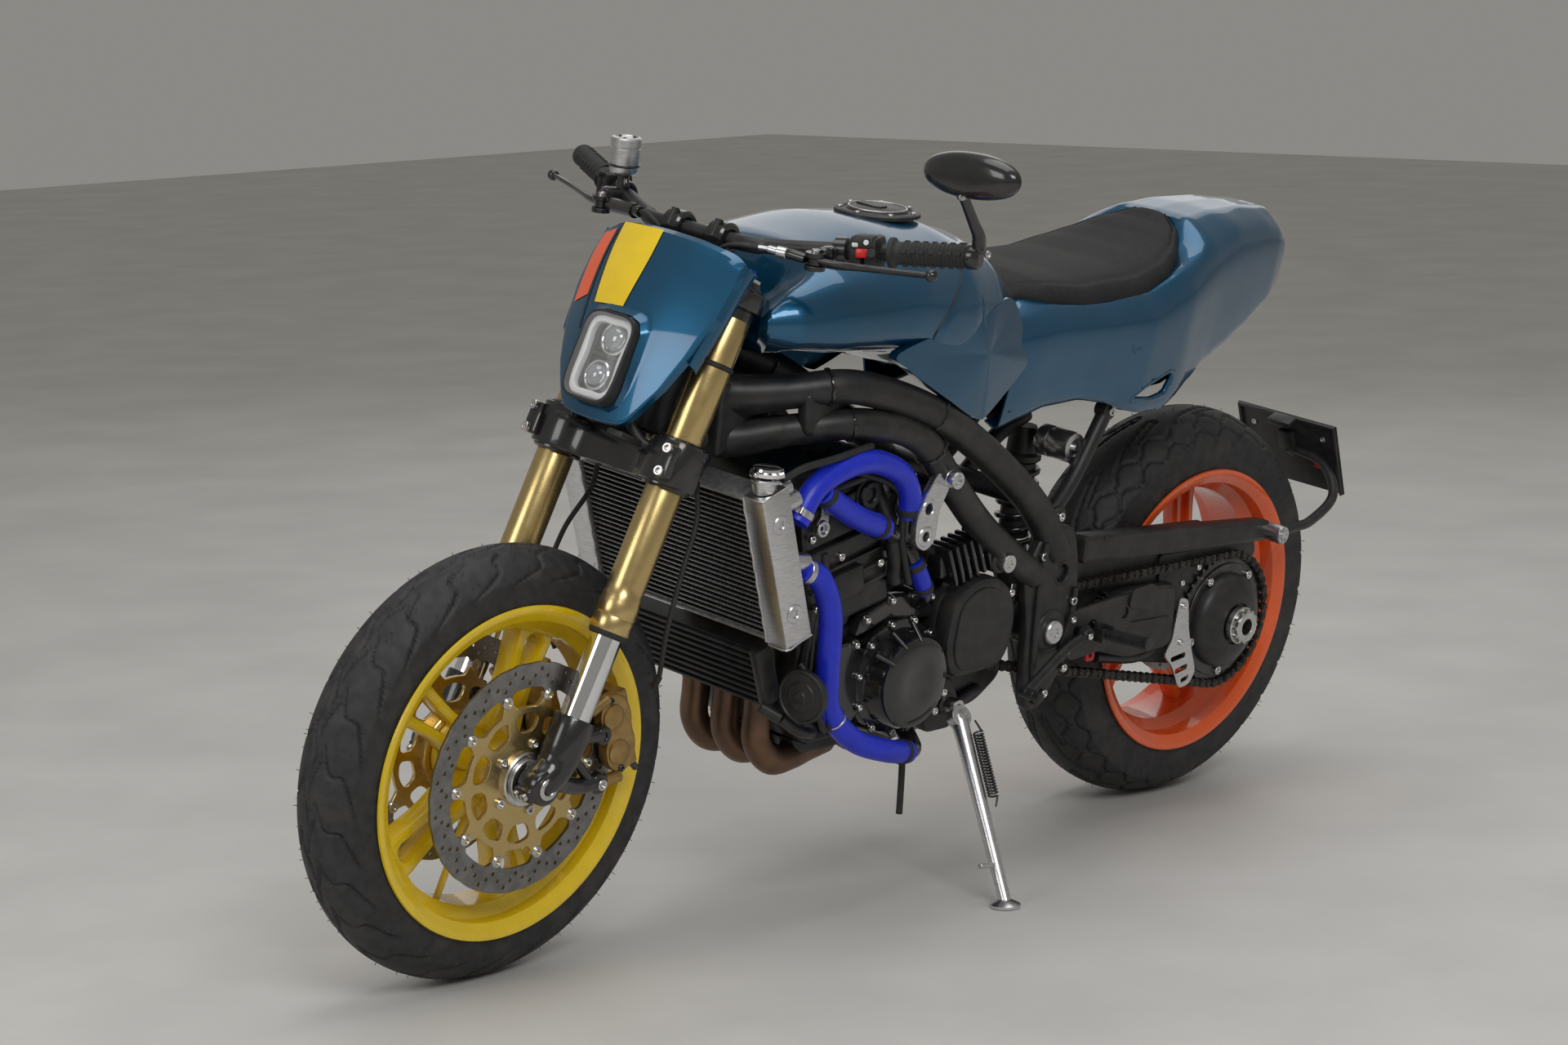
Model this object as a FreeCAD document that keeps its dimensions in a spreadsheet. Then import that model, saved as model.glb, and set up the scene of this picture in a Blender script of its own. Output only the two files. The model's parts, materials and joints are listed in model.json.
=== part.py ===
"""Naked street motorcycle on its side stand, as separate sub-parts in millimetres.

Bike frame: +X forward, +Y to the rider's left, +Z up, with the rear axle over the origin.
Every sub-part is built upright and then leaned onto the side stand by its Placement.
"""
import FreeCAD, Part
import math
import os

import Sketcher

V = FreeCAD.Vector
Placement = FreeCAD.Placement
Rotation = FreeCAD.Rotation

# ---------------------------------------------------------------- driving dimensions
SIZES = {
    # stance
    "wheelbase": 1440, "rake": 24, "lean": 8.3, "origin_x": 699.5, "origin_y": 213,
    # tyres and rims
    "front_tyre_radius": 301, "front_tyre_crown": 59, "rear_tyre_radius": 318, "rear_tyre_crown": 96,
    "tyre_wall": 9, "bead_radius": 215.9, "flange_radius": 231, "flange_width": 6, "rim_wall": 7,
    "well_radius": 199, "front_rim_half": 59.5, "rear_rim_half": 80,
    "front_hub_radius": 38, "front_hub_half": 62, "spoke_rib": 12, "spoke_gap": 30, "spoke_depth": 34,
    "spoke_start": 34,
    # front axle and brakes
    "axle_radius": 12, "axle_bore": 8, "axle_half": 127, "running_gap": 0.05,
    "rotor_radius": 160, "rotor_inner": 118, "rotor_y": 71, "rotor_thick": 5, "carrier_outer": 114,
    "carrier_inner": 96, "bobbin_ring": 116, "bobbin_radius": 8, "rotor_flange": 52,
    "caliper_length": 124, "caliper_depth": 58, "caliper_inner": 128, "caliper_near": 50, "caliper_far": 100,
    # fork, along the steering axis from the front axle
    "leg_spacing": 107, "leg_back": 18, "steer_back": 41, "stanchion_radius": 21.5, "stanchion_wall": 4,
    "tube_radius": 26, "collar_radius": 28, "cap_radius": 25, "foot_top": 98, "foot_radius": 28,
    "tube_low": 222, "collar_high": 271, "tube_high": 716, "stanchion_high": 600, "bore_high": 708,
    "adjuster_radius": 12, "adjuster_high": 728,
    "low_clamp_low": 429, "low_clamp_high": 488, "top_clamp_low": 682, "top_clamp_high": 712,
    "low_clamp_boss": 35, "top_clamp_boss": 33, "clamp_front": 8, "clamp_rear": 66,
    "stem_radius": 15, "stem_nut": 22, "head_tube_radius": 32, "head_tube_low": 492, "head_tube_high": 676,
    # handlebar and controls
    "bar_radius": 11, "grip_radius": 16.5, "grip_length": 118, "riser_radius": 16, "riser_y": 42,
    "riser_clamp": 22, "riser_width": 30, "perch_radius": 17, "pod_size": 44, "lever_radius": 6,
    "reservoir_radius": 21, "reservoir_height": 52, "mirror_radius": 31, "mirror_length": 165,
    "mirror_depth": 24, "mirror_stem": 6,
    # cowl and headlight, in the fork frame
    "cowl_v": 64, "cowl_thick": 6, "light_v": 20, "light_depth": 66, "light_half": 46,
    # frame
    "upper_tube": 24, "lower_tube": 22, "plate_inner": 138, "plate_thick": 22, "pivot_x": 467,
    "pivot_z": 378, "pivot_bolt": 12, "cross_tube": 16, "strut_radius": 12, "casting_half": 60,
    # engine
    "case_left": 112, "case_right": 137, "block_half": 138, "alternator_radius": 85, "alternator_far": 175,
    "sprocket_cover_near": 136, "sprocket_cover_far": 168, "clutch_radius": 95, "clutch_far": 185,
    "header_radius": 21, "header_pitch": 62, "collector_radius": 30, "silencer_radius": 50, "horn_radius": 38,
    "horn_depth": 30,
    # cooling
    "core_width": 330, "core_height": 219, "core_depth": 42, "core_tilt": 18.6, "tank_width": 40,
    "core_top_x": 1157, "core_top_z": 672, "cooler_width": 270, "cooler_height": 90, "cooler_depth": 34,
    "neck_radius": 16, "rad_cap_radius": 23, "rad_cap_height": 14, "hose_radius": 17, "small_hose_radius": 12,
    "breather_radius": 5,
    # swing arm and rear wheel
    "arm_inner": 99, "arm_outer": 117.5, "hub_ring": 82, "hub_inner": 40, "beam_outer": 135,
    "rear_axle_radius": 25, "rear_axle_bore": 13, "rear_axle_end": 182, "sprocket_y": 122,
    "sprocket_thick": 6, "rear_pitch_radius": 106.2, "front_pitch_radius": 45.7, "tooth": 5,
    "front_sprocket_x": 590, "front_sprocket_z": 385, "dome_radius": 75, "dome_far": 160,
    "chain_near": 118.5, "chain_far": 131.5, "link_plate": 2.5, "link_half": 7, "roller_radius": 5,
    "chain_pitch": 15.875, "output_shaft": 12, "swing_tube": 28, "swing_tube_half": 136,
    # rear suspension
    "shock_x": 385, "shock_top": 650, "shock_radius": 22, "spring_outer": 31, "spring_inner": 24,
    "spring_low": 441, "spring_high": 600, "shock_shaft": 7, "seat_thick": 6, "eye_radius": 14,
    "eye_pin": 6, "eye_gap": 2, "eye_width": 24, "shock_can": 24,
    # feet and stand
    "stand_x": 665, "stand_y": 165, "stand_z": 279, "stand_foot_x": 714, "stand_foot_y": 333,
    "stand_pad": 22, "stand_pad_thick": 8, "stand_radius": 10, "peg_radius": 10, "set_near": 160,
    "set_thick": 6,
    # caps, plate
    "cap_x": 764, "cap_z": 1003, "filler_radius": 62, "filler_height": 9, "fill_hole": 24, "neck_depth": 92,
    "plate_width": 200,
    "plate_height": 130, "plate_sheet": 3, "plate_arm": 9, "steering_room": 144, "frame_gap": 1,
}

DOC = FreeCAD.newDocument("Motorcycle")
SHEET = DOC.addObject("Spreadsheet::Sheet", "Sizes")
for row, (alias, number) in enumerate(SIZES.items(), start=1):
    SHEET.set(f"A{row}", alias)
    SHEET.set(f"B{row}", str(number))
    SHEET.setAlias(f"B{row}", alias)
DOC.recompute()


def size(alias):
    """The number in one cell of the sheet."""
    return float(SHEET.get(alias))


# ---------------------------------------------------------------- frames
RAKE = math.radians(size("rake"))
LEAN = math.radians(size("lean"))


def axle_height(tyre):
    """Height of a wheel centre in the bike frame, so that the leaned crown just meets the floor."""
    crown = size(tyre + "_tyre_crown")
    return size(tyre + "_tyre_radius") - crown + crown / math.cos(LEAN)


FRONT_AXLE = V(size("wheelbase"), 0, axle_height("front"))
REAR_AXLE = V(0, 0, axle_height("rear"))
SHIFT = V(-size("origin_x"), -size("origin_y"), 0)
FLOOR = Placement(SHIFT, Rotation())
BIKE = Placement(SHIFT, Rotation(V(1, 0, 0), -size("lean")))
FORK = BIKE * Placement(FRONT_AXLE, Rotation(V(0, 1, 0), -size("rake")))
TO_AXLE = Rotation(V(1, 0, 0), -90)
FRONT_WHEEL = BIKE * Placement(FRONT_AXLE, TO_AXLE)
REAR_WHEEL = BIKE * Placement(REAR_AXLE, TO_AXLE)
ACROSS = V(0, 1, 0)
UP = V(0, 0, 1)
LEFT, RIGHT = 1, -1
NODES = {}


def fork_to_bike(v, y, u):
    """A bike-frame point from its place ahead of, beside and up the fork from the front axle."""
    return FRONT_AXLE + V(v * math.cos(RAKE) - u * math.sin(RAKE), y, v * math.sin(RAKE) + u * math.cos(RAKE))


# ---------------------------------------------------------------- building blocks
def node(label, shape_object, placement):
    """Name a finished sub-part and put it in its place."""
    shape_object.Label = label
    shape_object.Placement = placement * shape_object.Placement
    NODES[label] = shape_object


def cylinder(start, end, radius):
    """A cylinder from one point to another, its radius an expression on the sheet."""
    solid = DOC.addObject("Part::Cylinder", "Cylinder")
    solid.Height = (end - start).Length
    solid.setExpression("Radius", radius)
    solid.Placement = Placement(start, Rotation(UP, end - start))
    return solid


def box(corner, length, width, height, rotation=Rotation()):
    """A box from a corner, its three sides expressions on the sheet."""
    solid = DOC.addObject("Part::Box", "Box")
    solid.setExpression("Length", length)
    solid.setExpression("Width", width)
    solid.setExpression("Height", height)
    solid.Placement = Placement(corner, rotation)
    return solid


def fuse(*solids):
    """One solid from several that overlap."""
    joined = DOC.addObject("Part::MultiFuse", "Joined")
    joined.Shapes = list(solids)
    joined.Refine = False
    return joined


def cut(base, *tools):
    """The base with each tool taken away."""
    for tool in tools:
        rest = DOC.addObject("Part::Cut", "Cut")
        rest.Base, rest.Tool = base, tool
        base = rest
    return base


def group(*solids):
    """Several solids of one sub-part that stay apart."""
    joined = DOC.addObject("Part::Compound", "Group")
    joined.Links = list(solids)
    return joined


def ring(centre, direction, near, far, outer, inner):
    """A flat ring or short tube: its two distances along the direction, its outer and inner radius."""
    start, end = centre + direction * near, centre + direction * far
    return cut(cylinder(start, end, outer), cylinder(start - direction, end + direction, inner))


def sketched_body(points, plane):
    """A body with a closed polygon on one of its planes, each corner tied to expressions."""
    body = DOC.addObject("PartDesign::Body", "Body")
    sketch = body.newObject("Sketcher::SketchObject", "Outline")
    face = next(item for item in body.Origin.OriginFeatures if item.Role == plane)
    sketch.AttachmentSupport = [(face, "")]
    sketch.MapMode = "FlatFace"
    corners = [V(number(a), number(b), 0) for a, b in points]
    for index, corner in enumerate(corners):
        sketch.addGeometry(Part.LineSegment(corner, corners[(index + 1) % len(corners)]), False)
    for index, corner in enumerate(corners):
        sketch.addConstraint(Sketcher.Constraint("Coincident", index, 2, (index + 1) % len(corners), 1))
    for index, (across, along) in enumerate(points):
        for kind, wanted, value in (("DistanceX", across, corners[index].x),
                                    ("DistanceY", along, corners[index].y)):
            where = sketch.addConstraint(Sketcher.Constraint(kind, -1, 1, index, 1, value))
            if isinstance(wanted, str):
                sketch.setExpression(f"Constraints[{where}]", wanted)
    return body, sketch


def number(wanted):
    """The value of an outline's coordinate, which is a number or an expression."""
    if isinstance(wanted, str):
        return float(SHEET.evalExpression(wanted))
    return float(wanted)


def turned(points):
    """A body turned about Z from an outline of radius and height."""
    body, sketch = sketched_body(points, "XZ_Plane")
    turn = body.newObject("PartDesign::Revolution", "Turn")
    turn.Profile = sketch
    turn.ReferenceAxis = (sketch, ["V_Axis"])
    turn.Angle = 360
    return body


def side_plate(points, near, far):
    """A plate in the X-Z plane of the bike, between two distances across it."""
    body, sketch = sketched_body(points, "XZ_Plane")
    pad = body.newObject("PartDesign::Pad", "Pad")
    pad.Profile = sketch
    pad.Length = far - near
    pad.Reversed = True
    body.Placement = Placement(V(0, near, 0), Rotation())
    return body


def rounded_path(points):
    """Straight runs joined by tangent arcs, as wide as both runs allow."""
    edges, last = [], points[0]
    for before, corner, after in zip(points, points[1:], points[2:]):
        back, ahead = before - corner, after - corner
        half_turn = (math.pi - back.getAngle(ahead)) / 2
        reach = 0.45 * min(back.Length, ahead.Length)
        radius = reach / math.tan(half_turn)
        back.normalize()
        ahead.normalize()
        start, end = corner + back * reach, corner + ahead * reach
        middle = corner + (back + ahead).normalize() * (radius / math.cos(half_turn) - radius)
        edges.append(Part.LineSegment(last, start).toShape())
        edges.append(Part.Arc(start, middle, end).toShape())
        last = end
    edges.append(Part.LineSegment(last, points[-1]).toShape())
    return Part.Wire(edges)


def tube(points, radius):
    """A round bar swept along a rounded path, its radius an expression on the sheet."""
    wire = rounded_path(points)
    path = DOC.addObject("Part::Feature", "Path")
    path.Shape = wire
    section = DOC.addObject("Part::Circle", "Section")
    section.setExpression("Radius", radius)
    section.Placement = Placement(points[0], Rotation(UP, points[1] - points[0]))
    sweep = DOC.addObject("Part::Sweep", "Tube")
    sweep.Sections = [section]
    sweep.Spine = (path, [f"Edge{index + 1}" for index in range(len(wire.Edges))])
    sweep.Solid = True
    sweep.Frenet = False
    return sweep


def bent_rod(points, radius):
    """Straight rods joined by a ball at each knee."""
    parts = [cylinder(start, end, radius) for start, end in zip(points, points[1:])]
    for knee in points[1:-1]:
        ball = DOC.addObject("Part::Sphere", "Knee")
        ball.setExpression("Radius", radius)
        ball.Placement = Placement(knee, Rotation())
        parts.append(ball)
    return parts


def on_side(points, side):
    """The points on the left, or mirrored to the right."""
    return [V(x, side * y, z) for x, y, z in points]


def skin(sections, squareness=2.6):
    """A smooth solid through cross sections: place along X, lowest, highest and half width of each."""
    wires = []
    for x, low, high, half in sections:
        middle, tall = (low + high) / 2, (high - low) / 2
        points = []
        for step in range(20):
            angle = 2 * math.pi * step / 20
            side, lift = math.cos(angle), math.sin(angle)
            points.append(V(x, half * math.copysign(abs(side) ** (2 / squareness), side),
                            middle + tall * math.copysign(abs(lift) ** (2 / squareness), lift)))
        curve = Part.BSplineCurve()
        curve.interpolate(points, PeriodicFlag=True)
        wires.append(Part.Wire(curve.toShape()))
    solid = DOC.addObject("Part::Feature", "Skin")
    solid.Shape = Part.makeLoft(wires, True, False)
    return solid


# ---------------------------------------------------------------- wheels
def tyre(prefix):
    """Hollow tyre whose crown and walls are one round section, with its beads on the rim."""
    centre = f"Sizes.{prefix}_tyre_radius - Sizes.{prefix}_tyre_crown"
    outer = DOC.addObject("Part::Torus", "Crown")
    outer.setExpression("Radius1", centre)
    outer.setExpression("Radius2", f"Sizes.{prefix}_tyre_crown")
    air = DOC.addObject("Part::Torus", "Air")
    air.setExpression("Radius1", centre)
    air.setExpression("Radius2", f"Sizes.{prefix}_tyre_crown - Sizes.tyre_wall")
    half = size(f"{prefix}_rim_half")
    tall = size(f"{prefix}_tyre_crown") + 1
    seat = cylinder(UP * -tall, UP * tall, "Sizes.bead_radius")
    flanges = [cylinder(UP * side * (half - size("flange_width")), UP * side * tall, "Sizes.flange_radius")
               for side in (LEFT, RIGHT)]
    return cut(outer, air, seat, *flanges)


def rim_barrel(prefix):
    """The rim's turned barrel with its two flanges and centre well."""
    half = f"Sizes.{prefix}_rim_half"
    seat, well, wall = "Sizes.bead_radius", "Sizes.well_radius", "Sizes.rim_wall"
    inner = f"{half} - Sizes.flange_width"
    half_outline = [("Sizes.flange_radius", half), ("Sizes.flange_radius", inner), (seat, inner),
                    (seat, f"{half} * 0.55"), (well, f"{half} * 0.42")]
    inside = [(f"{well} - {wall}", f"{half} * 0.42"), (f"{seat} - {wall}", f"{half} * 0.58"),
              (f"{seat} - {wall}", half)]
    outline = half_outline + [(r, f"-({y})") for r, y in reversed(half_outline)]
    outline += [(r, f"-({y})") for r, y in reversed(inside)] + inside
    return turned(outline)


def spokes(count, reach, offsets, low, width, depth, lean=0.0):
    """Straight spokes from the hub to the barrel, each made of parallel ribs."""
    ribs = []
    for index in range(count):
        turn = Rotation(UP, 360 / count * index + size("spoke_start"))
        for offset in offsets:
            corner = turn.multVec(V(18, offset - size("spoke_rib") / 2, low))
            ribs.append(box(corner, reach, width, depth, turn * Rotation(V(0, 1, 0), lean)))
    return ribs


def front_wheel():
    node("front_tyre", tyre("front"), FRONT_WHEEL)
    gap = size("spoke_gap") / 2
    half = size("front_hub_half")
    ribs = spokes(5, "Sizes.well_radius - 21", (-gap, gap), -size("spoke_depth") / 2, "Sizes.spoke_rib",
                  "Sizes.spoke_depth")
    hub = cylinder(UP * -half, UP * half, "Sizes.front_hub_radius")
    bore = cylinder(UP * (-half - 20), UP * (half + 20), "Sizes.axle_radius + Sizes.running_gap")
    node("front_rim", cut(fuse(rim_barrel("front"), hub, *ribs), bore), FRONT_WHEEL)
    for side, name in ((LEFT, "left"), (RIGHT, "right")):
        node(f"front_disc_{name}", brake_disc(side), FRONT_WHEEL)


def brake_disc(side):
    """Floating rotor on bobbins round a five-armed carrier."""
    out = UP * side
    near, thick = size("rotor_y"), size("rotor_thick")
    parts = [ring(V(), out, near, near + thick, "Sizes.rotor_radius", "Sizes.rotor_inner"),
             ring(V(), out, near - 2, near + 3, "Sizes.carrier_outer", "Sizes.carrier_inner"),
             ring(V(), out, size("front_hub_half"), near + 3, "Sizes.rotor_flange", "Sizes.axle_radius + 10")]
    for index in range(10):
        place = Rotation(UP, 36 * index).multVec(V(size("bobbin_ring"), 0, 0))
        parts.append(cylinder(place + out * (near - 3), place + out * (near + thick + 1),
                              "Sizes.bobbin_radius"))
    for index in range(5):
        turn = Rotation(UP, 72 * index)
        low = min(side * (near - 2), side * (near + 3))
        parts.append(box(turn.multVec(V(size("rotor_flange") - 6, -8, low)), "Sizes.carrier_inner - 42",
                         "16", "5", turn))
    return fuse(*parts)


def rear_wheel():
    node("rear_tyre", tyre("rear"), REAR_WHEEL)
    ribs = spokes(5, "Sizes.well_radius - 21", (-16, 16), -20, "Sizes.spoke_rib", "30")
    hub = cylinder(UP * -30, UP * 30, "60")
    axle = cylinder(UP * -34, UP * size("rear_axle_end"), "Sizes.rear_axle_radius")
    disc = ring(V(), UP, 28, 33, "110", "20")
    bore = cylinder(UP * -60, UP * (size("rear_axle_end") + 10), "Sizes.rear_axle_bore")
    node("rear_rim", cut(fuse(rim_barrel("rear"), hub, axle, disc, *ribs), bore), REAR_WHEEL)
    near, thick = size("sprocket_y"), size("sprocket_thick")
    plate = ring(V(), UP, near, near + thick, "Sizes.rear_pitch_radius + Sizes.tooth",
                 "Sizes.rear_axle_radius")
    dome = turned([("Sizes.rear_axle_radius", near + thick), ("Sizes.dome_radius + 6", near + thick),
                   ("Sizes.dome_radius", near + thick + 14), ("Sizes.dome_radius * 0.8",
                                                              "Sizes.dome_far - 6"),
                   ("Sizes.dome_radius * 0.5", "Sizes.dome_far"), ("Sizes.rear_axle_radius",
                                                                   "Sizes.dome_far")])
    node("rear_sprocket", fuse(plate, dome), REAR_WHEEL)


# ---------------------------------------------------------------- fork and steering
def leg(side, u):
    """A point on one fork leg's centre line, in the fork frame."""
    return V(-size("leg_back"), side * size("leg_spacing"), u)


def fork_legs():
    bore = "Sizes.stanchion_radius + Sizes.running_gap"
    for side, name in ((LEFT, "left"), (RIGHT, "right")):
        outer = turned([(bore, "Sizes.tube_low"), ("Sizes.collar_radius", "Sizes.tube_low"),
                        ("Sizes.collar_radius",
                         "Sizes.collar_high"), ("Sizes.tube_radius", "Sizes.collar_high + 4"),
                        ("Sizes.tube_radius",
                         "Sizes.top_clamp_low - 8"), ("Sizes.cap_radius", "Sizes.top_clamp_low - 4"),
                        ("Sizes.cap_radius", "Sizes.tube_high"), ("Sizes.adjuster_radius", "Sizes.tube_high"),
                        ("Sizes.adjuster_radius", "Sizes.adjuster_high"), (0, "Sizes.adjuster_high"),
                        (0, "Sizes.bore_high"), (bore, "Sizes.bore_high")])
        outer.Placement = Placement(leg(side, 0), Rotation())
        node(f"fork_tube_{name}", group(outer), FORK)
        node(f"stanchion_{name}", ring(leg(side, 0), UP, size("foot_top"), size("stanchion_high"),
                                       "Sizes.stanchion_radius",
                                       "Sizes.stanchion_radius - Sizes.stanchion_wall"), FORK)
        node(f"fork_foot_{name}", fork_foot(side), FORK)
        node(f"caliper_{name}", caliper(side), FORK)
    half = size("axle_half")
    rod = cylinder(V(0, -half, 0), V(0, half, 0), "Sizes.axle_radius")
    spacers = [cylinder(V(0, side * 77, 0), V(0, side * 91, 0), "Sizes.axle_radius + 1.5")
               for side in (LEFT, RIGHT)]
    bore_hole = cylinder(V(0, -half - 1, 0), V(0, half + 1, 0), "Sizes.axle_bore")
    node("front_axle", cut(fuse(rod, *spacers), bore_hole), FORK)


def fork_foot(side):
    """Black casting under a leg, with its axle boss and caliper lugs."""
    body = cylinder(leg(side, 14), leg(side, size("foot_top")), "Sizes.foot_radius")
    boss = cylinder(V(0, side * 91, 0), V(0, side * 125, 0), "Sizes.foot_radius - 3")
    low = min(side * 94, side * 106)
    arm = box(V(-112, low, 56), "92", "12", "24", Rotation(V(0, 1, 0), 8))
    low_arm = box(V(-122, low, 8), "100", "12", "20", Rotation(V(0, 1, 0), -6))
    bore = cylinder(V(0, side * 80, 0), V(0, side * 130, 0), "Sizes.axle_radius")
    rotor_room = cylinder(V(0, side * 60, 0), V(0, side * 79, 0), "Sizes.rotor_radius + 4")
    return cut(fuse(body, boss, arm, low_arm), bore, rotor_room, caliper_block(side))


def caliper_block(side):
    """The caliper's outer block, over the rear edge of the rotor."""
    turn = Rotation(V(0, 1, 0), -(180 - math.degrees(math.atan2(108, 127))))
    near, far = size("caliper_near"), size("caliper_far")
    low = min(side * near, side * far)
    corner = turn.multVec(V(size("caliper_inner"), 0, -size("caliper_length") / 2))
    return box(corner + V(0, low, 0), "Sizes.caliper_depth", "Sizes.caliper_far - Sizes.caliper_near",
               "Sizes.caliper_length", turn)


def caliper(side):
    """Four-piston caliper with a slot for the rotor."""
    slot = ring(V(), ACROSS * side, size("rotor_y") - 2, size("rotor_y") + size("rotor_thick") + 2,
                "Sizes.rotor_radius + 5", "Sizes.rotor_inner - 30")
    return cut(caliper_block(side), slot)


def clamps():
    bar = cylinder(bar_in_fork(-100), bar_in_fork(100), "Sizes.bar_radius")
    stem_low, stem_high = size("low_clamp_low") + 6, size("top_clamp_high")
    axis_v = -size("steer_back")
    front, rear = size("clamp_front"), size("clamp_rear")
    for name in ("low", "top"):
        low, high = size(f"{name}_clamp_low"), size(f"{name}_clamp_high")
        bosses = [cylinder(leg(side, low), leg(side, high), f"Sizes.{name}_clamp_boss")
                  for side in (LEFT, RIGHT)]
        bridge = box(V(-rear, -size("leg_spacing"), low + 4), "Sizes.clamp_rear - Sizes.clamp_front",
                     "Sizes.leg_spacing * 2", f"Sizes.{name}_clamp_high - Sizes.{name}_clamp_low - 8")
        radius = "Sizes.tube_radius" if name == "low" else "Sizes.cap_radius"
        bores = [cylinder(leg(side, low - 5), leg(side, high + 5), radius) for side in (LEFT, RIGHT)]
        if name == "low":
            stem = cylinder(V(axis_v, 0, stem_low), V(axis_v, 0, stem_high), "Sizes.stem_radius")
            node("lower_clamp", cut(fuse(bridge, *bosses, stem), *bores), FORK)
            continue
        risers = []
        for side in (LEFT, RIGHT):
            y = side * size("riser_y")
            top = bar_in_fork(y)
            width = size("riser_width") / 2
            risers.append(cylinder(V(top.x, y, low + 8), top, "Sizes.riser_radius"))
            risers.append(cylinder(bar_in_fork(y - width), bar_in_fork(y + width), "Sizes.riser_clamp"))
        nut = cylinder(V(axis_v, 0, high - 8), V(axis_v, 0, high + 10), "Sizes.stem_nut")
        stem_hole = cylinder(V(axis_v, 0, low - 5), V(axis_v, 0, high), "Sizes.stem_radius")
        node("upper_clamp", cut(fuse(bridge, *bosses, *risers, nut), *bores, stem_hole, bar), FORK)


# Left half of the handlebar's centre line, from the middle of the bar to its end.
BAR_POINTS = [(1116, 0, 1000), (1116, 85, 1000), (1092, 140, 1003), (985, 380, 1030)]


def bar_in_fork(y):
    """The straight middle of the handlebar in the fork frame, at one distance across it."""
    x, _, z = BAR_POINTS[0]
    ahead, up = x - FRONT_AXLE.x, z - FRONT_AXLE.z
    return V(ahead * math.cos(RAKE) + up * math.sin(RAKE), y, up * math.cos(RAKE) - ahead * math.sin(RAKE))


def along_grip(side, distance):
    """A point on the straight outer part of the bar, so far in from its end."""
    inner, end = (V(*point) for point in BAR_POINTS[-2:])
    place = end + (inner - end).normalize() * distance
    return V(place.x, side * place.y, place.z)


def controls():
    points = [V(*point) for point in BAR_POINTS]
    whole = [V(x, -y, z) for x, y, z in reversed(points[1:])] + points[1:]
    node("handlebar", tube(whole, "Sizes.bar_radius"), BIKE)
    length = size("grip_length")
    for side, name, gap in ((LEFT, "left_grip", "0"), (RIGHT, "throttle_grip", "Sizes.running_gap")):
        outer = cylinder(along_grip(side, 3), along_grip(side, length + 3), "Sizes.grip_radius")
        node(name, cut(outer, cylinder(along_grip(side, 0), along_grip(side, length + 9),
                                       f"Sizes.bar_radius + {gap}")),
             BIKE)
    bar_hole = {side: cylinder(along_grip(side, 100), along_grip(side, 220), "Sizes.bar_radius")
                for side in (LEFT, RIGHT)}
    pod = size("pod_size")
    for side, name in ((LEFT, "left_controls"), (RIGHT, "brake_master")):
        middle = along_grip(side, length + 32)
        turn = Rotation(ACROSS * side, along_grip(side, 0) - middle)
        block = box(middle + turn.multVec(V(-pod / 2, -pod / 2, -pod / 2 + 2)), "Sizes.pod_size - 4",
                    "Sizes.pod_size",
                    "Sizes.pod_size - 6", turn)
        ring_start, ring_end = along_grip(side, length + 58), along_grip(side, length + 76)
        perch = cylinder(ring_start, ring_end, "Sizes.perch_radius")
        arm_end = (ring_start + ring_end) * 0.5 + V(46, -side * 6, -12)
        arm = cylinder(arm_end + V(-36, 0, 0), arm_end, "9")
        parts = [block, perch, arm, cylinder(ring_end, middle, "Sizes.perch_radius - 2")]
        if side == RIGHT:
            base = arm_end + V(-34, 4, 26)
            parts.append(cylinder(arm_end + V(-30, 6, 4), base + UP * 14, "8"))
            parts.append(cylinder(base + UP * 14, base + UP * (14 + size("reservoir_height")),
                                  "Sizes.reservoir_radius"))
        tools = [bar_hole[side]]
        if side == LEFT:
            tools.append(rocker_box(middle, turn, 1))
            node("rocker_switch", rocker_box(middle, turn, 0), BIKE)
        pivot = arm_end
        tools.append(cylinder(pivot + V(0, 0, -5.5), pivot + V(0, 0, 5.5), "15"))
        node(name, cut(fuse(*parts), *tools), BIKE)
        lever_name = "clutch_lever" if side == LEFT else "brake_lever"
        node(lever_name, lever(side, pivot), BIKE)
    mirror()


def rocker_box(middle, turn, margin):
    """The red rocker on the front of the left pod, or the pocket that it sits in."""
    corner = middle + turn.multVec(V(12 - margin, -8 - margin, -9 - margin))
    return box(corner, f"14 + {margin}", f"14 + 2 * {margin}", f"16 + 2 * {margin}", turn)


def lever(side, pivot):
    """Hand lever with its round pivot, long blade and ball end."""
    blade = [(pivot.x, pivot.y, pivot.z), (pivot.x - 6, pivot.y + side * 28, pivot.z),
             (pivot.x - 30, pivot.y + side * 90, pivot.z + 4), (pivot.x - 52, pivot.y + side * 160,
                                                                pivot.z + 8)]
    rod = tube([V(*point) for point in blade], "Sizes.lever_radius")
    eye = cylinder(pivot + UP * -5, pivot + UP * 5, "9")
    ball = cylinder(V(*blade[-1]) + UP * -6, V(*blade[-1]) + UP * 6, "7")
    room = [cylinder(pivot + UP * (5 * way), pivot + UP * (12 * way), "16") for way in (1, -1)]
    return cut(fuse(rod, eye, ball), *room)


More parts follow.
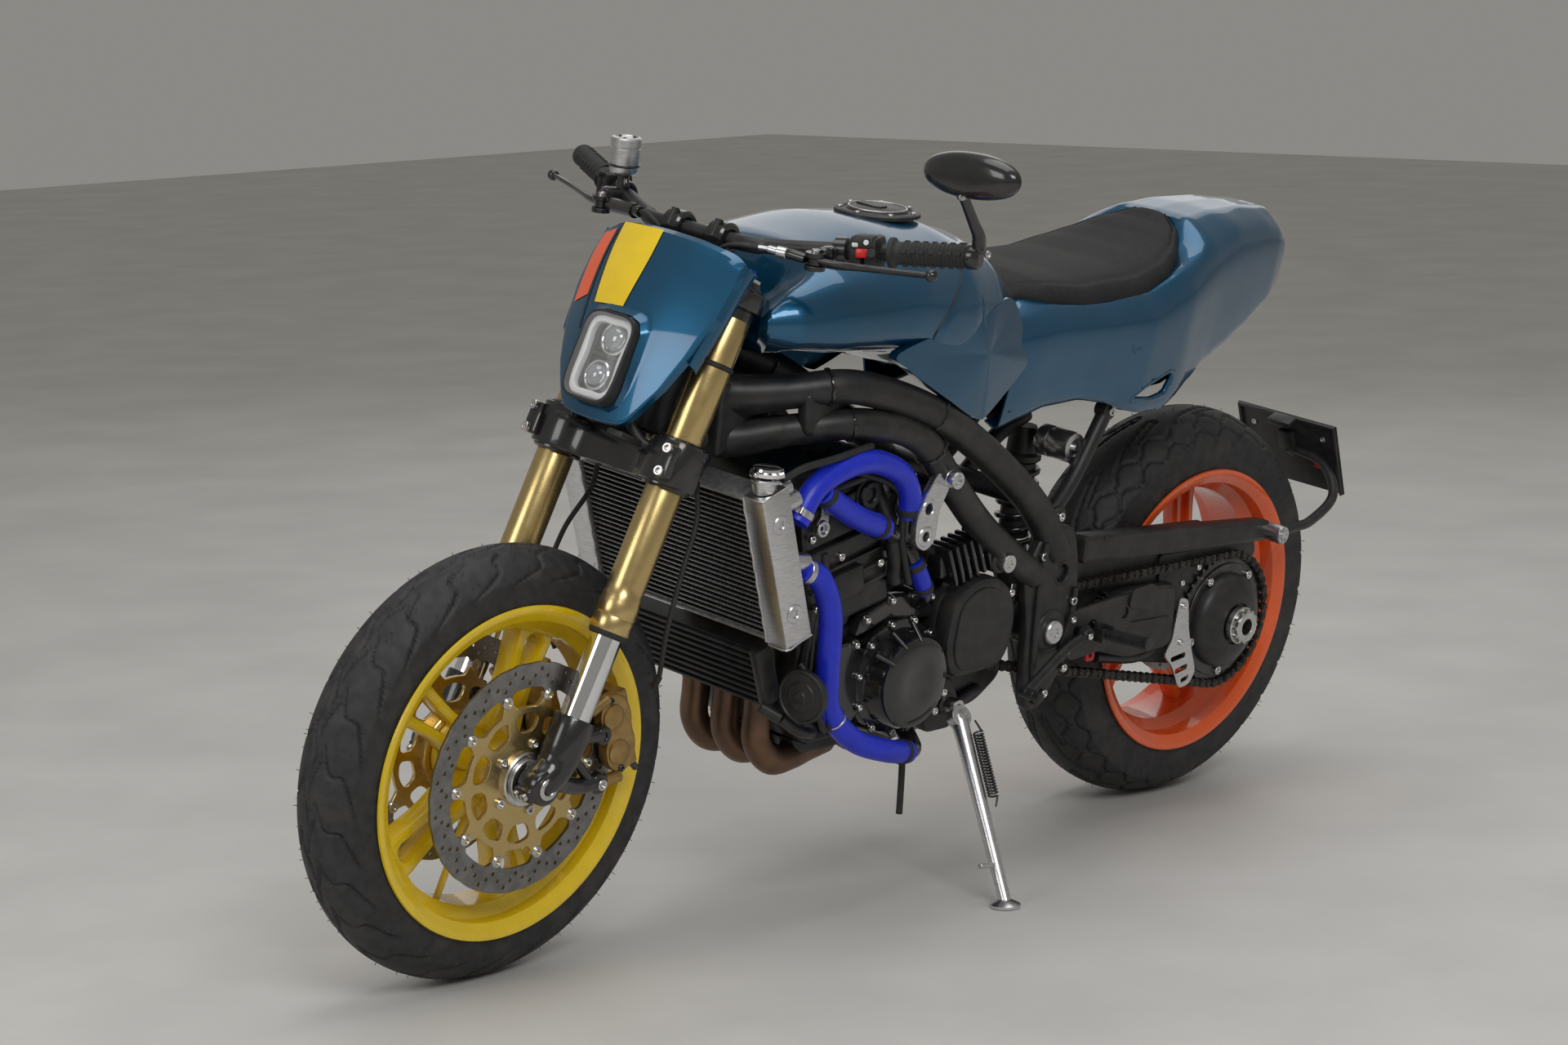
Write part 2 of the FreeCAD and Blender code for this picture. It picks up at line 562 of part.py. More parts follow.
def mirror():
    """Bar-end mirror: a stem on the left bar end and an oval head on top of it."""
    base = along_grip(LEFT, -2)
    knee = base + V(14, 8, 30)
    top = V(1056, 405, 1122)
    stem = fuse(cylinder(base, along_grip(LEFT, -20), "Sizes.perch_radius"),
                tube([along_grip(LEFT, -12), knee, top], "Sizes.mirror_stem"))
    node("mirror_stem", stem, BIKE)
    centre = top + V(6, 10, 26)
    neck = cylinder(knee, top + (top - knee) * 0.08, "Sizes.mirror_stem + 0.8")
    reach = (size("mirror_length") - 2 * size("mirror_radius")) / 2
    depth = V(size("mirror_depth"), 0, 0)
    ends = [cylinder(centre + V(0, way * reach, 0) - depth * 0.5, centre + V(0, way * reach, 0) + depth * 0.5,
                     "Sizes.mirror_radius") for way in (1, -1)]
    middle = box(centre - depth * 0.5 - V(0, reach, size("mirror_radius")), "Sizes.mirror_depth",
                 "Sizes.mirror_length - 2 * Sizes.mirror_radius", "Sizes.mirror_radius * 2")
    node("mirror_head", cut(fuse(middle, *ends), neck), BIKE)


def front_panel():
    """Number-plate cowl and the headlight set into it, both in the fork frame."""
    half = size("light_half")
    left = [(0, 748), (118, 742), (134, 655), (112, 588), (72, 505), (50, 484)]
    outline = left + [(-y, u) for y, u in reversed(left[1:])]
    panel = fork_panel(outline, size("cowl_v"), "Sizes.cowl_thick")
    wings = [cowl_wing(side) for side in (LEFT, RIGHT)]
    light_outline = [(-half, 496), (half, 496), (half + 2, 590), (half - 8, 614), (8 - half, 614),
                     (-half - 2, 590)]
    light = fork_panel(light_outline, size("light_v"), "Sizes.light_depth")
    light_room = fork_panel(light_outline, size("light_v") - 1, "Sizes.light_depth + 2")
    node("front_cowl", cut(fuse(panel, *wings), light_room), FORK)
    node("headlight", group(light), FORK)


def fork_panel(outline, v, thick):
    """A plate across the fork, from an outline of left distance and height up the fork."""
    body, sketch = sketched_body(outline, "YZ_Plane")
    pad = body.newObject("PartDesign::Pad", "Pad")
    pad.Profile = sketch
    pad.setExpression("Length", thick)
    body.Placement = Placement(V(v, 0, 0), Rotation())
    return body


def cowl_wing(side):
    """The cowl's side that sweeps back beside a fork leg's top."""
    return box(V(24, min(side * 108, side * 134), 600), "Sizes.cowl_v - 20", "26", "130")


def brake_hoses():
    """A hose on each side from the lower clamp to its caliper."""
    hoses = []
    for side in (LEFT, RIGHT):
        points = [(-88, 100, 440), (-104, 104, 400), (-98, 118, 330), (-108, 122, 250), (-142, 108, 190)]
        hoses.append(tube([V(v, side * y, u) for v, y, u in points], "4"))
    node("brake_hoses", group(*hoses), FORK)


# ---------------------------------------------------------------- frame and engine
BREATHER = [V(743, 132, 258), V(743, 132, 222), V(742, 134, 186), V(742, 136, 136)]
UPPER_TUBE = [(1086, 58, 774), (1030, 120, 796), (938, 164, 800), (759, 166, 734), (552, 150, 600),
              (462, 149, 500)]
LOWER_TUBE = [(1080, 58, 722), (1020, 122, 742), (933, 166, 750), (820, 168, 718), (738, 167, 640),
              (640, 156, 556),
              (512, 149, 470)]
PIVOT_PLATE = [(432, 540), (500, 540), (540, 470), (520, 400), (514, 311), (505, 257), (470, 257),
               (406, 345), (412, 470)]


def frame():
    near, thick = size("plate_inner"), size("plate_thick")
    parts = []
    for side in (LEFT, RIGHT):
        parts.append(tube(on_side(UPPER_TUBE, side), "Sizes.upper_tube"))
        parts.append(tube(on_side(LOWER_TUBE, side), "Sizes.lower_tube"))
        low = near if side == LEFT else -near - thick
        parts.append(side_plate(PIVOT_PLATE, low, low + thick))
    casting = side_plate([(1080, 696), (1160, 700), (1150, 800), (1060, 806), (1050, 700)],
                         -size("casting_half"),
                         size("casting_half"))
    axis_v = -size("steer_back")
    head = cylinder(fork_to_bike(axis_v, 0, size("head_tube_low")),
                    fork_to_bike(axis_v, 0, size("head_tube_high")),
                    "Sizes.head_tube_radius")
    head_bore = cylinder(fork_to_bike(axis_v, 0, size("head_tube_low") - 60),
                         fork_to_bike(axis_v, 0, size("head_tube_high") +
                                      30), "Sizes.stem_radius + Sizes.running_gap")
    neck = side_plate([(1100, 740), (1176, 730), (1160, 850), (1120, 830)], -28, 28)
    cross = cylinder(V(520, -140, 585), V(520, 140, 585), "Sizes.cross_tube")
    shock_arm = tube([V(520, 0, 585), V(450, 0, 640), V(size("shock_x"), 0, size("shock_top") + 18)],
                     "Sizes.cross_tube - 3")
    bolt_far = near + thick + 6
    bolt = cylinder(V(size("pivot_x"), -bolt_far, size("pivot_z")),
                    V(size("pivot_x"), bolt_far, size("pivot_z")),
                    "Sizes.pivot_bolt")
    node("frame", cut(fuse(*parts, casting, neck, head, cross, shock_arm, bolt), head_bore), BIKE)
    struts = []
    for side in (LEFT, RIGHT):
        struts.append(tube(on_side([(452, 125, 552), (400, 118, 600), (330, 108, 690)], side),
                           "Sizes.strut_radius"))
    node("subframe", group(*struts), BIKE)


def engine():
    case = side_plate([(560, 262), (500, 300), (500, 405), (575, 455), (700, 500), (800, 470), (962, 440),
                       (956, 400),
                       (950, 300), (926, 262)], -size("case_right"), size("case_left"))
    node("crankcase", group(case), BIKE)
    barrels = side_plate([(800, 470), (962, 440), (1010, 640), (996, 668), (872, 702), (846, 690)],
                         -size("block_half"),
                         size("block_half"))
    node("cylinder_block", group(barrels), BIKE)
    left = size("case_left")
    alternator = cylinder(V(774, left, 351), V(774, size("alternator_far"), 351), "Sizes.alternator_radius")
    sprocket_cover = side_plate([(575, 345), (557, 424), (590, 480), (650, 492), (705, 460), (712, 380),
                                 (690, 340)],
                                size("sprocket_cover_near"), size("sprocket_cover_far"))
    bridge = side_plate([(655, 345), (655, 480), (705, 460), (712, 380), (690, 340)], left,
                        size("sprocket_cover_near") + 4)
    spigot = cylinder(V(743, 132, 300), BREATHER[0], "Sizes.breather_radius + 2")
    clutch = cylinder(V(660, -size("case_right"), 372), V(660, -size("clutch_far"), 372),
                      "Sizes.clutch_radius")
    node("engine_covers", group(fuse(alternator, sprocket_cover, bridge, spigot), clutch), BIKE)
    sprocket = V(size("front_sprocket_x"), 0, size("front_sprocket_z"))
    near = size("sprocket_y")
    wheel = cylinder(sprocket + ACROSS * near, sprocket + ACROSS * (near + size("sprocket_thick")),
                     "Sizes.front_pitch_radius + Sizes.tooth")
    shaft = cylinder(sprocket + ACROSS * (left + 0.3), sprocket + ACROSS * (near + 9), "Sizes.output_shaft")
    node("front_sprocket", fuse(wheel, shaft), BIKE)


def exhaust():
    pipes = []
    pitch = size("header_pitch")
    for index in (-1, 0, 1):
        y = index * pitch
        pipes.append(tube([V(1002, y, 606), V(1030, y, 590), V(1006, y, 470), V(984, y, 380), V(984, y, 270),
                           V(950, y, 233), V(860, y * 0.7, 229), V(800, y * 0.4,
                                                                   228)], "Sizes.header_radius"))
    collector = cylinder(V(830, 0, 228), V(650, -60, 222), "Sizes.collector_radius")
    node("exhaust_headers", fuse(*pipes, collector), BIKE)
    node("silencer", cylinder(V(650, -60, 208), V(430, -98, 206), "Sizes.silencer_radius"), BIKE)


def cooling():
    tilt = Rotation(V(0, 1, 0), size("core_tilt"))
    top = V(size("core_top_x"), 0, size("core_top_z"))
    height, depth, half = size("core_height"), size("core_depth"), size("core_width") / 2
    down = tilt.multVec(V(0, 0, -height))
    back = tilt.multVec(V(-depth, 0, 0))
    corner = top + down + back - ACROSS * half
    core = box(corner, "Sizes.core_depth", "Sizes.core_width", "Sizes.core_height", tilt)
    tank = size("tank_width")
    tanks = [box(corner + ACROSS * offset + tilt.multVec(V(-4, 0, -6)), "Sizes.core_depth + 8",
                 "Sizes.tank_width",
                 "Sizes.core_height + 12", tilt) for offset in (-tank, size("core_width"))]
    neck_base = top + back * 0.5 + ACROSS * (half + tank * 0.45)
    neck = cylinder(neck_base, neck_base + UP * 26, "Sizes.neck_radius")
    cooler_tilt = Rotation(V(0, 1, 0), 20)
    cooler = box(V(1016, -size("cooler_width") / 2, 352), "Sizes.cooler_depth", "Sizes.cooler_width",
                 "Sizes.cooler_height", cooler_tilt)
    node("radiator", group(fuse(core, *tanks, neck), cooler), BIKE)
    cap_base = neck_base + UP * 26
    node("radiator_cap", cylinder(cap_base, cap_base + UP * size("rad_cap_height"), "Sizes.rad_cap_radius"),
         BIKE)
    routes = [
        ([(1074, 186, 633), (1040, 184, 676), (980, 182, 698), (920, 178, 698), (858, 172, 674),
          (826, 166, 640),
          (814, 158, 604)], "Sizes.hose_radius"),
        ([(1050, 190, 563), (1018, 192, 545), (992, 190, 490), (975, 180, 400), (955, 172, 340),
          (900, 173, 288),
          (830, 173, 260), (765, 158, 242)], "Sizes.hose_radius"),
        ([(1020, 176, 668), (975, 172, 640), (920, 166, 612), (862, 157, 590)], "Sizes.hose_radius"),
        ([(792, 158, 532), (775, 158, 508), (756, 153, 482)], "Sizes.small_hose_radius"),
    ]
    node("coolant_hoses", group(*[tube([V(*point) for point in points], radius) for points,
                                  radius in routes]), BIKE)
    horn_back, horn_face = V(1004, 178, 376), V(1004 + size("horn_depth"), 184, 376)
    bracket = cylinder(V(1004, 150, 392), V(1012, 178, 380), "5")
    node("horn", fuse(cylinder(horn_back, horn_face, "Sizes.horn_radius"), bracket), BIKE)
    hanging = tube(BREATHER, "Sizes.breather_radius")
    node("breather_tube", hanging, BIKE)
    return hanging


# ---------------------------------------------------------------- bodywork
# Cross sections from front to rear: place along X, lowest, highest, half width.
TANK = [(1132, 876, 934, 128), (1090, 856, 966, 172), (1000, 846, 990, 192), (860, 830, 1006, 196),
        (740, 778, 1000, 186), (640, 772, 972, 160), (585, 800, 930, 128)]
TAIL = [(584, 704, 868, 128), (508, 716, 868, 146), (400, 714, 874, 156), (290, 700, 892, 156),
        (200, 726, 934, 142), (90, 762, 962, 112), (-60, 802, 946, 74), (-205, 852, 904, 34)]
SEAT = [(560, 848, 886, 96), (500, 846, 886, 124), (400, 848, 888, 138), (290, 866, 908, 136),
        (200, 900, 944, 112), (150, 930, 966, 70)]


def steering_room():
    """The space in the tank's nose in which the fork legs and clamps turn."""
    axis = -size("steer_back")
    swept = cylinder(fork_to_bike(axis, 0, 520), fork_to_bike(axis, 0, 820), "Sizes.steering_room")
    corner = fork_to_bike(axis - 70, 0, 500) - ACROSS * 200
    ahead = box(corner, "300", "400", "340", Rotation(V(0, 1, 0), -size("rake")))
    room = DOC.addObject("Part::Common", "Room")
    room.Base, room.Tool = swept, ahead
    return room


def bodywork():
    tank = skin(TANK)
    tubes = [tube(on_side(route, side), f"Sizes.{name}_tube + Sizes.frame_gap") for side in (LEFT, RIGHT)
             for name, route in (("upper", UPPER_TUBE), ("lower", LOWER_TUBE))]
    cap = V(size("cap_x"), 0, size("cap_z"))
    well = cylinder(cap - UP * 2, cap + UP * 60, "Sizes.filler_radius + 1")
    neck = cylinder(cap - UP * size("neck_depth"), cap + UP * 60, "Sizes.fill_hole")
    hinge_x = cap.x + size("filler_radius") - 4
    hinge = cylinder(V(hinge_x, -12, cap.z + 5), V(hinge_x, 12, cap.z + 5), "3")
    lid = cylinder(cap - UP * 1.5, cap + UP * (size("filler_height") - 1.5), "Sizes.filler_radius")
    behind_hinge = box(V(hinge_x, -size("filler_radius"), cap.z - 2), "Sizes.filler_radius",
                       "Sizes.filler_radius * 2", "Sizes.filler_height + 2")
    node("fuel_tank", cut(tank, well, neck, steering_room(), *tubes), BIKE)
    node("filler_cap", fuse(cut(lid, behind_hinge), hinge), BIKE)
    pad, pad_room = (skin(SEAT, 3.2) for _ in range(2))
    tail = skin(TAIL)
    node("tail_unit", cut(tail, pad_room), BIKE)
    node("seat_pad", pad, BIKE)


# ---------------------------------------------------------------- swing arm, chain, rear suspension
def swing_arm():
    axle, pivot = REAR_AXLE, V(size("pivot_x"), 0, size("pivot_z"))
    inner, outer = size("arm_inner"), size("arm_outer")
    half = size("swing_tube_half")
    tube_part = cylinder(pivot - ACROSS * half, pivot + ACROSS * half, "Sizes.swing_tube")
    arm = side_plate([(490, 352), (486, 404), (400, 470), (-90, 440), (-60, 380), (-70, 290), (0, 238),
                      (130, 262),
                      (330, 300), (440, 338)], inner, outer)
    beam = side_plate([(376, 470), (374, 508), (-96, 468), (-112, 452), (-96, 438)], inner,
                      size("beam_outer"))
    hub = cylinder(axle + ACROSS * size("hub_inner"), axle + ACROSS * outer, "Sizes.hub_ring")
    case = side_plate([(140, 300), (140, 396), (250, 404), (330, 380), (330, 320), (240, 296)], outer - 1,
                      136)
    fin = side_plate([(128, 372), (100, 366), (90, 300), (72, 242), (112, 222), (130, 240), (150, 300),
                      (150, 372)], 134, 137)
    shaft_bore = cylinder(axle - ACROSS * 10, axle + ACROSS * (outer + 10),
                          "Sizes.rear_axle_radius + Sizes.running_gap")
    pivot_bore = cylinder(pivot - ACROSS * (half + 1), pivot + ACROSS * (half + 1),
                          "Sizes.pivot_bolt + Sizes.running_gap")
    eye = V(size("shock_x"), 0, size("pivot_z"))
    lugs = [box(eye + V(-12, side * 22 - 5, -12), "80", "10", "24") for side in (LEFT, RIGHT)]
    pin = cylinder(eye - ACROSS * 26, eye + ACROSS * 26, "Sizes.eye_pin")
    node("swingarm", cut(fuse(tube_part, arm, beam, hub, case, fin, *lugs, pin), shaft_bore, pivot_bore),
         BIKE)
    node("chain", chain(), BIKE)
    plate_holder()


def loop_wire(y, extra):
    """A belt round both sprockets, so far outside the pitch line."""
    rear = V(0, y, REAR_AXLE.z)
    front = V(size("front_sprocket_x"), y, size("front_sprocket_z"))
    rear_radius, front_radius = size("rear_pitch_radius") + extra, size("front_pitch_radius") + extra
    gap = front - rear
    slope = math.atan2(gap.z, gap.x)
    spread = math.acos((rear_radius - front_radius) / gap.Length)

    def rim_point(centre, radius, angle):
        return centre + V(math.cos(angle), 0, math.sin(angle)) * radius

    up, down = slope + spread, slope - spread
    return Part.Wire([
        Part.LineSegment(rim_point(rear, rear_radius, up), rim_point(front, front_radius, up)).toShape(),
        Part.Arc(rim_point(front, front_radius, up), rim_point(front, front_radius, slope),
                 rim_point(front, front_radius, down)).toShape(),
        Part.LineSegment(rim_point(front, front_radius, down), rim_point(rear, rear_radius, down)).toShape(),
        Part.Arc(rim_point(rear, rear_radius, down), rim_point(rear, rear_radius, slope + math.pi),
                 rim_point(rear, rear_radius, up)).toShape()])


def chain():
    """Two loops of side plates, with rollers only on the free runs between the sprockets."""
    near, far, plate, half = (size(name) for name in ("chain_near", "chain_far", "link_plate", "link_half"))
    bands = []
    for start in (near, far - plate):
        outer = Part.Face(loop_wire(start, half)).extrude(ACROSS * plate)
        inner = Part.Face(loop_wire(start - 1, -half)).extrude(ACROSS * (plate + 2))
        bands.append(outer.cut(inner))
    wire = loop_wire(near, 0)
    rollers = []
    for run in (wire.Edges[0], wire.Edges[2]):
        start, end = run.Vertexes[0].Point, run.Vertexes[1].Point
        count = int(run.Length / size("chain_pitch"))
        for index in range(3, count - 4):
            place = start + (end - start) * (index / count)
            rollers.append(Part.makeCylinder(size("roller_radius"), far - near, place, ACROSS))
    links = DOC.addObject("Part::Feature", "Links")
    links.Shape = bands[0].multiFuse([bands[1]] + rollers)
    return links


def plate_holder():
    """Arm behind the rear wheel with the blank number plate and its small lamp."""
    arm = tube([V(-90, 144.5, 452), V(-190, 144, 460), V(-275, 122, 486), V(-310, 70, 524), V(-316, 0, 534)],
               "Sizes.plate_arm")
    tilt = Rotation(V(0, 1, 0), 22)
    plate = box(V(-342, -size("plate_width") / 2, 474), "Sizes.plate_sheet", "Sizes.plate_width",
                "Sizes.plate_height", tilt)
    lamp = box(V(-316, -20, 540), "16", "40", "12", tilt)
    bolt = cylinder(V(-94, size("beam_outer"), 452), V(-94, 153, 452), "15")
    stem = cylinder(V(-332, 0, 520), V(-306, 0, 536), "8")
    node("plate_holder", fuse(arm, plate, lamp, bolt, stem), BIKE)


def rear_shock():
    x, top, pivot_z = size("shock_x"), size("shock_top"), size("pivot_z")
    low, high, thick = size("spring_low"), size("spring_high"), size("seat_thick")
    body = cylinder(V(x, 0, low + 34), V(x, 0, top), "Sizes.shock_radius")
    seat = cylinder(V(x, 0, high), V(x, 0, high + thick), "Sizes.spring_outer")
    can = cylinder(V(x + 2, 40, top - 12), V(x + 2, 104, top - 12), "Sizes.shock_can")
    link = cylinder(V(x, 0, top - 12), V(x + 2, 46, top - 12), "10")
    bore = cylinder(V(x, 0, low), V(x, 0, top - 20), "Sizes.shock_shaft + Sizes.running_gap")
    node("shock_body", cut(fuse(body, seat, can, link), bore), BIKE)
    shaft = cylinder(V(x, 0, pivot_z + 8), V(x, 0, low + 150), "Sizes.shock_shaft")
    low_seat = cylinder(V(x, 0, low - thick), V(x, 0, low), "Sizes.spring_outer")
    eye_half = size("eye_width") / 2
    eye = cylinder(V(x, -eye_half, pivot_z), V(x, eye_half, pivot_z), "Sizes.eye_radius")
    hole = cylinder(V(x, -eye_half - 1, pivot_z), V(x, eye_half + 1, pivot_z),
                    "Sizes.eye_pin + Sizes.eye_gap")
    node("shock_shaft", cut(fuse(shaft, low_seat, eye), hole), BIKE)
    node("shock_spring", ring(V(x, 0, 0), UP, low, high, "Sizes.spring_outer", "Sizes.spring_inner"), BIKE)


# ---------------------------------------------------------------- feet and stand
def foot_controls():
    near, thick = size("set_near"), size("set_thick")
    outline = [(252, 396), (262, 414), (330, 412), (428, 404), (450, 352), (420, 326), (340, 332), (300, 350)]
    plates = []
    for side, name in ((LEFT, "left"), (RIGHT, "right")):
        low = near if side == LEFT else -near - thick
        plates.append(side_plate(outline, low, low + thick))
        hinge = V(352, side * (near + thick + 8), 360)
        rod = cylinder(hinge, hinge + V(-8, side * 78, 4), "Sizes.peg_radius")
        pin = cylinder(hinge - V(14, 0, 0), hinge + V(14, 0, 0), "5")
        node(f"{name}_peg", fuse(rod, pin), BIKE)
    node("rearset_plates", group(*plates), BIKE)
    for side, name in ((LEFT, "gear_lever"), (RIGHT, "brake_pedal")):
        pivot = V(400, side * (near + thick + 1), 366)
        boss = cylinder(pivot, pivot + ACROSS * (side * 14), "11")
        rod = bent_rod([pivot + V(0, side * 8, 0), V(480, side * 180, 334), V(552, side * 192, 306)], "6")
        toe = cylinder(V(552, side * 184, 306), V(552, side * 224, 306), "8")
        node(name, fuse(boss, toe, *rod), BIKE)


# Where the stand's leg points once it is folded up, in the floor's frame.
FOLDED = V(-0.96, 0.16, -0.06)


def side_stand():
    """The stand leg in the floor's frame, with its foot flat on the floor."""
    pivot = Rotation(V(1, 0, 0), -size("lean")).multVec(V(size("stand_x"), size("stand_y"), size("stand_z")))
    foot = V(size("stand_foot_x"), size("stand_foot_y"), size("stand_pad_thick"))
    leg_part = cylinder(pivot, foot - UP * 2, "Sizes.stand_radius")
    pad = cylinder(foot - UP * size("stand_pad_thick"), foot, "Sizes.stand_pad")
    hinge = (foot - pivot).cross(FOLDED).normalize() * 9
    boss = cylinder(pivot - hinge, pivot + hinge, "17")
    pin = cylinder(foot + (pivot - foot) * 0.2, foot + (pivot - foot) * 0.2 + V(40, 4, 6), "4")
    node("side_stand", fuse(leg_part, pad, boss, pin), FLOOR)


def build():
    front_wheel()
    rear_wheel()
    fork_legs()
    clamps()
    controls()
    front_panel()
    brake_hoses()
    frame()
    engine()
    exhaust()
    hanging = cooling()
    bodywork()
    swing_arm()
    rear_shock()
    foot_controls()
    side_stand()
    DOC.recompute()
    return hanging


def check_and_write():
    """Stop on anything that failed, then write one file for each sub-part."""
    for item in DOC.Objects:
        if "Invalid" in item.State or "Error" in item.State:
            raise RuntimeError(f"{item.Name} ({item.Label}) failed: {item.State}")
    os.makedirs("parts", exist_ok=True)
    bad = [label for label, item in NODES.items() if item.Shape.isNull() or not item.Shape.isValid()]
    if bad:
        raise RuntimeError(f"no valid shape: {bad}")
    for label, item in NODES.items():
        item.Shape.exportStep(f"parts/{label}.step")
    print(f"{len(NODES)} sub-parts written")


def report_cord(cord):
    """Print the cord's length and arc radii, and compare its volume with section times length."""
    wire = rounded_path(BREATHER)
    radii = [round(edge.Curve.Radius, 1) for edge in wire.Edges if hasattr(edge.Curve, "Radius")]
    expected = math.pi * size("breather_radius") ** 2 * wire.Length
    print(f"breather_tube: length {wire.Length:.1f} mm, arc radii {radii} mm, "
          f"volume {cord.Shape.Volume / expected:.4f} of section x length")


CORD = build()
check_and_write()
report_cord(CORD)
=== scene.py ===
"""Looks for the street motorcycle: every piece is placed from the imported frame."""
import json
import math

import bmesh
import bpy
import numpy as np
from mathutils import Matrix, Vector, kdtree
from mathutils.bvhtree import BVHTree

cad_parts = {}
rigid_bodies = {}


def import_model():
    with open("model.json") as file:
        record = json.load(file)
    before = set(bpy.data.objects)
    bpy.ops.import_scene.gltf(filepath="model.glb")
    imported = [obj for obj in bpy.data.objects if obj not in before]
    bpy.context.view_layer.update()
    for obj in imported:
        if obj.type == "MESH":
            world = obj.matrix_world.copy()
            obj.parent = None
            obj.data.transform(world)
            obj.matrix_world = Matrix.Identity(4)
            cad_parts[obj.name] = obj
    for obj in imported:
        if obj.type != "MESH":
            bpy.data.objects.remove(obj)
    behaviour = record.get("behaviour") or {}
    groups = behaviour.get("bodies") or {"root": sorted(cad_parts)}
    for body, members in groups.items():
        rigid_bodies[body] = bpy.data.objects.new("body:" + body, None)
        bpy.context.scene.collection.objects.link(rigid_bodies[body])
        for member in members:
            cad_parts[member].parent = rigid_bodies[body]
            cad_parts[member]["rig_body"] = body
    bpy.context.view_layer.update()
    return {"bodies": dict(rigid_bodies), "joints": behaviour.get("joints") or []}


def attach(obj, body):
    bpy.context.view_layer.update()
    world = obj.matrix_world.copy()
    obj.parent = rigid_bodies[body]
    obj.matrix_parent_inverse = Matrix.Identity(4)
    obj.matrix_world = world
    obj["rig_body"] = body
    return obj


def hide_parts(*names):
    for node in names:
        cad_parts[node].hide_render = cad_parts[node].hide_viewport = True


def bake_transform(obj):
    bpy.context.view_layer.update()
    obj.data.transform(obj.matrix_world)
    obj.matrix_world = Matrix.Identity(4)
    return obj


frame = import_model()
JOINT = {joint["name"]: joint for joint in frame["joints"]}
MM = 0.001
X, Z = Vector((1, 0, 0)), Vector((0, 0, 1))
LEFT, RIGHT = 1, -1
SIDES = (LEFT, RIGHT)

# ---------------------------------------------------------------- frames read from the joints
ACROSS = Vector(JOINT["rear_spin"]["axis"])
LEAN = math.asin(-ACROSS.z)
UPRIGHT = X.cross(ACROSS)
REAR_HUB = Vector(JOINT["rear_spin"]["pos_m"])
FRONT_HUB = Vector(JOINT["front_spin"]["pos_m"])
GROUND = REAR_HUB - UPRIGHT * (REAR_HUB.z / math.cos(LEAN))
STEER = Vector(JOINT["steer"]["axis"])


def basis(x_axis, y_axis, z_axis, origin):
    """A matrix that takes millimetres along three axes to metres in the row frame."""
    columns = Matrix((x_axis, y_axis, z_axis)).transposed().to_4x4()
    return Matrix.Translation(origin) @ columns @ Matrix.Scale(MM, 4)


BIKE = basis(X, ACROSS, UPRIGHT, GROUND)
FORK = basis(ACROSS.cross(STEER), ACROSS, STEER, FRONT_HUB)
FRONT_WHEEL = basis(X, -UPRIGHT, ACROSS, FRONT_HUB)
REAR_WHEEL = basis(X, -UPRIGHT, ACROSS, REAR_HUB)
TO_BIKE = BIKE.inverted()
REAR_AXLE = TO_BIKE @ REAR_HUB

# ---------------------------------------------------------------- camera, lights, floor
LENS = 84.26
CAMERA_FROM_GROUND = Vector((4.592, 3.668, 1.3948))
CAMERA_YAW, CAMERA_PITCH, CAMERA_ROLL = -2.370927, -0.161264, -0.015697


def camera():
    """The camera, placed from the rear wheel's foot on the floor."""
    ahead = Vector((math.cos(CAMERA_PITCH) * math.cos(CAMERA_YAW),
                    math.cos(CAMERA_PITCH) * math.sin(CAMERA_YAW),
                    math.sin(CAMERA_PITCH)))
    right = ahead.cross(Z).normalized()
    up = right.cross(ahead)
    turned_right = right * math.cos(CAMERA_ROLL) + up * math.sin(CAMERA_ROLL)
    turned_up = up * math.cos(CAMERA_ROLL) - right * math.sin(CAMERA_ROLL)
    data = bpy.data.cameras.new("Camera")
    data.lens, data.sensor_width = LENS, 36
    item = bpy.data.objects.new("Camera", data)
    bpy.context.scene.collection.objects.link(item)
    place = Vector((GROUND.x, GROUND.y, 0)) + CAMERA_FROM_GROUND
    item.matrix_world = Matrix.Translation(place) @ Matrix((turned_right, turned_up,
                                                            -ahead)).transposed().to_4x4()
    bpy.context.scene.camera = item


def area_light(name, place, target, width, height, power, color=(1, 1, 1)):
    data = bpy.data.lights.new(name, "AREA")
    data.shape, data.size, data.size_y = "RECTANGLE", width, height
    data.energy, data.color = power, color
    item = bpy.data.objects.new(name, data)
    bpy.context.scene.collection.objects.link(item)
    item.location = place
    item.rotation_euler = (Vector(target) - Vector(place)).to_track_quat("-Z", "Y").to_euler()


def studio():
    """Pale floor, soft lights from above, in front and both sides, and a pale world."""
    floor = bpy.data.meshes.new("floor")
    reach = 14
    floor.from_pydata([(-reach, -reach, 0), (reach, -reach, 0), (reach, reach, 0), (-reach, reach, 0)], [],
                      [(0, 1, 2, 3)])
    item = bpy.data.objects.new("floor", floor)
    bpy.context.scene.collection.objects.link(item)
    floor.materials.append(surface("pale_floor", (0.62, 0.61, 0.59), rough=0.55, vary=0.05, scale=3,
                                   bump=0.02,
                                   bump_scale=90))
    area_light("key", (2.6, 4.2, 4.2), (0, 0, 0.5), 3.0, 2.0, 120)
    area_light("front", (5.0, -0.5, 2.6), (0.3, 0, 0.6), 2.0, 2.0, 42)
    area_light("top", (0, 0, 4.6), (0, 0, 0), 4.5, 2.5, 62)
    area_light("back", (-3.5, -3.0, 3.0), (0, 0, 0.6), 4.0, 3.0, 22)
    world = bpy.data.worlds.new("World")
    bpy.context.scene.world = world
    world.use_nodes = True
    world.node_tree.nodes["Background"].inputs[0].default_value = (0.62, 0.60, 0.56, 1)
    world.node_tree.nodes["Background"].inputs[1].default_value = 0.42
    bpy.context.scene.view_settings.view_transform = "Standard"


# ---------------------------------------------------------------- materials
MATERIALS = {}


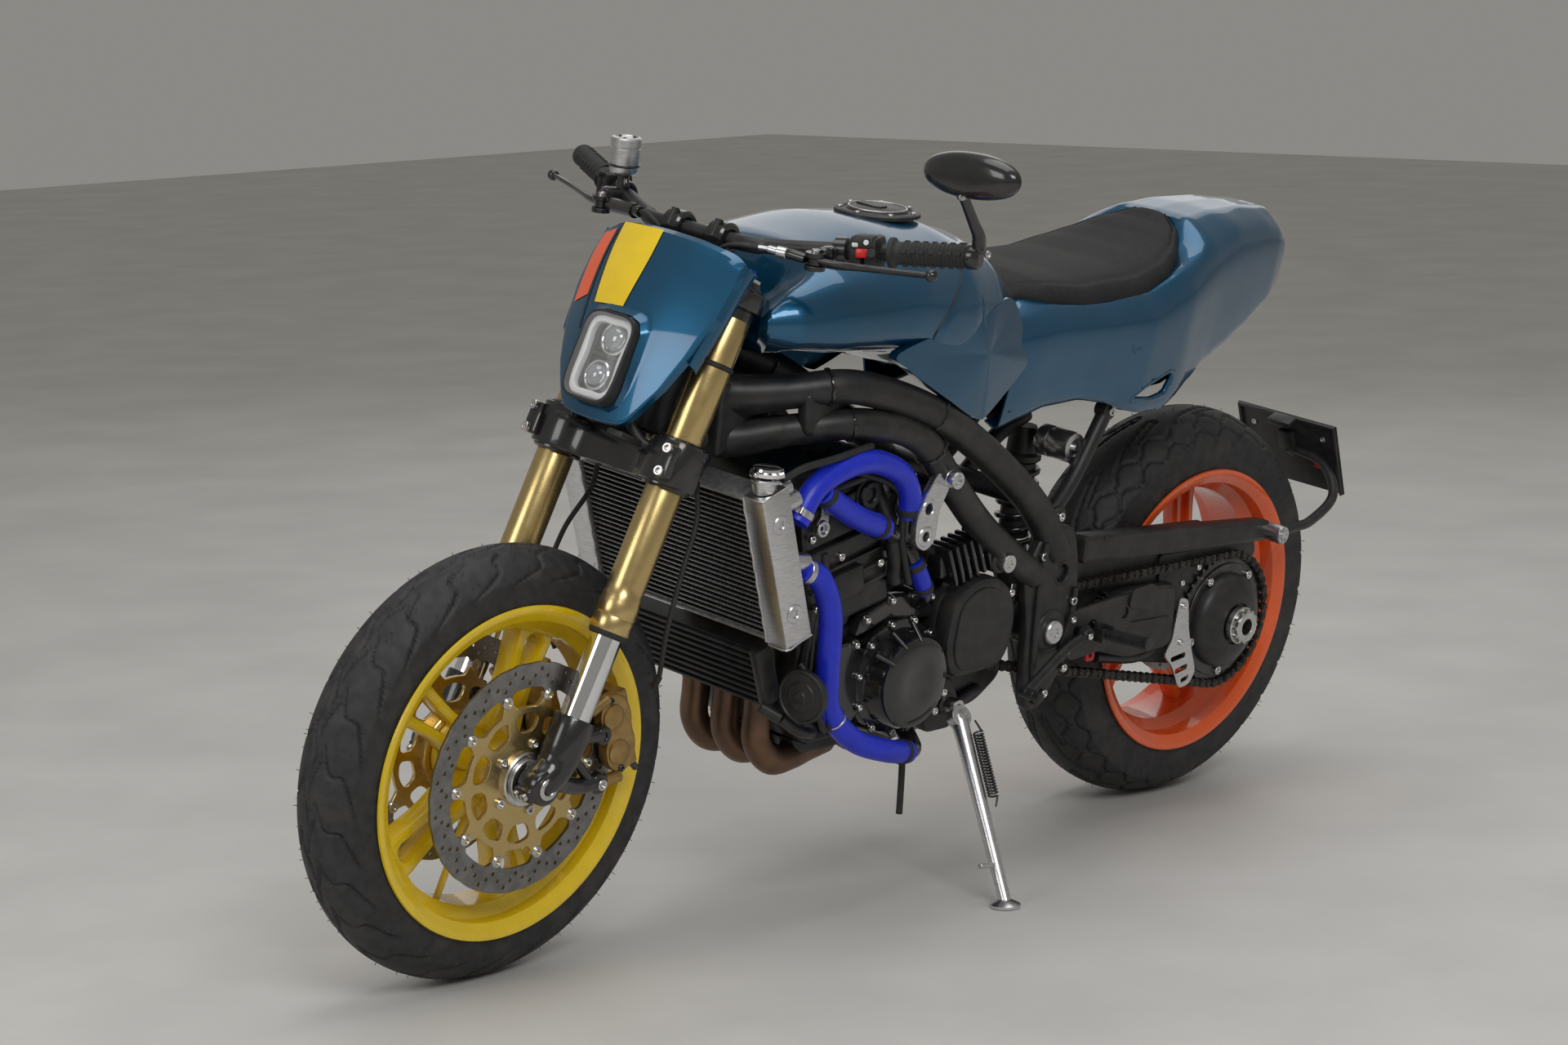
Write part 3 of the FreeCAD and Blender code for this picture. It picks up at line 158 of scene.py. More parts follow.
def surface(name, color, metallic=0.0, rough=0.5, vary=0.12, scale=30, bump=0.0, bump_scale=300, coat=0.0,
            rough_vary=0.08, stretch=(1, 1, 1), sheen=0.0, alpha=1.0, transmission=0.0, ior=1.5, flake=0.0,
            grime=None):
    """A procedural material: two noises vary its colour and roughness, and a third raises a fine bump."""
    if name in MATERIALS:
        return MATERIALS[name]
    material = bpy.data.materials.new(name)
    material.use_nodes = True
    nodes, links = material.node_tree.nodes, material.node_tree.links
    shader = nodes["Principled BSDF"]
    shader.inputs["Metallic"].default_value = metallic
    shader.inputs["Coat Weight"].default_value = coat
    shader.inputs["Coat Roughness"].default_value = 0.04
    shader.inputs["Sheen Weight"].default_value = sheen
    shader.inputs["Alpha"].default_value = alpha
    shader.inputs["Transmission Weight"].default_value = transmission
    shader.inputs["IOR"].default_value = ior
    place = nodes.new("ShaderNodeTexCoord")
    mapping = nodes.new("ShaderNodeMapping")
    mapping.inputs["Scale"].default_value = stretch
    links.new(place.outputs["Object"], mapping.inputs["Vector"])

    def noise_at(size, detail=4.0):
        texture = nodes.new("ShaderNodeTexNoise")
        texture.inputs["Scale"].default_value = size
        texture.inputs["Detail"].default_value = detail
        links.new(mapping.outputs["Vector"], texture.inputs["Vector"])
        return texture

    tint = nodes.new("ShaderNodeValToRGB")
    dark = tuple(c * (1 - vary) for c in color) + (1,)
    light = tuple(min(1, c * (1 + vary) + 0.01 * vary) for c in color) + (1,)
    tint.color_ramp.elements[0].position, tint.color_ramp.elements[1].position = 0.35, 0.65
    tint.color_ramp.elements[0].color, tint.color_ramp.elements[1].color = dark, light
    links.new(noise_at(scale).outputs["Fac"], tint.inputs["Fac"])
    base = tint.outputs["Color"]
    if grime is not None:
        mix = nodes.new("ShaderNodeMix")
        mix.data_type = "RGBA"
        spread = nodes.new("ShaderNodeValToRGB")
        spread.color_ramp.elements[0].position, spread.color_ramp.elements[1].position = 0.52, 0.75
        links.new(noise_at(scale * 0.4, 8).outputs["Fac"], spread.inputs["Fac"])
        links.new(spread.outputs["Color"], mix.inputs["Factor"])
        links.new(base, mix.inputs["A"])
        mix.inputs["B"].default_value = tuple(grime) + (1,)
        base = mix.outputs["Result"]
    if flake:
        cells = nodes.new("ShaderNodeTexVoronoi")
        cells.inputs["Scale"].default_value = 2600
        links.new(mapping.outputs["Vector"], cells.inputs["Vector"])
        spark = nodes.new("ShaderNodeMix")
        spark.data_type, spark.blend_type = "RGBA", "ADD"
        level = nodes.new("ShaderNodeMapRange")
        level.inputs["From Min"].default_value, level.inputs["To Max"].default_value = 0.55, flake
        links.new(cells.outputs["Color"], level.inputs["Value"])
        links.new(level.outputs["Result"], spark.inputs["Factor"])
        links.new(base, spark.inputs["A"])
        spark.inputs["B"].default_value = (0.25, 0.45, 0.6, 1)
        base = spark.outputs["Result"]
    links.new(base, shader.inputs["Base Color"])
    gloss = nodes.new("ShaderNodeMapRange")
    gloss.inputs["To Min"].default_value = max(0.02, rough - rough_vary)
    gloss.inputs["To Max"].default_value = min(1.0, rough + rough_vary)
    links.new(noise_at(scale * 2.3).outputs["Fac"], gloss.inputs["Value"])
    links.new(gloss.outputs["Result"], shader.inputs["Roughness"])
    if bump:
        raised = nodes.new("ShaderNodeBump")
        raised.inputs["Strength"].default_value = min(1.0, bump)
        raised.inputs["Distance"].default_value = 0.0006
        links.new(noise_at(bump_scale, 6).outputs["Fac"], raised.inputs["Height"])
        links.new(raised.outputs["Normal"], shader.inputs["Normal"])
    MATERIALS[name] = material
    return material


def materials():
    """Every finish of the motorcycle."""
    surface("tyre_rubber", (0.022, 0.022, 0.024), rough=0.62, vary=0.25, scale=60, bump=0.5, bump_scale=900,
            grime=(0.045, 0.042, 0.04))
    surface("yellow_paint", (0.86, 0.60, 0.01), rough=0.28, vary=0.04, coat=0.8, bump=0.03, bump_scale=500)
    surface("orange_paint", (0.90, 0.115, 0.01), rough=0.28, vary=0.04, coat=0.8, bump=0.03, bump_scale=500)
    surface("blue_paint", (0.0005, 0.088, 0.19), metallic=0.72, rough=0.33, vary=0.06, scale=12, coat=1.0,
            flake=0.04,
            rough_vary=0.03)
    surface("patch_yellow", (0.90, 0.62, 0.01), rough=0.3, vary=0.03, coat=1.0)
    surface("patch_orange", (0.86, 0.10, 0.015), rough=0.3, vary=0.03, coat=1.0)
    surface("ground_steel", (0.24, 0.235, 0.23), metallic=1.0, rough=0.36, vary=0.18, scale=60, bump=0.15,
            bump_scale=700, stretch=(1, 1, 1))
    surface("machined_steel", (0.62, 0.61, 0.60), metallic=1.0, rough=0.28, vary=0.1, scale=90)
    surface("gold_anodised", (0.60, 0.45, 0.20), metallic=0.95, rough=0.27, vary=0.03, scale=25, bump=0.05,
            bump_scale=1200)
    surface("gold_cast", (0.40, 0.26, 0.10), metallic=0.85, rough=0.42, vary=0.14, scale=70, bump=0.25,
            bump_scale=800)
    surface("chrome", (0.82, 0.82, 0.83), metallic=1.0, rough=0.08, vary=0.03, rough_vary=0.03)
    surface("black_gloss", (0.012, 0.012, 0.013), rough=0.22, vary=0.2, coat=0.6, bump=0.04, bump_scale=300)
    surface("black_satin", (0.018, 0.018, 0.019), rough=0.42, vary=0.25, scale=50, bump=0.18, bump_scale=700,
            grime=(0.04, 0.038, 0.035))
    surface("engine_black", (0.014, 0.014, 0.015), rough=0.36, vary=0.3, scale=45, bump=0.35, bump_scale=420,
            grime=(0.05, 0.045, 0.04))
    surface("engine_gloss", (0.010, 0.010, 0.011), rough=0.2, vary=0.3, scale=40, bump=0.12, bump_scale=260,
            coat=0.7)
    surface("bare_aluminium", (0.62, 0.62, 0.63), metallic=0.95, rough=0.34, vary=0.14, scale=80, bump=0.25,
            bump_scale=500)
    surface("brushed_aluminium", (0.66, 0.66, 0.67), metallic=1.0, rough=0.3, vary=0.12, scale=60,
            stretch=(1, 1, 12), bump=0.12, bump_scale=260)
    surface("fin_metal", (0.40, 0.40, 0.41), metallic=0.85, rough=0.42, vary=0.2, scale=120)
    surface("black_rubber", (0.02, 0.02, 0.02), rough=0.62, vary=0.2, scale=90, bump=0.3, bump_scale=900)
    surface("blue_silicone", (0.012, 0.03, 0.62), rough=0.36, vary=0.1, scale=60, bump=0.12, bump_scale=500,
            rough_vary=0.1)
    surface("seat_vinyl", (0.010, 0.010, 0.011), rough=0.72, vary=0.2, scale=120, bump=0.9, bump_scale=650)
    surface("black_plastic", (0.018, 0.018, 0.019), rough=0.48, vary=0.2, scale=90, bump=0.3, bump_scale=1100)
    surface("red_plastic", (0.62, 0.02, 0.02), rough=0.3, vary=0.05)
    surface("header_bronze", (0.20, 0.115, 0.07), metallic=0.75, rough=0.42, vary=0.35, scale=14, bump=0.2,
            bump_scale=300, grime=(0.10, 0.07, 0.05))
    surface("chain_steel", (0.055, 0.050, 0.045), metallic=0.8, rough=0.42, vary=0.3, scale=150,
            grime=(0.03, 0.028, 0.025))
    surface("dark_steel", (0.10, 0.10, 0.10), metallic=0.9, rough=0.35, vary=0.2, scale=60)
    surface("clear_lens", (0.95, 0.96, 0.97), rough=0.03, vary=0.01, alpha=0.16, coat=1.0, rough_vary=0.01)
    surface("light_strip", (0.72, 0.73, 0.74), rough=0.3, vary=0.04, coat=0.6)
    surface("mirror_glass", (0.8, 0.8, 0.8), metallic=1.0, rough=0.03, vary=0.02, rough_vary=0.01)
    surface("blue_anodised", (0.02, 0.12, 0.42), metallic=0.9, rough=0.25, vary=0.06)
    surface("projector_glass", (0.30, 0.32, 0.34), rough=0.05, vary=0.1, coat=1.0, metallic=0.4)


# ---------------------------------------------------------------- mesh tools, in millimetres
def smooth_path(points, count=10, closed=False):
    """Points along a Catmull-Rom curve through the given ones."""
    pts = [Vector(p) for p in points]
    if len(pts) < 3 and not closed:
        return pts
    out = []
    spans = len(pts) if closed else len(pts) - 1
    for i in range(spans):
        if closed:
            a, b, c, d = (pts[(i + k) % len(pts)] for k in (-1, 0, 1, 2))
        else:
            b, c = pts[i], pts[i + 1]
            a = pts[i - 1] if i else b * 2 - c
            d = pts[i + 2] if i + 2 < len(pts) else c * 2 - b
        for k in range(count):
            t = k / count
            out.append(0.5 * ((2 * b) + (c - a) * t + (2 * a - 5 * b + 4 * c - d) * t * t +
                              (3 * b - a - 3 * c + d) * t ** 3))
    if not closed:
        out.append(pts[-1])
    return out


def turn_to(direction):
    """The rotation that takes +Z to a direction."""
    return Vector(direction).to_track_quat("Z", "Y").to_matrix().to_4x4()


class Piece:
    """One named piece, built up in millimetres and then put in its place on a body."""

    def __init__(self, name, finish, body, place=BIKE, angle=38):
        self.name, self.finish, self.body, self.place, self.angle = name, finish, body, place, angle
        self.mesh = bmesh.new()

    def add(self, verts, faces, matrix=None):
        made = [self.mesh.verts.new(matrix @ Vector(v) if matrix else Vector(v)) for v in verts]
        for face in faces:
            try:
                self.mesh.faces.new([made[i] for i in face])
            except ValueError:
                continue
        return self

    def join(self, other, matrix=None):
        """Add a whole bmesh."""
        other.verts.index_update()
        self.add([v.co for v in other.verts], [[v.index for v in f.verts] for f in other.faces], matrix)
        other.free()
        return self

    def box(self, centre, size, turn=None, bevel=0.0, segments=2):
        block = bmesh.new()
        bmesh.ops.create_cube(block, size=1)
        bmesh.ops.scale(block, vec=Vector(size), verts=block.verts)
        if bevel:
            bmesh.ops.bevel(block, geom=block.edges[:], offset=bevel, segments=segments, affect="EDGES",
                            profile=0.5)
        return self.join(block, Matrix.Translation(Vector(centre)) @ (turn or Matrix.Identity(4)))

    def lathe(self, outline, centre=(0, 0, 0), axis=(0, 0, 1), steps=48, closed=False):
        """Turn an outline of (radius, height) about an axis."""
        verts, faces, count = [], [], len(outline)
        for i in range(steps):
            angle = 2 * math.pi * i / steps
            verts += [(r * math.cos(angle), r * math.sin(angle), h) for r, h in outline]
        last = count if closed else count - 1
        for i in range(steps):
            j = (i + 1) % steps
            for k in range(last):
                n = (k + 1) % count
                faces.append((i * count + k, j * count + k, j * count + n, i * count + n))
        spun = bmesh.new()
        made = [spun.verts.new(v) for v in verts]
        for face in faces:
            spun.faces.new([made[i] for i in face])
        bmesh.ops.remove_doubles(spun, verts=spun.verts, dist=0.001)
        bmesh.ops.dissolve_degenerate(spun, dist=0.0005, edges=spun.edges)
        return self.join(spun, Matrix.Translation(Vector(centre)) @ turn_to(axis))

    def rod(self, start, end, radius, tip=None, steps=24, edge=0.0):
        """A straight rod with rounded rims."""
        start, end = Vector(start), Vector(end)
        long, tip = (end - start).length, radius if tip is None else tip
        edge = edge or min(radius, tip, long / 2) * 0.12
        outline = [(0, 0), (radius - edge, 0), (radius, edge), (tip, long - edge), (tip - edge, long),
                   (0, long)]
        return self.lathe(outline, start, end - start, steps)

    def ring(self, centre, axis, outer, inner, near, far, steps=48, edge=0.8):
        """A flat ring or short tube with rounded rims."""
        outline = [(inner, near + edge), (inner + edge, near), (outer - edge, near), (outer, near + edge),
                   (outer, far - edge), (outer - edge, far), (inner + edge, far), (inner, far - edge)]
        return self.lathe(outline, centre, axis, steps, closed=True)

    def ball(self, centre, radius, squash=(1, 1, 1), steps=20):
        sphere = bmesh.new()
        bmesh.ops.create_uvsphere(sphere, u_segments=steps, v_segments=steps // 2, radius=radius)
        bmesh.ops.scale(sphere, vec=Vector(squash), verts=sphere.verts)
        return self.join(sphere, Matrix.Translation(Vector(centre)))

    def tube(self, points, radius, steps=14, smooth=8, closed=False, flat=1.0, radii=None):
        """A tube along a smooth path through the points."""
        path = smooth_path(points, smooth, closed) if smooth else [Vector(p) for p in points]
        count = len(path)
        tangent = (path[1] - path[0]).normalized()
        side = tangent.orthogonal().normalized()
        verts, faces = [], []
        for i, place in enumerate(path):
            if closed:
                ahead = (path[(i + 1) % count] - path[i - 1]).normalized()
            else:
                ahead = (path[min(i + 1, count - 1)] - path[max(i - 1, 0)]).normalized()
            side = (side - ahead * side.dot(ahead)).normalized()
            other = ahead.cross(side)
            size = radius
            if radii:
                where = i / (count - 1) * (len(radii) - 1)
                low = min(int(where), len(radii) - 2)
                size = radii[low] + (radii[low + 1] - radii[low]) * (where - low)
            for k in range(steps):
                angle = 2 * math.pi * k / steps
                verts.append(place + side * (size * math.cos(angle)) + other *
                             (size * flat * math.sin(angle)))
        for i in range(count if closed else count - 1):
            j = (i + 1) % count
            for k in range(steps):
                n = (k + 1) % steps
                faces.append((i * steps + k, i * steps + n, j * steps + n, j * steps + k))
        if not closed:
            faces.append(tuple(range(steps))[::-1])
            faces.append(tuple((count - 1) * steps + k for k in range(steps)))
        return self.add(verts, faces)

    def plate(self, outline, thick, matrix=None, holes=(), bevel=0.6):
        """A flat plate from an outline in X-Y, with holes as (x, y, radius) or outlines, centred on Z = 0."""
        curve = bpy.data.curves.new("plate", "CURVE")
        curve.dimensions, curve.fill_mode = "2D", "BOTH"
        curve.extrude, curve.bevel_depth, curve.bevel_resolution = thick / 2 - bevel, bevel, 1
        curve.offset = -bevel
        loops = [list(outline)]
        for hole in holes:
            if len(hole) == 3 and not hasattr(hole[0], "__len__"):
                x, y, r = hole
                steps = 16 if r < 12 else 40
                loops.append([(x + r * math.cos(2 * math.pi * k / steps),
                               y + r * math.sin(2 * math.pi * k / steps))
                              for k in range(steps)])
            else:
                loops.append(list(hole))
        for loop in loops:
            spline = curve.splines.new("POLY")
            spline.points.add(len(loop) - 1)
            for point, (x, y) in zip(spline.points, loop):
                point.co = (x, y, 0, 1)
            spline.use_cyclic_u = True
        holder = bpy.data.objects.new("plate", curve)
        mesh = bpy.data.meshes.new_from_object(holder)
        self.add([v.co for v in mesh.vertices], [list(p.vertices) for p in mesh.polygons], matrix)
        bpy.data.objects.remove(holder)
        bpy.data.curves.remove(curve)
        bpy.data.meshes.remove(mesh)
        return self

    def bolt(self, place, axis, radius=6, tall=5, socket=True, steps=18):
        """A socket-head bolt whose head stands on a face."""
        hole = radius * 0.5 if socket else 0
        outline = [(0, tall * 0.35 if socket else tall)]
        if socket:
            outline += [(hole, tall * 0.35), (hole, tall - 0.6), (hole + 0.5, tall)]
        outline += [(radius - 0.7, tall), (radius, tall - 0.8), (radius, 0), (0, 0)]
        return self.lathe(outline, place, axis, steps)

    def grid(self, rows, close_rows=False, close_columns=False, caps=False):
        """A skin over rows of points."""
        count, wide = len(rows), len(rows[0])
        verts = [Vector(p) for row in rows for p in row]
        faces = []
        for i in range(count if close_rows else count - 1):
            for k in range(wide if close_columns else wide - 1):
                j, n = (i + 1) % count, (k + 1) % wide
                faces.append((i * wide + k, i * wide + n, j * wide + n, j * wide + k))
        if caps:
            faces.append(tuple(range(wide))[::-1])
            faces.append(tuple((count - 1) * wide + k for k in range(wide)))
        return self.add(verts, faces)

    def done(self, replaces=(), subdivide=0, thicken=0.0, slot=None, weld=False):
        """Make the object, smooth all but its sharp edges, and put it on its body."""
        mesh = self.mesh
        if weld:
            bmesh.ops.remove_doubles(mesh, verts=mesh.verts, dist=0.01)
        bmesh.ops.recalc_face_normals(mesh, faces=mesh.faces)
        if thicken:
            bmesh.ops.solidify(mesh, geom=mesh.faces[:], thickness=thicken)
            bmesh.ops.recalc_face_normals(mesh, faces=mesh.faces)
        data = bpy.data.meshes.new(self.name)
        mesh.to_mesh(data)
        mesh.free()
        item = bpy.data.objects.new(self.name, data)
        bpy.context.scene.collection.objects.link(item)
        if subdivide:
            modifier = item.modifiers.new("smooth", "SUBSURF")
            modifier.levels = modifier.render_levels = subdivide
            bpy.context.view_layer.update()
            data = bpy.data.meshes.new_from_object(item.evaluated_get(bpy.context.evaluated_depsgraph_get()))
            item.modifiers.clear()
            item.data = data
        data.transform(self.place)
        mark_sharp(data, self.angle)
        data.materials.append(MATERIALS[self.finish])
        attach(item, self.body)
        if replaces:
            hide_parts(*([replaces] if isinstance(replaces, str) else replaces))
        return item


def mark_sharp(data, angle):
    """Smooth faces, with edges over an angle kept sharp."""
    solid = bmesh.new()
    solid.from_mesh(data)
    limit = math.radians(angle)
    for face in solid.faces:
        face.smooth = True
    for edge in solid.edges:
        edge.smooth = not (len(edge.link_faces) == 2 and edge.calc_face_angle(0) > limit)
    solid.to_mesh(data)
    solid.free()


def circle(radius, steps, start=0.0, centre=(0, 0)):
    return [(centre[0] + radius * math.cos(start + 2 * math.pi * k / steps),
             centre[1] + radius * math.sin(start + 2 * math.pi * k / steps)) for k in range(steps)]


def rounded(corners, radius, steps=5):
    """An outline with its corners rounded."""
    out, count = [], len(corners)
    for i in range(count):
        before, here, after = (Vector((*corners[(i + k) % count][:2], 0)) for k in (-1, 0, 1))
        size = corners[i][2] if len(corners[i]) > 2 else radius
        back, ahead = before - here, after - here
        reach = min(size, back.length * 0.48, ahead.length * 0.48)
        start, end = here + back.normalized() * reach, here + ahead.normalized() * reach
        for k in range(steps + 1):
            t = k / steps
            point = start * (1 - t) ** 2 + here * (2 * t * (1 - t)) + end * t * t
            out.append((point.x, point.y))
    return out


def side_matrix(y):
    """Plates drawn in the bike's X-Z plane, at a distance across it."""
    return Matrix(((1, 0, 0, 0), (0, 0, -1, y), (0, 1, 0, 0), (0, 0, 0, 1)))


# ---------------------------------------------------------------- wheels, in the wheel frames
SPOKE_START = math.radians(-38)


def nearest_line(lines, step=1.2):
    """A tree of points laid closely along flat lines."""
    points = []
    for line in lines:
        for a, b in zip(line, line[1:]):
            a, b = Vector((*a, 0)), Vector((*b, 0))
            count = max(1, int((b - a).length / step))
            points += [a.lerp(b, k / count) for k in range(count)]
        points.append(Vector((*line[-1], 0)))
    tree = kdtree.KDTree(len(points))
    for index, point in enumerate(points):
        tree.insert(point, index)
    tree.balance()
    return tree


def tyre(name, body, place, centre, crown, wall, lines, around, across, replaced):
    """A tyre whose grooves are cut into a fine grid; lines are (angle, tilt) in degrees."""
    outer = centre + crown
    scale_a, scale_t = math.radians(outer), math.radians(crown)
    tree = nearest_line([[(a * scale_a, t * scale_t) for a, t in line] for line in lines])
    item = Piece(name, "tyre_rubber", body, place, angle=60)
    rows = []
    edge = 114
    for i in range(around):
        angle = 360 * i / around
        row = []
        for k in range(across + 1):
            tilt = -edge + 2 * edge * k / across
            gap = tree.find(Vector((angle * scale_a, tilt * scale_t, 0)))[2]
            depth = 3.6 * max(0.0, min(1.0, (2.9 - gap) / 1.1))
            if 96 < abs(tilt) < 99:
                depth += 0.8
            size = crown - depth
            z = max(-wall, min(wall, size * math.sin(math.radians(tilt))))
            r = max(216.5, centre + size * math.cos(math.radians(tilt)))
            row.append((r * math.cos(math.radians(angle)), r * math.sin(math.radians(angle)), z))
        rows.append(row)
    item.grid(rows, close_rows=True, close_columns=True)
    rng = np.random.default_rng(5)
    for angle in np.arange(0, 360, 4.0):
        for tilt in rng.choice([-74, -52, -30, 6, 28, 50, 72], 3, replace=False):
            turn, lean = math.radians(angle + rng.uniform(-1.5, 1.5)), math.radians(tilt + rng.uniform(-4, 4))
            out = Vector((math.cos(turn) * math.cos(lean), math.sin(turn) * math.cos(lean), math.sin(lean)))
            foot = Vector((math.cos(turn) * centre, math.sin(turn) * centre, 0)) + out * (crown - 0.5)
            bend = Vector(rng.uniform(-1.2, 1.2, 3))
            tip = foot + out * rng.uniform(4, 6.5) + bend
            if (place @ tip).z > 0.004:
                item.tube([foot, (foot + tip) / 2 + bend * 0.3, tip], 0.45, steps=5, smooth=2)
    item.done(replaced)


def wrapped(lines):
    return lines + [[(a - 360, t) for a, t in line]
                    for line in lines] + [[(a + 360, t) for a, t in line] for line in lines]


def front_lines():
    """Sinuous grooves that start in a fork near the crown and run out to the shoulder."""
    lines, count = [], 24
    for side in SIDES:
        for index in range(count):
            start = 360 / count * (index + (0.5 if side < 0 else 0))
            long, short = [], []
            for k in range(25):
                t = k / 24
                long.append((start + 21 * t + 2.6 * math.sin(2 * math.pi * 1.5 * t), side * (13 + 72 * t)))
            for k in range(9):
                t = k / 8
                short.append((start + 13 * t, side * (13 - 13 * t + 2.6 * math.sin(2 * math.pi * t))))
            lines += [long, short]
    return wrapped(lines)


def rear_lines():
    """Honeycomb blocks on each shoulder and forked grooves on the crown."""
    lines, count = [], 28
    pitch = 360 / count
    for side in SIDES:
        for row, (low, high) in enumerate(((22, 30), (40, 47), (56, 62))):
            shift = pitch / 2 * (row % 2)
            for index in range(count):
                a = pitch * index + shift
                lines.append([(a, side * low), (a + pitch / 4, side * high), (a + pitch / 2, side * high),
                              (a + pitch * 0.75, side * low), (a + pitch, side * low)])
        for index in range(count):
            a = pitch * index
            lines.append([(a + 5.2, side * 30), (a + 6.4, side * 40)])
            lines.append([(a + 11.2, side * 47), (a + 12.4, side * 56)])
            lines.append([(a + 4.6, side * 62), (a + 5.6, side * 74)])
            if index % 2 == 0:
                lines.append([(a + 0.5, side * 22), (a - 7, side * 14), (a - 22, side * 5)])
                lines.append([(a - 22, side * 5), (a - 24, side * 10), (a - 12, side * 18)])
    return wrapped(lines)


def barrel(item, half, lip=231, seat=216, well=199):
    """A rim's turned barrel."""
    outline = [(lip, half), (lip + 1, half - 3), (lip - 2, half - 6), (seat + 2, half - 7), (seat, half - 12),
               (seat, half * 0.55), (well, half * 0.42), (well, -half * 0.42), (seat, -half * 0.55),
               (seat, 12 - half), (seat + 2, 7 - half), (lip - 2,
                                                         6 - half), (lip + 1, 3 - half), (lip, -half),
               (lip - 6, -half - 0.5), (lip - 12, 3 - half), (seat - 7, 9 - half), (seat - 8, -half * 0.58),
               (well - 7, -half * 0.4), (well - 8, 0), (well - 7, half * 0.4), (seat - 8, half * 0.58),
               (seat - 7, half - 9), (lip - 12, half - 3), (lip - 6, half + 0.5)]
    return item.lathe(outline, steps=160, closed=True)


def spoke_matrix(angle, z=0.0):
    return Matrix.Translation((0, 0, z)) @ Matrix.Rotation(angle, 4, "Z")


def front_wheel():
    tyre("front_tyre_grooved", "front_wheel", FRONT_WHEEL, 242, 59, 53.4, front_lines(), 900, 84,
         "front_tyre")
    rim = barrel(Piece("front_rim_cast", "yellow_paint", "front_wheel", FRONT_WHEEL), 59.5)
    for index in range(5):
        turn = SPOKE_START + 2 * math.pi / 5 * index
        outline = rounded([(30, -33), (110, -23), (198, -35), (198, 35), (110, 23), (30, 33)], 22)
        slot = rounded([(64, -7), (120, -9), (176, -16), (186, 0), (176, 16), (120, 9), (64, 7)], 9)
        rim.plate(outline, 34, spoke_matrix(turn), holes=[slot], bevel=5)
        rim.box((193 * math.cos(turn), 193 * math.sin(turn), 0), (16, 84, 44),
                Matrix.Rotation(turn, 4, "Z"), 6)
    rim.ring((0, 0, 0), (0, 0, 1), 46, 13, -60, 60, edge=4)
    rim.rod((0, 0, 0), (205 * math.cos(1.2), 205 * math.sin(1.2), 0), 5)
    rim.done("front_rim")
    for side, name in ((LEFT, "left"), (RIGHT, "right")):
        brake_disc(side, name)


def brake_disc(side, name):
    """Drilled rotor with a scalloped inner edge, a gold carrier with windows, and ten floating bobbins."""
    face = Matrix.Scale(side, 4, (0, 0, 1)) @ Matrix.Translation((0, 0, 73.5))
    inner = []
    for k in range(240):
        angle = 2 * math.pi * k / 240
        tab = max(0.0, math.cos(angle * 10)) ** 3
        inner.append(((126 - 14 * tab) * math.cos(angle), (126 - 14 * tab) * math.sin(angle)))
    holes = [inner]
    for index in range(20):
        for step, radius in enumerate((133, 142, 151)):
            angle = 2 * math.pi * (index + step * 0.28) / 20
            holes.append((radius * math.cos(angle), radius * math.sin(angle), 2.7))
            if step == 1:
                angle += 0.16
                holes.append((radius * math.cos(angle), radius * math.sin(angle), 2.7))
    outer = [((159.4 + 0.5 * math.cos(a * 30)) * math.cos(a), (159.4 + 0.5 * math.cos(a * 30)) * math.sin(a))
             for a in (2 * math.pi * k / 240 for k in range(240))]
    Piece(f"rotor_{name}", "ground_steel", "front_wheel", FRONT_WHEEL).plate(
        outer, 5, face, holes=holes, bevel=0.4).done(f"front_disc_{name}")
    carrier = Piece(f"carrier_{name}", "gold_anodised", "front_wheel", FRONT_WHEEL)
    edge = []
    for k in range(240):
        angle = 2 * math.pi * k / 240
        lobe = max(0.0, math.cos(angle * 10)) ** 2
        edge.append(((100 + 22 * lobe) * math.cos(angle), (100 + 22 * lobe) * math.sin(angle)))
    windows = []
    for index in range(10):
        middle = 2 * math.pi * (index + 0.5) / 10
        near, far, wide = 66, 88, 0.25
        windows.append(rounded([(near * math.cos(middle - wide * 0.8), near * math.sin(middle - wide * 0.8)),
                                (far * math.cos(middle - wide), far * math.sin(middle - wide)),
                                ((far + 4) * math.cos(middle), (far + 4) * math.sin(middle)),
                                (far * math.cos(middle + wide), far * math.sin(middle + wide)),
                                (near * math.cos(middle + wide * 0.8),
                                 near * math.sin(middle + wide * 0.8))], 9))
    carrier.plate(edge, 6, face, holes=windows + [(0, 0, 27)], bevel=1.2)
    carrier.ring((0, 0, 0), (0, 0, side), 56, 27, 58, 76, edge=1.5)
    carrier.done()
    studs = Piece(f"bobbins_{name}", "machined_steel", "front_wheel", FRONT_WHEEL)
    for index in range(10):
        angle = 2 * math.pi * index / 10
        place = (116 * math.cos(angle), 116 * math.sin(angle), side * 69)
        studs.ring(place, (0, 0, side), 8.5, 4.2, 0, 9, steps=24, edge=1)
        studs.ring(place, (0, 0, side), 6.2, 3.4, 0, 10, steps=24, edge=0.6)
    for index in range(5):
        angle = 2 * math.pi * (index + 0.5) / 5
        studs.bolt((48 * math.cos(angle), 48 * math.sin(angle), side * 75), (0, 0, side), 7, 6)
    studs.ring((0, 0, 0), (0, 0, side), 38, 18, 62, 84, edge=2)
    studs.ring((0, 0, 0), (0, 0, side), 30, 18, 84, 88, edge=1)
    studs.done()


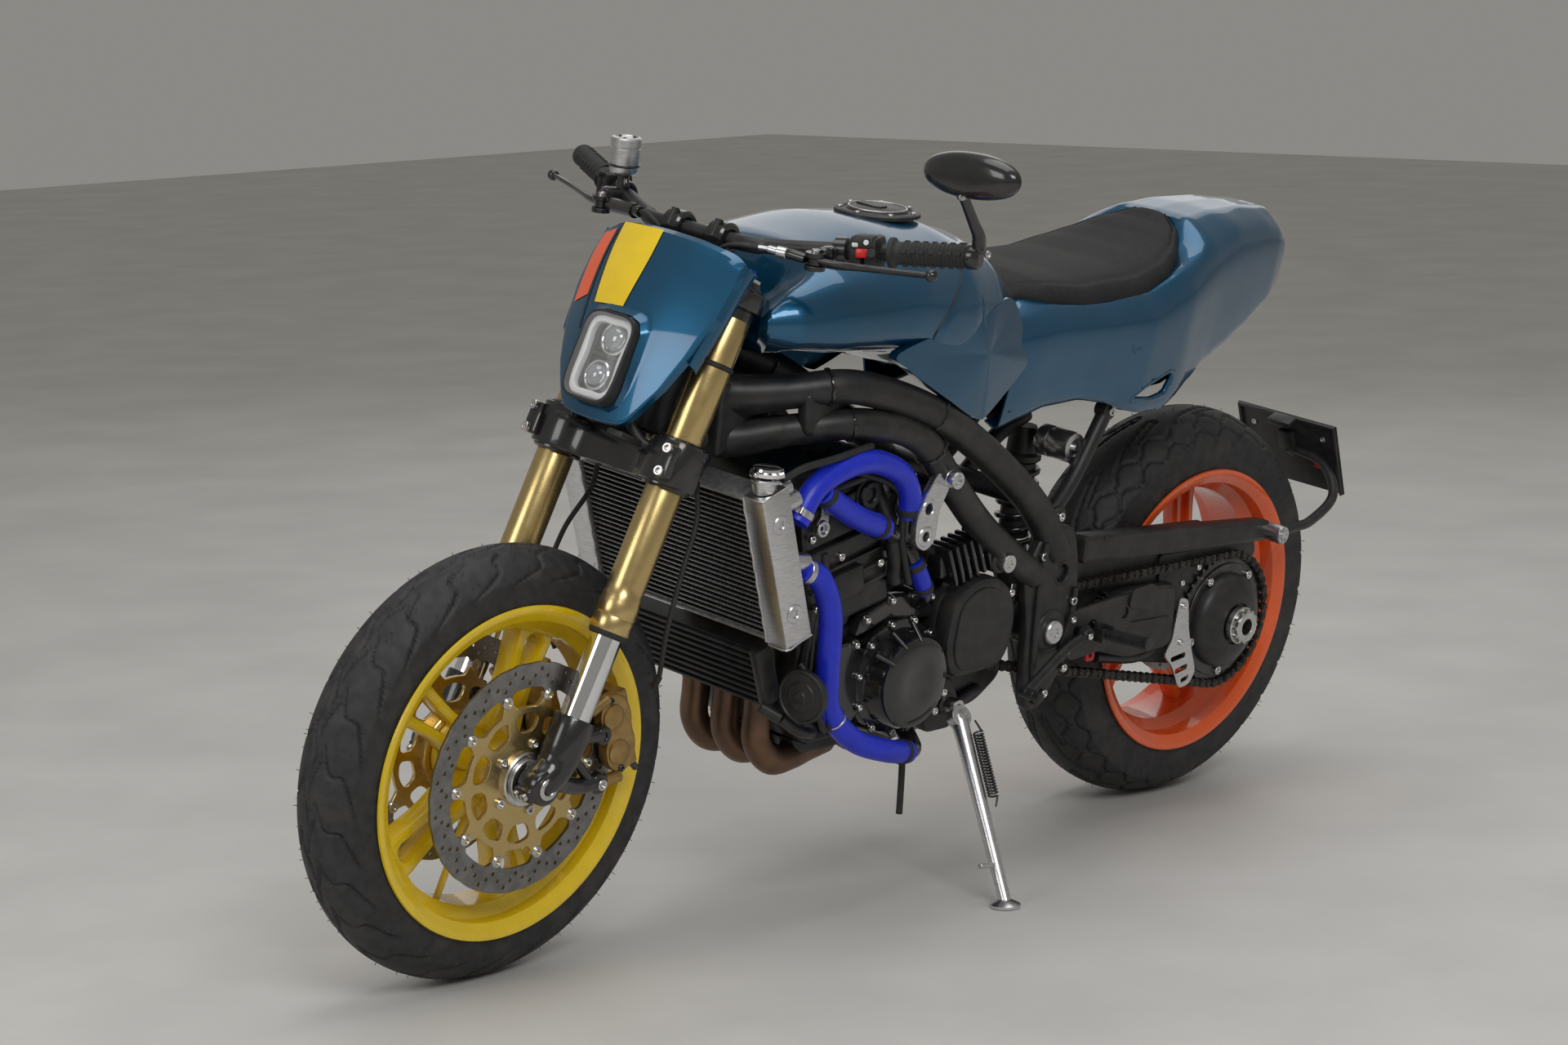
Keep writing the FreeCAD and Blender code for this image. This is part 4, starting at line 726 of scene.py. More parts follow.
def curved_spoke(start, sweep, offset, wide, near=56, far=200, steps=14):
    """The outline of a blade that curves as it runs out to the rim."""
    left, right = [], []
    for k in range(steps + 1):
        t = k / steps
        radius = near + (far - near) * t
        angle = start + sweep * (1 - (1 - t) ** 2) + offset / radius
        half = wide * (0.5 + 0.12 * abs(2 * t - 1) ** 2)
        middle = Vector((radius * math.cos(angle), radius * math.sin(angle)))
        along = Vector((math.cos(angle + sweep * 0.6), math.sin(angle + sweep * 0.6)))
        across = Vector((-along.y, along.x)) * half
        left.append(tuple(middle + across))
        right.append(tuple(middle - across))
    return left + right[::-1]


def rear_wheel():
    tyre("rear_tyre_grooved", "rear_wheel", REAR_WHEEL, 222, 96, 73.6, rear_lines(), 820, 120, "rear_tyre")
    rim = barrel(Piece("rear_rim_cast", "orange_paint", "rear_wheel", REAR_WHEEL), 80)
    for index in range(5):
        turn = 2 * math.pi / 5 * index + 0.3
        for offset in (-16, 16):
            rim.plate(curved_spoke(turn, 0.5, offset, 17), 28, spoke_matrix(0, -4), bevel=5)
    rim.ring((0, 0, 0), (0, 0, 1), 66, 25, -34, 30, edge=5)
    rim.done("rear_rim")
    axle = Piece("rear_axle", "machined_steel", "rear_wheel", REAR_WHEEL)
    axle.ring((0, 0, 0), (0, 0, 1), 25, 13, -34, 182, edge=1.5)
    axle.ring((0, 0, 0), (0, 0, 1), 30, 24, 160, 172, edge=1.5)
    for index in range(12):
        angle = 2 * math.pi * index / 12
        axle.rod((25 * math.cos(angle), 25 * math.sin(angle), 172),
                 (25 * math.cos(angle), 25 * math.sin(angle), 180), 3)
    axle.done(slot="steel")
    disc = Piece("rear_rotor", "ground_steel", "rear_wheel", REAR_WHEEL)
    holes = [(r * math.cos(2 * math.pi * (k + s) / 22), r * math.sin(2 * math.pi * (k + s) / 22), 2.6)
             for k in range(22) for r, s in ((84, 0), (93, 0.35), (101, 0.7))]
    disc.plate(circle(110, 120), 5, spoke_matrix(0, 35), holes=holes + [circle(60, 60)], bevel=0.5)
    disc.done()
    sprocket()


def sprocket():
    """Toothed ring with bolts, and the black domed hub over it."""
    wheel = Piece("rear_sprocket_toothed", "dark_steel", "rear_wheel", REAR_WHEEL)
    outline = []
    for index in range(42):
        for part, radius in ((0, 101.5), (0.2, 102), (0.38, 109), (0.5, 110.5), (0.62, 109), (0.8, 102)):
            angle = 2 * math.pi * (index + part) / 42
            outline.append((radius * math.cos(angle), radius * math.sin(angle)))
    holes = [(86 * math.cos(a), 86 * math.sin(a), 4) for a in (2 * math.pi * (k + 0.5) / 15
                                                               for k in range(15))]
    wheel.plate(outline, 6, spoke_matrix(0, 125), holes=holes + [circle(66, 60)], bevel=0.8)
    wheel.ring((0, 0, 0), (0, 0, 1), 92, 76, 128, 131, edge=0.8, steps=90)
    wheel.done("rear_sprocket")
    bolts = Piece("sprocket_bolts", "machined_steel", "rear_wheel", REAR_WHEEL)
    for k in range(5):
        angle = 2 * math.pi * k / 5 + 0.3
        bolts.bolt((84 * math.cos(angle), 84 * math.sin(angle), 131), (0, 0, 1), 7, 6)
    bolts.done()
    dome = Piece("sprocket_dome", "black_satin", "rear_wheel", REAR_WHEEL)
    dome.lathe([(25.5, 122), (74, 122), (77, 126), (76, 140), (70, 148), (52, 157), (40, 160), (34, 160.5),
                (33, 156), (27, 156)], steps=96)
    for index in range(6):
        angle = 2 * math.pi * index / 6 + 0.2
        pad = rounded([(44, -13), (68, -17), (68, 17), (44, 13)], 5)
        tilt = Matrix.Rotation(angle, 4, "Z") @ Matrix.Translation((0, 0,
                                                                    164.5)) @ Matrix.Rotation(0.42, 4, "Y")
        dome.plate(pad, 4, tilt @ Matrix.Translation((-3, 0, -10)), bevel=1.4)
    dome.done()


# ---------------------------------------------------------------- fork, in the fork frame
UPWARD = (0, 0, 1)


def leg(side, u):
    return Vector((-18, side * 107, u))


def fork():
    for side, name in ((LEFT, "left"), (RIGHT, "right")):
        foot = leg(side, 0)
        gold = Piece(f"fork_outer_{name}", "gold_anodised", "steering", FORK)
        gold.lathe([(21.7, 224), (27.4, 222), (28.3, 224), (28.3, 240), (27.2, 243), (28.3, 246), (28.3, 262),
                    (27, 267), (27, 273), (25.6, 276), (26, 286), (26,
                                                                   424), (25.4, 426), (25.4, 492), (26, 494),
                    (26, 668), (24.6, 672), (24.6, 680)], foot, UPWARD, 64)
        gold.done(f"fork_tube_{name}", slot="gold_anodised")
        rubber = Piece(f"fork_seal_{name}", "black_rubber", "steering", FORK)
        rubber.lathe([(21.7, 214), (25, 214.5), (26.5, 217), (27.3, 222), (21.7, 224)], foot, UPWARD, 48)
        rubber.ring(foot, UPWARD, 28.2, 25.4, 598, 605, edge=2)
        rubber.done()
        top = Piece(f"fork_cap_{name}", "black_gloss", "steering", FORK)
        top.lathe([(25.2, 668), (26.6, 669), (26.6, 682), (25, 684), (25, 712), (24, 716), (22, 717),
                   (21, 722), (15, 724)],
                  foot, UPWARD, 48)
        top.done()
        ring = Piece(f"fork_cap_ring_{name}", "machined_steel", "steering", FORK)
        ring.lathe([(12, 723), (19, 723), (19, 727), (14, 728), (12, 728)], foot, UPWARD, 6, closed=True)
        ring.ring(foot, UPWARD, 25.6, 24, 684, 689, edge=0.6)
        ring.done()
        knob = Piece(f"fork_adjuster_{name}", "blue_anodised", "steering", FORK)
        knob.lathe([(0, 727), (12, 727), (12, 733), (9, 735), (9, 738), (0, 738)], foot, UPWARD, 24)
        for k in range(8):
            angle = math.pi * k / 4
            knob.rod(foot + Vector((11.5 * math.cos(angle), 11.5 * math.sin(angle), 727)),
                     foot + Vector((11.5 * math.cos(angle), 11.5 * math.sin(angle), 732)), 1.2)
        knob.done()
        stanchion = Piece(f"stanchion_{name}_polished", "chrome", "fork_lower", FORK)
        stanchion.lathe([(0, 96), (21.5, 96), (21.5, 596), (20.6, 600), (0, 600)], foot, UPWARD, 64)
        stanchion.done(f"stanchion_{name}", slot="chrome")
        fork_foot(side, name)
        caliper(side, name)
    axle = Piece("front_axle_turned", "machined_steel", "fork_lower", FORK)
    axle.ring((0, 0, 0), (0, 1, 0), 12, 8, -127, 127, edge=1.2)
    for side in SIDES:
        axle.ring((0, 0, 0), (0, side, 0), 17, 11.9, 77, 92, edge=1)
        axle.ring((0, 0, 0), (0, side, 0), 15.5, 8.4, 124, 129, edge=1)
    axle.done("front_axle", slot="steel")


def fork_foot(side, name):
    """Gloss black casting: socket, axle clamp, and two arms back to the caliper."""
    item = Piece(f"fork_foot_{name}_cast", "black_gloss", "fork_lower", FORK, angle=50)
    foot = leg(side, 0)
    item.lathe([(21.6, 94), (24, 99.5), (27, 100), (28.4, 97), (28.6, 60), (27, 40), (21, 18), (0, 8)],
               foot, UPWARD, 48)
    y = side * 107
    item.tube([(-18, y, 46), (-14, y, 26), (-3, y, 6), (2, y, -6)], 22, steps=24, radii=[27, 26, 25, 21])
    item.ring((0, 0, 0), (0, side, 0), 24.5, 12.2, 90, 126, edge=3)
    item.box((16, y, -16), (22, 30, 14), Matrix.Rotation(-0.7, 4, "Y"), 4)
    out = side * 99
    item.tube([(-26, out + side * 4, 76), (-52, out + side * 2, 80), (-84, out - side * 2, 90)], 11,
              steps=18, radii=[17, 11, 12])
    item.tube([(-18, out + side * 4, 20), (-48, out + side * 2, 12), (-82, out, 16),
               (-110, out - side * 2, 28)], 12, steps=18,
              radii=[22, 13, 11, 14])
    item.tube([(-34, out + side * 2, 64), (-62, out, 44), (-92, out, 30)], 7, steps=14)
    item.ring((-112, 0, 28), (0, side, 0), 15, 5, 88, 108, edge=2)
    item.ring((-86, 0, 90), (0, side, 0), 13, 5, 88, 108, edge=2)
    item.done(f"fork_foot_{name}")
    bolts = Piece(f"fork_foot_bolts_{name}", "machined_steel", "fork_lower", FORK)
    bolts.bolt((24, y + side * 8, -20), (1, 0, -0.8), 5.5, 5)
    bolts.bolt((24, y - side * 8, -20), (1, 0, -0.8), 5.5, 5)
    bolts.bolt((-112, side * 108, 28), (0, side, 0), 8, 5)
    bolts.done()


def caliper(side, name):
    """Four-piston caliper: two scalloped halves, a bridge with a window, and its bolts."""
    angle = math.atan2(108, -127)
    out = Vector((math.cos(angle), 0, math.sin(angle)))
    along = Vector((math.sin(angle), 0, -math.cos(angle)))
    frame_axes = Matrix((along, out, Vector((0, side, 0)))).transposed().to_4x4()
    item = Piece(f"caliper_{name}_cast", "gold_cast", "fork_lower", FORK, angle=40)
    outline = rounded([(-60, 160), (-54, 138), (-36, 128), (-12, 130), (0, 138), (12, 130), (36, 128),
                       (54, 138),
                       (60, 160), (48, 178), (20, 184), (0, 180), (-20, 184), (-48, 178)], 12)
    for low, high in ((50, 67), (81, 99)):
        item.plate(outline, high - low, frame_axes @ Matrix.Translation((0, 0, (low + high) / 2)), bevel=3)
    for where in (-46, 46):
        item.box(frame_axes @ Vector((where, 172, 75)), (22, 18, 46), frame_axes, 3)
    item.box(frame_axes @ Vector((0, 176, 75)), (16, 12, 46), frame_axes, 3)
    for where in (-27, 27):
        item.lathe([(0, 103), (14, 103), (18, 101), (19, 96), (19, 90)], frame_axes @ Vector((where, 150, 0)),
                   frame_axes.to_3x3() @ Vector((0, 0, 1)), 32)
    for where in (-62, 58):
        item.rod(frame_axes @ Vector((where, 146, 97)), frame_axes @ Vector((where * 0.9, 112, 97)), 8.5)
    item.done(f"caliper_{name}")
    bolts = Piece(f"caliper_bolts_{name}", "black_gloss", "fork_lower", FORK)
    across = Vector((0, side, 0))
    for where, far in ((-50, 172), (-18, 181), (18, 181), (50, 172)):
        bolts.bolt(frame_axes @ Vector((where, far, 82)), frame_axes.to_3x3() @ Vector((0, 1, 0)), 5, 5)
    bolts.rod(frame_axes @ Vector((-57, 176, 88)), frame_axes @ Vector((-72, 184, 88)), 5)
    for where in (-52, 52):
        bolts.bolt(frame_axes @ Vector((where, 150, 98)), across, 5, 4)
    bolts.done()
    pads = Piece(f"brake_pads_{name}", "dark_steel", "fork_lower", FORK)
    for low, high in ((68, 70), (77, 79.5)):
        pads.plate(rounded([(-46, 132), (46, 132), (46, 168), (-46, 168)], 6), high - low,
                   frame_axes @ Matrix.Translation((0, 0, (low + high) / 2)), bevel=0.4)
    pads.done()


def clamps():
    """Gloss black lower and upper fork clamps with their pinch bolts."""
    outline_low = rounded([(-66, -66), (-62, -120), (-44, -142), (4, -142), (20, -122), (18, -84), (0, -60),
                           (-2, 60),
                           (18, 84), (20, 122), (4, 142), (-44, 142), (-62, 120), (-66, 66)], 18)
    outline_top = rounded([(-68, -40), (-52, -122), (-36, -138), (2, -138), (16, -120), (12, -84),
                           (-8, -50), (-8, 50),
                           (12, 84), (16, 120), (2, 138), (-36, 138), (-52, 122), (-68, 40)], 16)
    for name, outline, low, high, bore in (("lower", outline_low, 429, 488, 26.2),
                                           ("upper", outline_top, 684, 710, 25.2)):
        item = Piece(f"{name}_clamp_cast", "black_gloss", "steering", FORK)
        holes = [(-18, side * 107, bore) for side in SIDES]
        item.plate(outline, high - low, Matrix.Translation((0, 0, (low + high) / 2)), holes=holes, bevel=3)
        if name == "lower":
            for side in SIDES:
                item.ring((-18, side * 107, 0), UPWARD, 34, 26.2, 424, 492, edge=2.5)
                item.box((20, side * 128, 458), (16, 24, 46), None, 4)
            item.rod((-41, 0, 436), (-41, 0, 700), 14)
        else:
            item.rod((-41, 0, 700), (-41, 0, 722), 20, steps=6)
            for side in SIDES:
                riser(item, side)
        item.done(f"{name}_clamp")
    bolts = Piece("clamp_bolts", "machined_steel", "steering", FORK)
    for side in SIDES:
        for u in (442, 474):
            bolts.bolt((28, side * 130, u), (1, side * 0.2, 0), 7, 6)
        bolts.bolt((16, side * 124, 697), (1, side * 0.4, 0), 6, 5)
    bolts.rod((-41, 0, 718), (-41, 0, 726), 15)
    bolts.done()


def riser(item, side):
    """Bar riser with its split clamp and two caps."""
    bar = BAR_IN_FORK
    y = side * 42
    item.rod((bar.x - 6, y, 706), (bar.x, y, bar.z - 8), 17, tip=16)
    item.ring((bar.x, y, bar.z), (0, 1, 0), 22, 11, -16, 16, edge=3)
    for way in (-1, 1):
        item.rod((bar.x + way * 17, y, bar.z - 6), (bar.x + way * 17, y, bar.z + 20), 6)


BAR = [(1116, 0, 1000), (1116, 85, 1000), (1092, 140, 1003), (985, 380, 1030)]
BAR_IN_FORK = FORK.inverted() @ BIKE @ Vector(BAR[0])


# ---------------------------------------------------------------- front cowl and headlight, in the fork frame
def cowl_front(y, u):
    """How far ahead of the fork the cowl's face lies."""
    return 66 - 0.0017 * y * y - 0.00075 * (u - 600) ** 2


COWL = [(0, 750), (60, 749), (112, 744), (130, 736), (136, 700), (134, 655), (120, 600), (98, 545), (78, 512),
        (66, 494), (56, 484), (30, 480), (0, 479)]
LIGHT = [(0, 620), (24, 620), (40, 615), (47, 602), (48, 560), (47, 524), (42, 503), (30, 495), (0, 494)]


def both_halves(half):
    return half + [(-y, u) for y, u in reversed(half[1:-1])]


def spread(outline, count):
    """Points at even steps round a closed outline."""
    loop = [Vector((*p, 0)) for p in outline] + [Vector((*outline[0], 0))]
    lengths = np.cumsum([0] + [(b - a).length for a, b in zip(loop, loop[1:])])
    out = []
    for where in np.linspace(0, lengths[-1], count, endpoint=False):
        k = int(np.searchsorted(lengths, where, side="right")) - 1
        k = min(k, len(loop) - 2)
        t = (where - lengths[k]) / max(1e-6, lengths[k + 1] - lengths[k])
        point = loop[k].lerp(loop[k + 1], t)
        out.append((point.x, point.y))
    return out


def cowl_panel(item, inner, outer, rings, lift, count=120):
    """A bent sheet between two outlines, its edges rolled back."""
    a, b = spread(inner, count), spread(outer, count)
    rows = []
    for k in range(rings + 1):
        t = k / rings
        row = []
        for (y0, u0), (y1, u1) in zip(a, b):
            y, u = y0 + (y1 - y0) * t, u0 + (u1 - u0) * t
            roll = -7 * max(0, (t - 0.94) / 0.06) ** 2 + 9 * max(0, (0.10 - t) / 0.10) ** 1.5
            row.append((cowl_front(y, u) + lift + roll, y, u))
        rows.append(row)
    return item.grid(rows, close_columns=True)


def patch(name, finish, corners, lift, shrink=10):
    """A painted area that follows the cowl, a hair's breadth in front of it."""
    item = Piece(name, finish, "steering", FORK)
    left = smooth_path([Vector((*p, 0)) for p in corners[0]], shrink)
    right = smooth_path([Vector((*p, 0)) for p in corners[1]], shrink)
    rows = []
    for a, b in zip(left, right):
        row = []
        for k in range(13):
            point = a.lerp(b, k / 12)
            row.append((cowl_front(point.x, point.y) + lift, point.x, point.y))
        rows.append(row)
    item.grid(rows).done(slot="blue_paint")


def front_cowl():
    shell = Piece("front_cowl_shell", "blue_paint", "steering", FORK, angle=30)
    cowl_panel(shell, both_halves(LIGHT), both_halves(COWL), 22, 0)
    for side in SIDES:
        rows = []
        for k in range(9):
            t = k / 8
            u = 736 - 150 * t
            y = side * (130 + 4 * t - 14 * t * t)
            front = cowl_front(y, u) - 1
            depth = 26 * (1 - 0.4 * t)
            rows.append([(front - depth * s, y + side * 3 * math.sin(math.pi * s), u - 8 * s)
                         for s in (0, .2, .4, .6, .8, 1)])
        shell.grid(rows)
    shell.done("front_cowl", thicken=-3, slot="blue_paint")
    patch("cowl_yellow", "patch_yellow", ([(-86, 747), (-80, 700), (-64, 628)],
                                          [(0, 748), (2, 700), (-4, 632)]), 4.2)
    patch("cowl_orange", "patch_orange", ([(-124, 726), (-127, 690), (-116, 622)],
                                          [(-97, 736), (-95, 690), (-88, 636)]), 4.2)
    for name, line in (("a", [(-88, 747), (-83, 700), (-66, 628)]),
                       ("b", [(-94, 743), (-93, 690), (-76, 588)])):
        edge = Piece(f"cowl_stripe_{name}", "black_gloss", "steering", FORK)
        points = smooth_path([Vector((*p, 0)) for p in line], 10)
        rows = [[(cowl_front(p.x + w, p.y) + 4.5, p.x + w, p.y) for w in (-1.6, 1.6)] for p in points]
        edge.grid(rows).done(slot="black_gloss")
    headlight()


def light_band(item, outline, inner, v, deep, bevel=1.5):
    """A flat band across the fork between two outlines."""
    turn = Matrix(((0, 0, 1, v), (1, 0, 0, 0), (0, 1, 0, 0), (0, 0, 0, 1)))
    item.plate(outline, deep, turn, holes=[inner] if inner else (), bevel=bevel)


def scaled(outline, amount, centre=(0, 558)):
    """An outline moved in towards its centre by so many millimetres."""
    out = []
    for y, u in outline:
        away = Vector((y - centre[0], u - centre[1]))
        away *= max(0, away.length - amount) / away.length
        out.append((away.x + centre[0], away.y + centre[1]))
    return out


def headlight():
    """Black housing with two projectors behind a clear lens, inside a pale horseshoe of light guide."""
    full = rounded(both_halves(LIGHT), 10, 3)
    body = Piece("headlight_housing", "black_plastic", "steering", FORK)
    light_band(body, scaled(full, 1), None, 34, 28, 4)
    light_band(body, scaled(full, 0), scaled(full, 6), 62, 44)
    light_band(body, scaled(full, 18), None, 56, 6)
    for u, half in ((590, 26), (534, 24)):
        body.box((60, 0, u), (12, half * 2, 46), None, 3)
    for y in (-34, 34):
        body.box((64, y * 0.86, 562), (10, 7, 96), None, 2)
    for u in (508, 562, 612):
        body.box((66, 0, u), (8, 58, 5), None, 1.5)
    body.done("headlight", slot="black_plastic")
    guide = Piece("light_guide", "light_strip", "steering", FORK)
    light_band(guide, scaled(full, 6.5), scaled(full, 17), 72, 12, 2.5)
    guide.done(slot="black_plastic")
    for name, y, u, radius in (("high", 4, 588, 21), ("low", -4, 534, 18)):
        ring = Piece(f"projector_ring_{name}", "chrome", "steering", FORK)
        ring.ring((62, y, u), (1, 0, 0), radius + 4, radius - 1, -4, 8, edge=1.5)
        ring.lathe([(radius - 1, 2), (radius - 5, -3), (8, -6), (0, -6)], (62, y, u), (1, 0, 0), 40)
        ring.done(slot="chrome")
        lens = Piece(f"projector_lens_{name}", "projector_glass", "steering", FORK)
        lens.lathe([(radius - 2, 3), (radius - 3, 8), (radius * 0.7, 13), (radius * 0.4, 16), (0, 17)],
                   (62, y, u),
                   (1, 0, 0), 40)
        lens.done(slot="black_plastic")
    cover = Piece("headlight_lens", "clear_lens", "steering", FORK)
    outer = spread(scaled(full, 4), 80)
    rows = []
    for k in range(11):
        t = 1 - k / 10
        rows.append([(84 + 9 * (1 - t ** 3), y * t, 558 + (u - 558) * t) for y, u in outer])
    cover.grid(rows, close_columns=True).done(slot="black_plastic", weld=True)
    bracket = Piece("light_bracket", "black_satin", "steering", FORK)
    for side in SIDES:
        bracket.tube([(34, side * 38, 500), (14, side * 58, 476), (0, side * 70, 470)], 7)
        bracket.tube([(40, side * 60, 640), (20, side * 84, 664), (-4, side * 92, 686)], 6)
        bracket.box((30, side * 52, 470), (50, 30, 8), None, 3)
    bracket.done(slot="black_satin")


# ---------------------------------------------------------------- handlebar and controls, in the bike frame
def along_bar(side, distance):
    """A point on the straight outer part of the bar, so far in from its end."""
    inner, end = Vector(BAR[-2]), Vector(BAR[-1])
    place = end + (inner - end).normalized() * distance
    return Vector((place.x, side * place.y, place.z))


def bar_axis(side):
    return (along_bar(side, 100) - along_bar(side, 0)).normalized()


def bar_frame(side, distance):
    """Axes at a place on the bar: Z in along it, X ahead, Y up."""
    inward = bar_axis(side)
    up = (Z - inward * inward.z).normalized()
    ahead = up.cross(inward) * (1 if up.cross(inward).x > 0 else -1)
    return Matrix.Translation(along_bar(side, distance)) @ Matrix((ahead, up, inward)).transposed().to_4x4()


def handlebar():
    bar = Piece("handlebar_bent", "black_satin", "steering")
    left = [Vector(p) for p in BAR[1:]]
    path = []
    for side, points in ((RIGHT, left[::-1]), (LEFT, left)):
        for a, b in zip(points, points[1:]):
            count = max(2, int((b - a).length / 30))
            path += [Vector((p.x, side * p.y, p.z)) for p in (a.lerp(b, k / count) for k in range(count))]
        path.append(Vector((points[-1].x, side * points[-1].y, points[-1].z)))
    bar.tube(path, 11, steps=24, smooth=4)
    bar.done("handlebar", slot="black_satin")
    grip("left_grip", LEFT, "steering")
    grip("throttle_grip", RIGHT, "throttle")
    left_pod()
    right_pod()
    lever(LEFT, "clutch_lever", "clutch")
    lever(RIGHT, "brake_lever", "front_brake")
    mirror()


def grip(node, side, body):
    """Rubber grip with raised ribs, a flange at its inner end and a rounded outer end."""
    item = Piece(node + "_ribbed", "black_rubber", body)
    place, inward = along_bar(side, 0), bar_axis(side)
    outline = [(11.1, 3), (15, 3), (16.4, 5), (16.4, 10), (15.4, 12)]
    for k in range(16):
        low = 14 + k * 5.6
        outline += [(15.0, low), (15.9, low + 0.9), (15.9, low + 3.0), (15.0, low + 3.9)]
    outline += [(15.4, 108), (16.4, 110), (20.5, 113), (21, 116), (20.5, 119), (15, 120), (11.1, 121)]
    item.lathe(outline, place, inward, 40)
    frame_axes = bar_frame(side, 0)
    for k in range(7):
        for angle in (0.3, 1.9, 3.5, 5.1):
            out = Vector((math.cos(angle), math.sin(angle), 0))
            item.box(frame_axes @ (out * 16 + Vector((0, 0, 22 + k * 12.5))), (3, 5, 7),
                     frame_axes.to_3x3().to_4x4() @ Matrix.Rotation(angle, 4, "Z"), 0.8)
    item.done(node, slot="rubber")


def left_pod():
    """Switch pod: two clamped halves, buttons, a red rocker, and the clutch perch."""
    at = bar_frame(LEFT, 150)
    turn = at.to_3x3().to_4x4()
    pod = Piece("left_pod", "black_plastic", "steering")
    for low, high in ((-20, -1), (1, 20)):
        pod.box(at @ Vector((4, 0, (low + high) / 2)), (48, 44, high - low), turn, 7, )
    pod.box(at @ Vector((16, 14, 0)), (26, 22, 34), turn, 6)
    pod.box(at @ Vector((-10, -20, 0)), (20, 10, 22), turn, 3)
    pod.rod(at @ Vector((26, 2, -14)), at @ Vector((38, 4, -16)), 6)
    pod.done(slot="black_plastic")
    parts = Piece("left_perch", "black_gloss", "steering")
    parts.ring(along_bar(LEFT, 186), bar_axis(LEFT), 18, 11, -10, 10, edge=2)
    parts.box(along_bar(LEFT, 186) + Vector((20, -4, -3)), (34, 20, 20), turn, 4)
    pivot = lever_pivot(LEFT)
    parts.rod(pivot + Vector((0, 0, -12)), pivot + Vector((0, 0, -5.6)), 14)
    parts.rod(pivot + Vector((0, 0, 5.6)), pivot + Vector((0, 0, 12)), 14)
    parts.tube([along_bar(LEFT, 188) + Vector((20, -4, -4)), pivot + Vector((-14, -10, 0)),
                pivot + Vector((-4, -14, 0))],
               9, flat=0.8)
    parts.tube([pivot + Vector((2, -16, 0)), pivot + Vector((6, -34, 2)), pivot + Vector((8, -44, 2))], 7)
    parts.done("left_controls", slot="black_gloss")
    rocker = Piece("rocker_red", "red_plastic", "steering" if "rocker" not in frame["bodies"] else "rocker")
    rocker.box(at @ Vector((27, 2, 0)), (7, 13, 17), turn @ Matrix.Rotation(0.12, 4, "Z"), 2.5)
    rocker.done("rocker_switch", slot="red_plastic")
    button = Piece("left_buttons", "light_strip", "steering")
    button.rod(at @ Vector((26, 16, -7)), at @ Vector((31, 17, -7)), 3.6)
    button.box(at @ Vector((27, 13, 9)), (6, 6, 9), turn, 1.5)
    button.done(slot="black_plastic")
    adjuster = Piece("clutch_adjuster", "brushed_aluminium", "steering")
    end = pivot + Vector((8, -44, 2))
    adjuster.rod(end, end + Vector((5, -14, 1)), 7.5, steps=12)
    adjuster.rod(end + Vector((5, -14, 1)), end + Vector((9, -26, 2)), 5)
    adjuster.rod(end + Vector((9, -26, 2)), end + Vector((14, -40, 2)), 3.2)
    adjuster.done(slot="bare_aluminium")
    cable = Piece("clutch_cable", "black_rubber", "steering")
    cable.tube([end + Vector((14, -40, 2)), end + Vector((30, -80, -2)), end + Vector((22, -120, -30)),
                end + Vector((-8, -126, -64))], 3.4)
    cable.done(slot="rubber")


def lever_pivot(side):
    return (along_bar(side, 176) + along_bar(side, 194)) * 0.5 + Vector((46, -side * 6, -12))


def lever(side, node, body):
    """Hand lever: a waisted blade with a ball end and a pivot bolt."""
    pivot = lever_pivot(side)
    item = Piece(node + "_forged", "black_gloss", body)
    route = [pivot + Vector(v) for v in ((0, 0, 0), (-6, side * 28, 0), (-18, side * 60, 2),
                                         (-32, side * 96, 4),
                                         (-52, side * 158, 8))]
    item.tube(route, 7, steps=16, flat=0.62, radii=[9, 8, 6.5, 6.2, 5.6])
    item.ball(route[-1], 8.5)
    item.rod(pivot + Vector((0, 0, -5)), pivot + Vector((0, 0, 5)), 10)
    item.done(node, slot="black_gloss")
    bolt = Piece(node + "_pivot", "machined_steel", "steering")
    bolt.bolt(pivot + Vector((0, 0, 12)), (0, 0, 1), 6, 4)
    bolt.done(slot="steel")


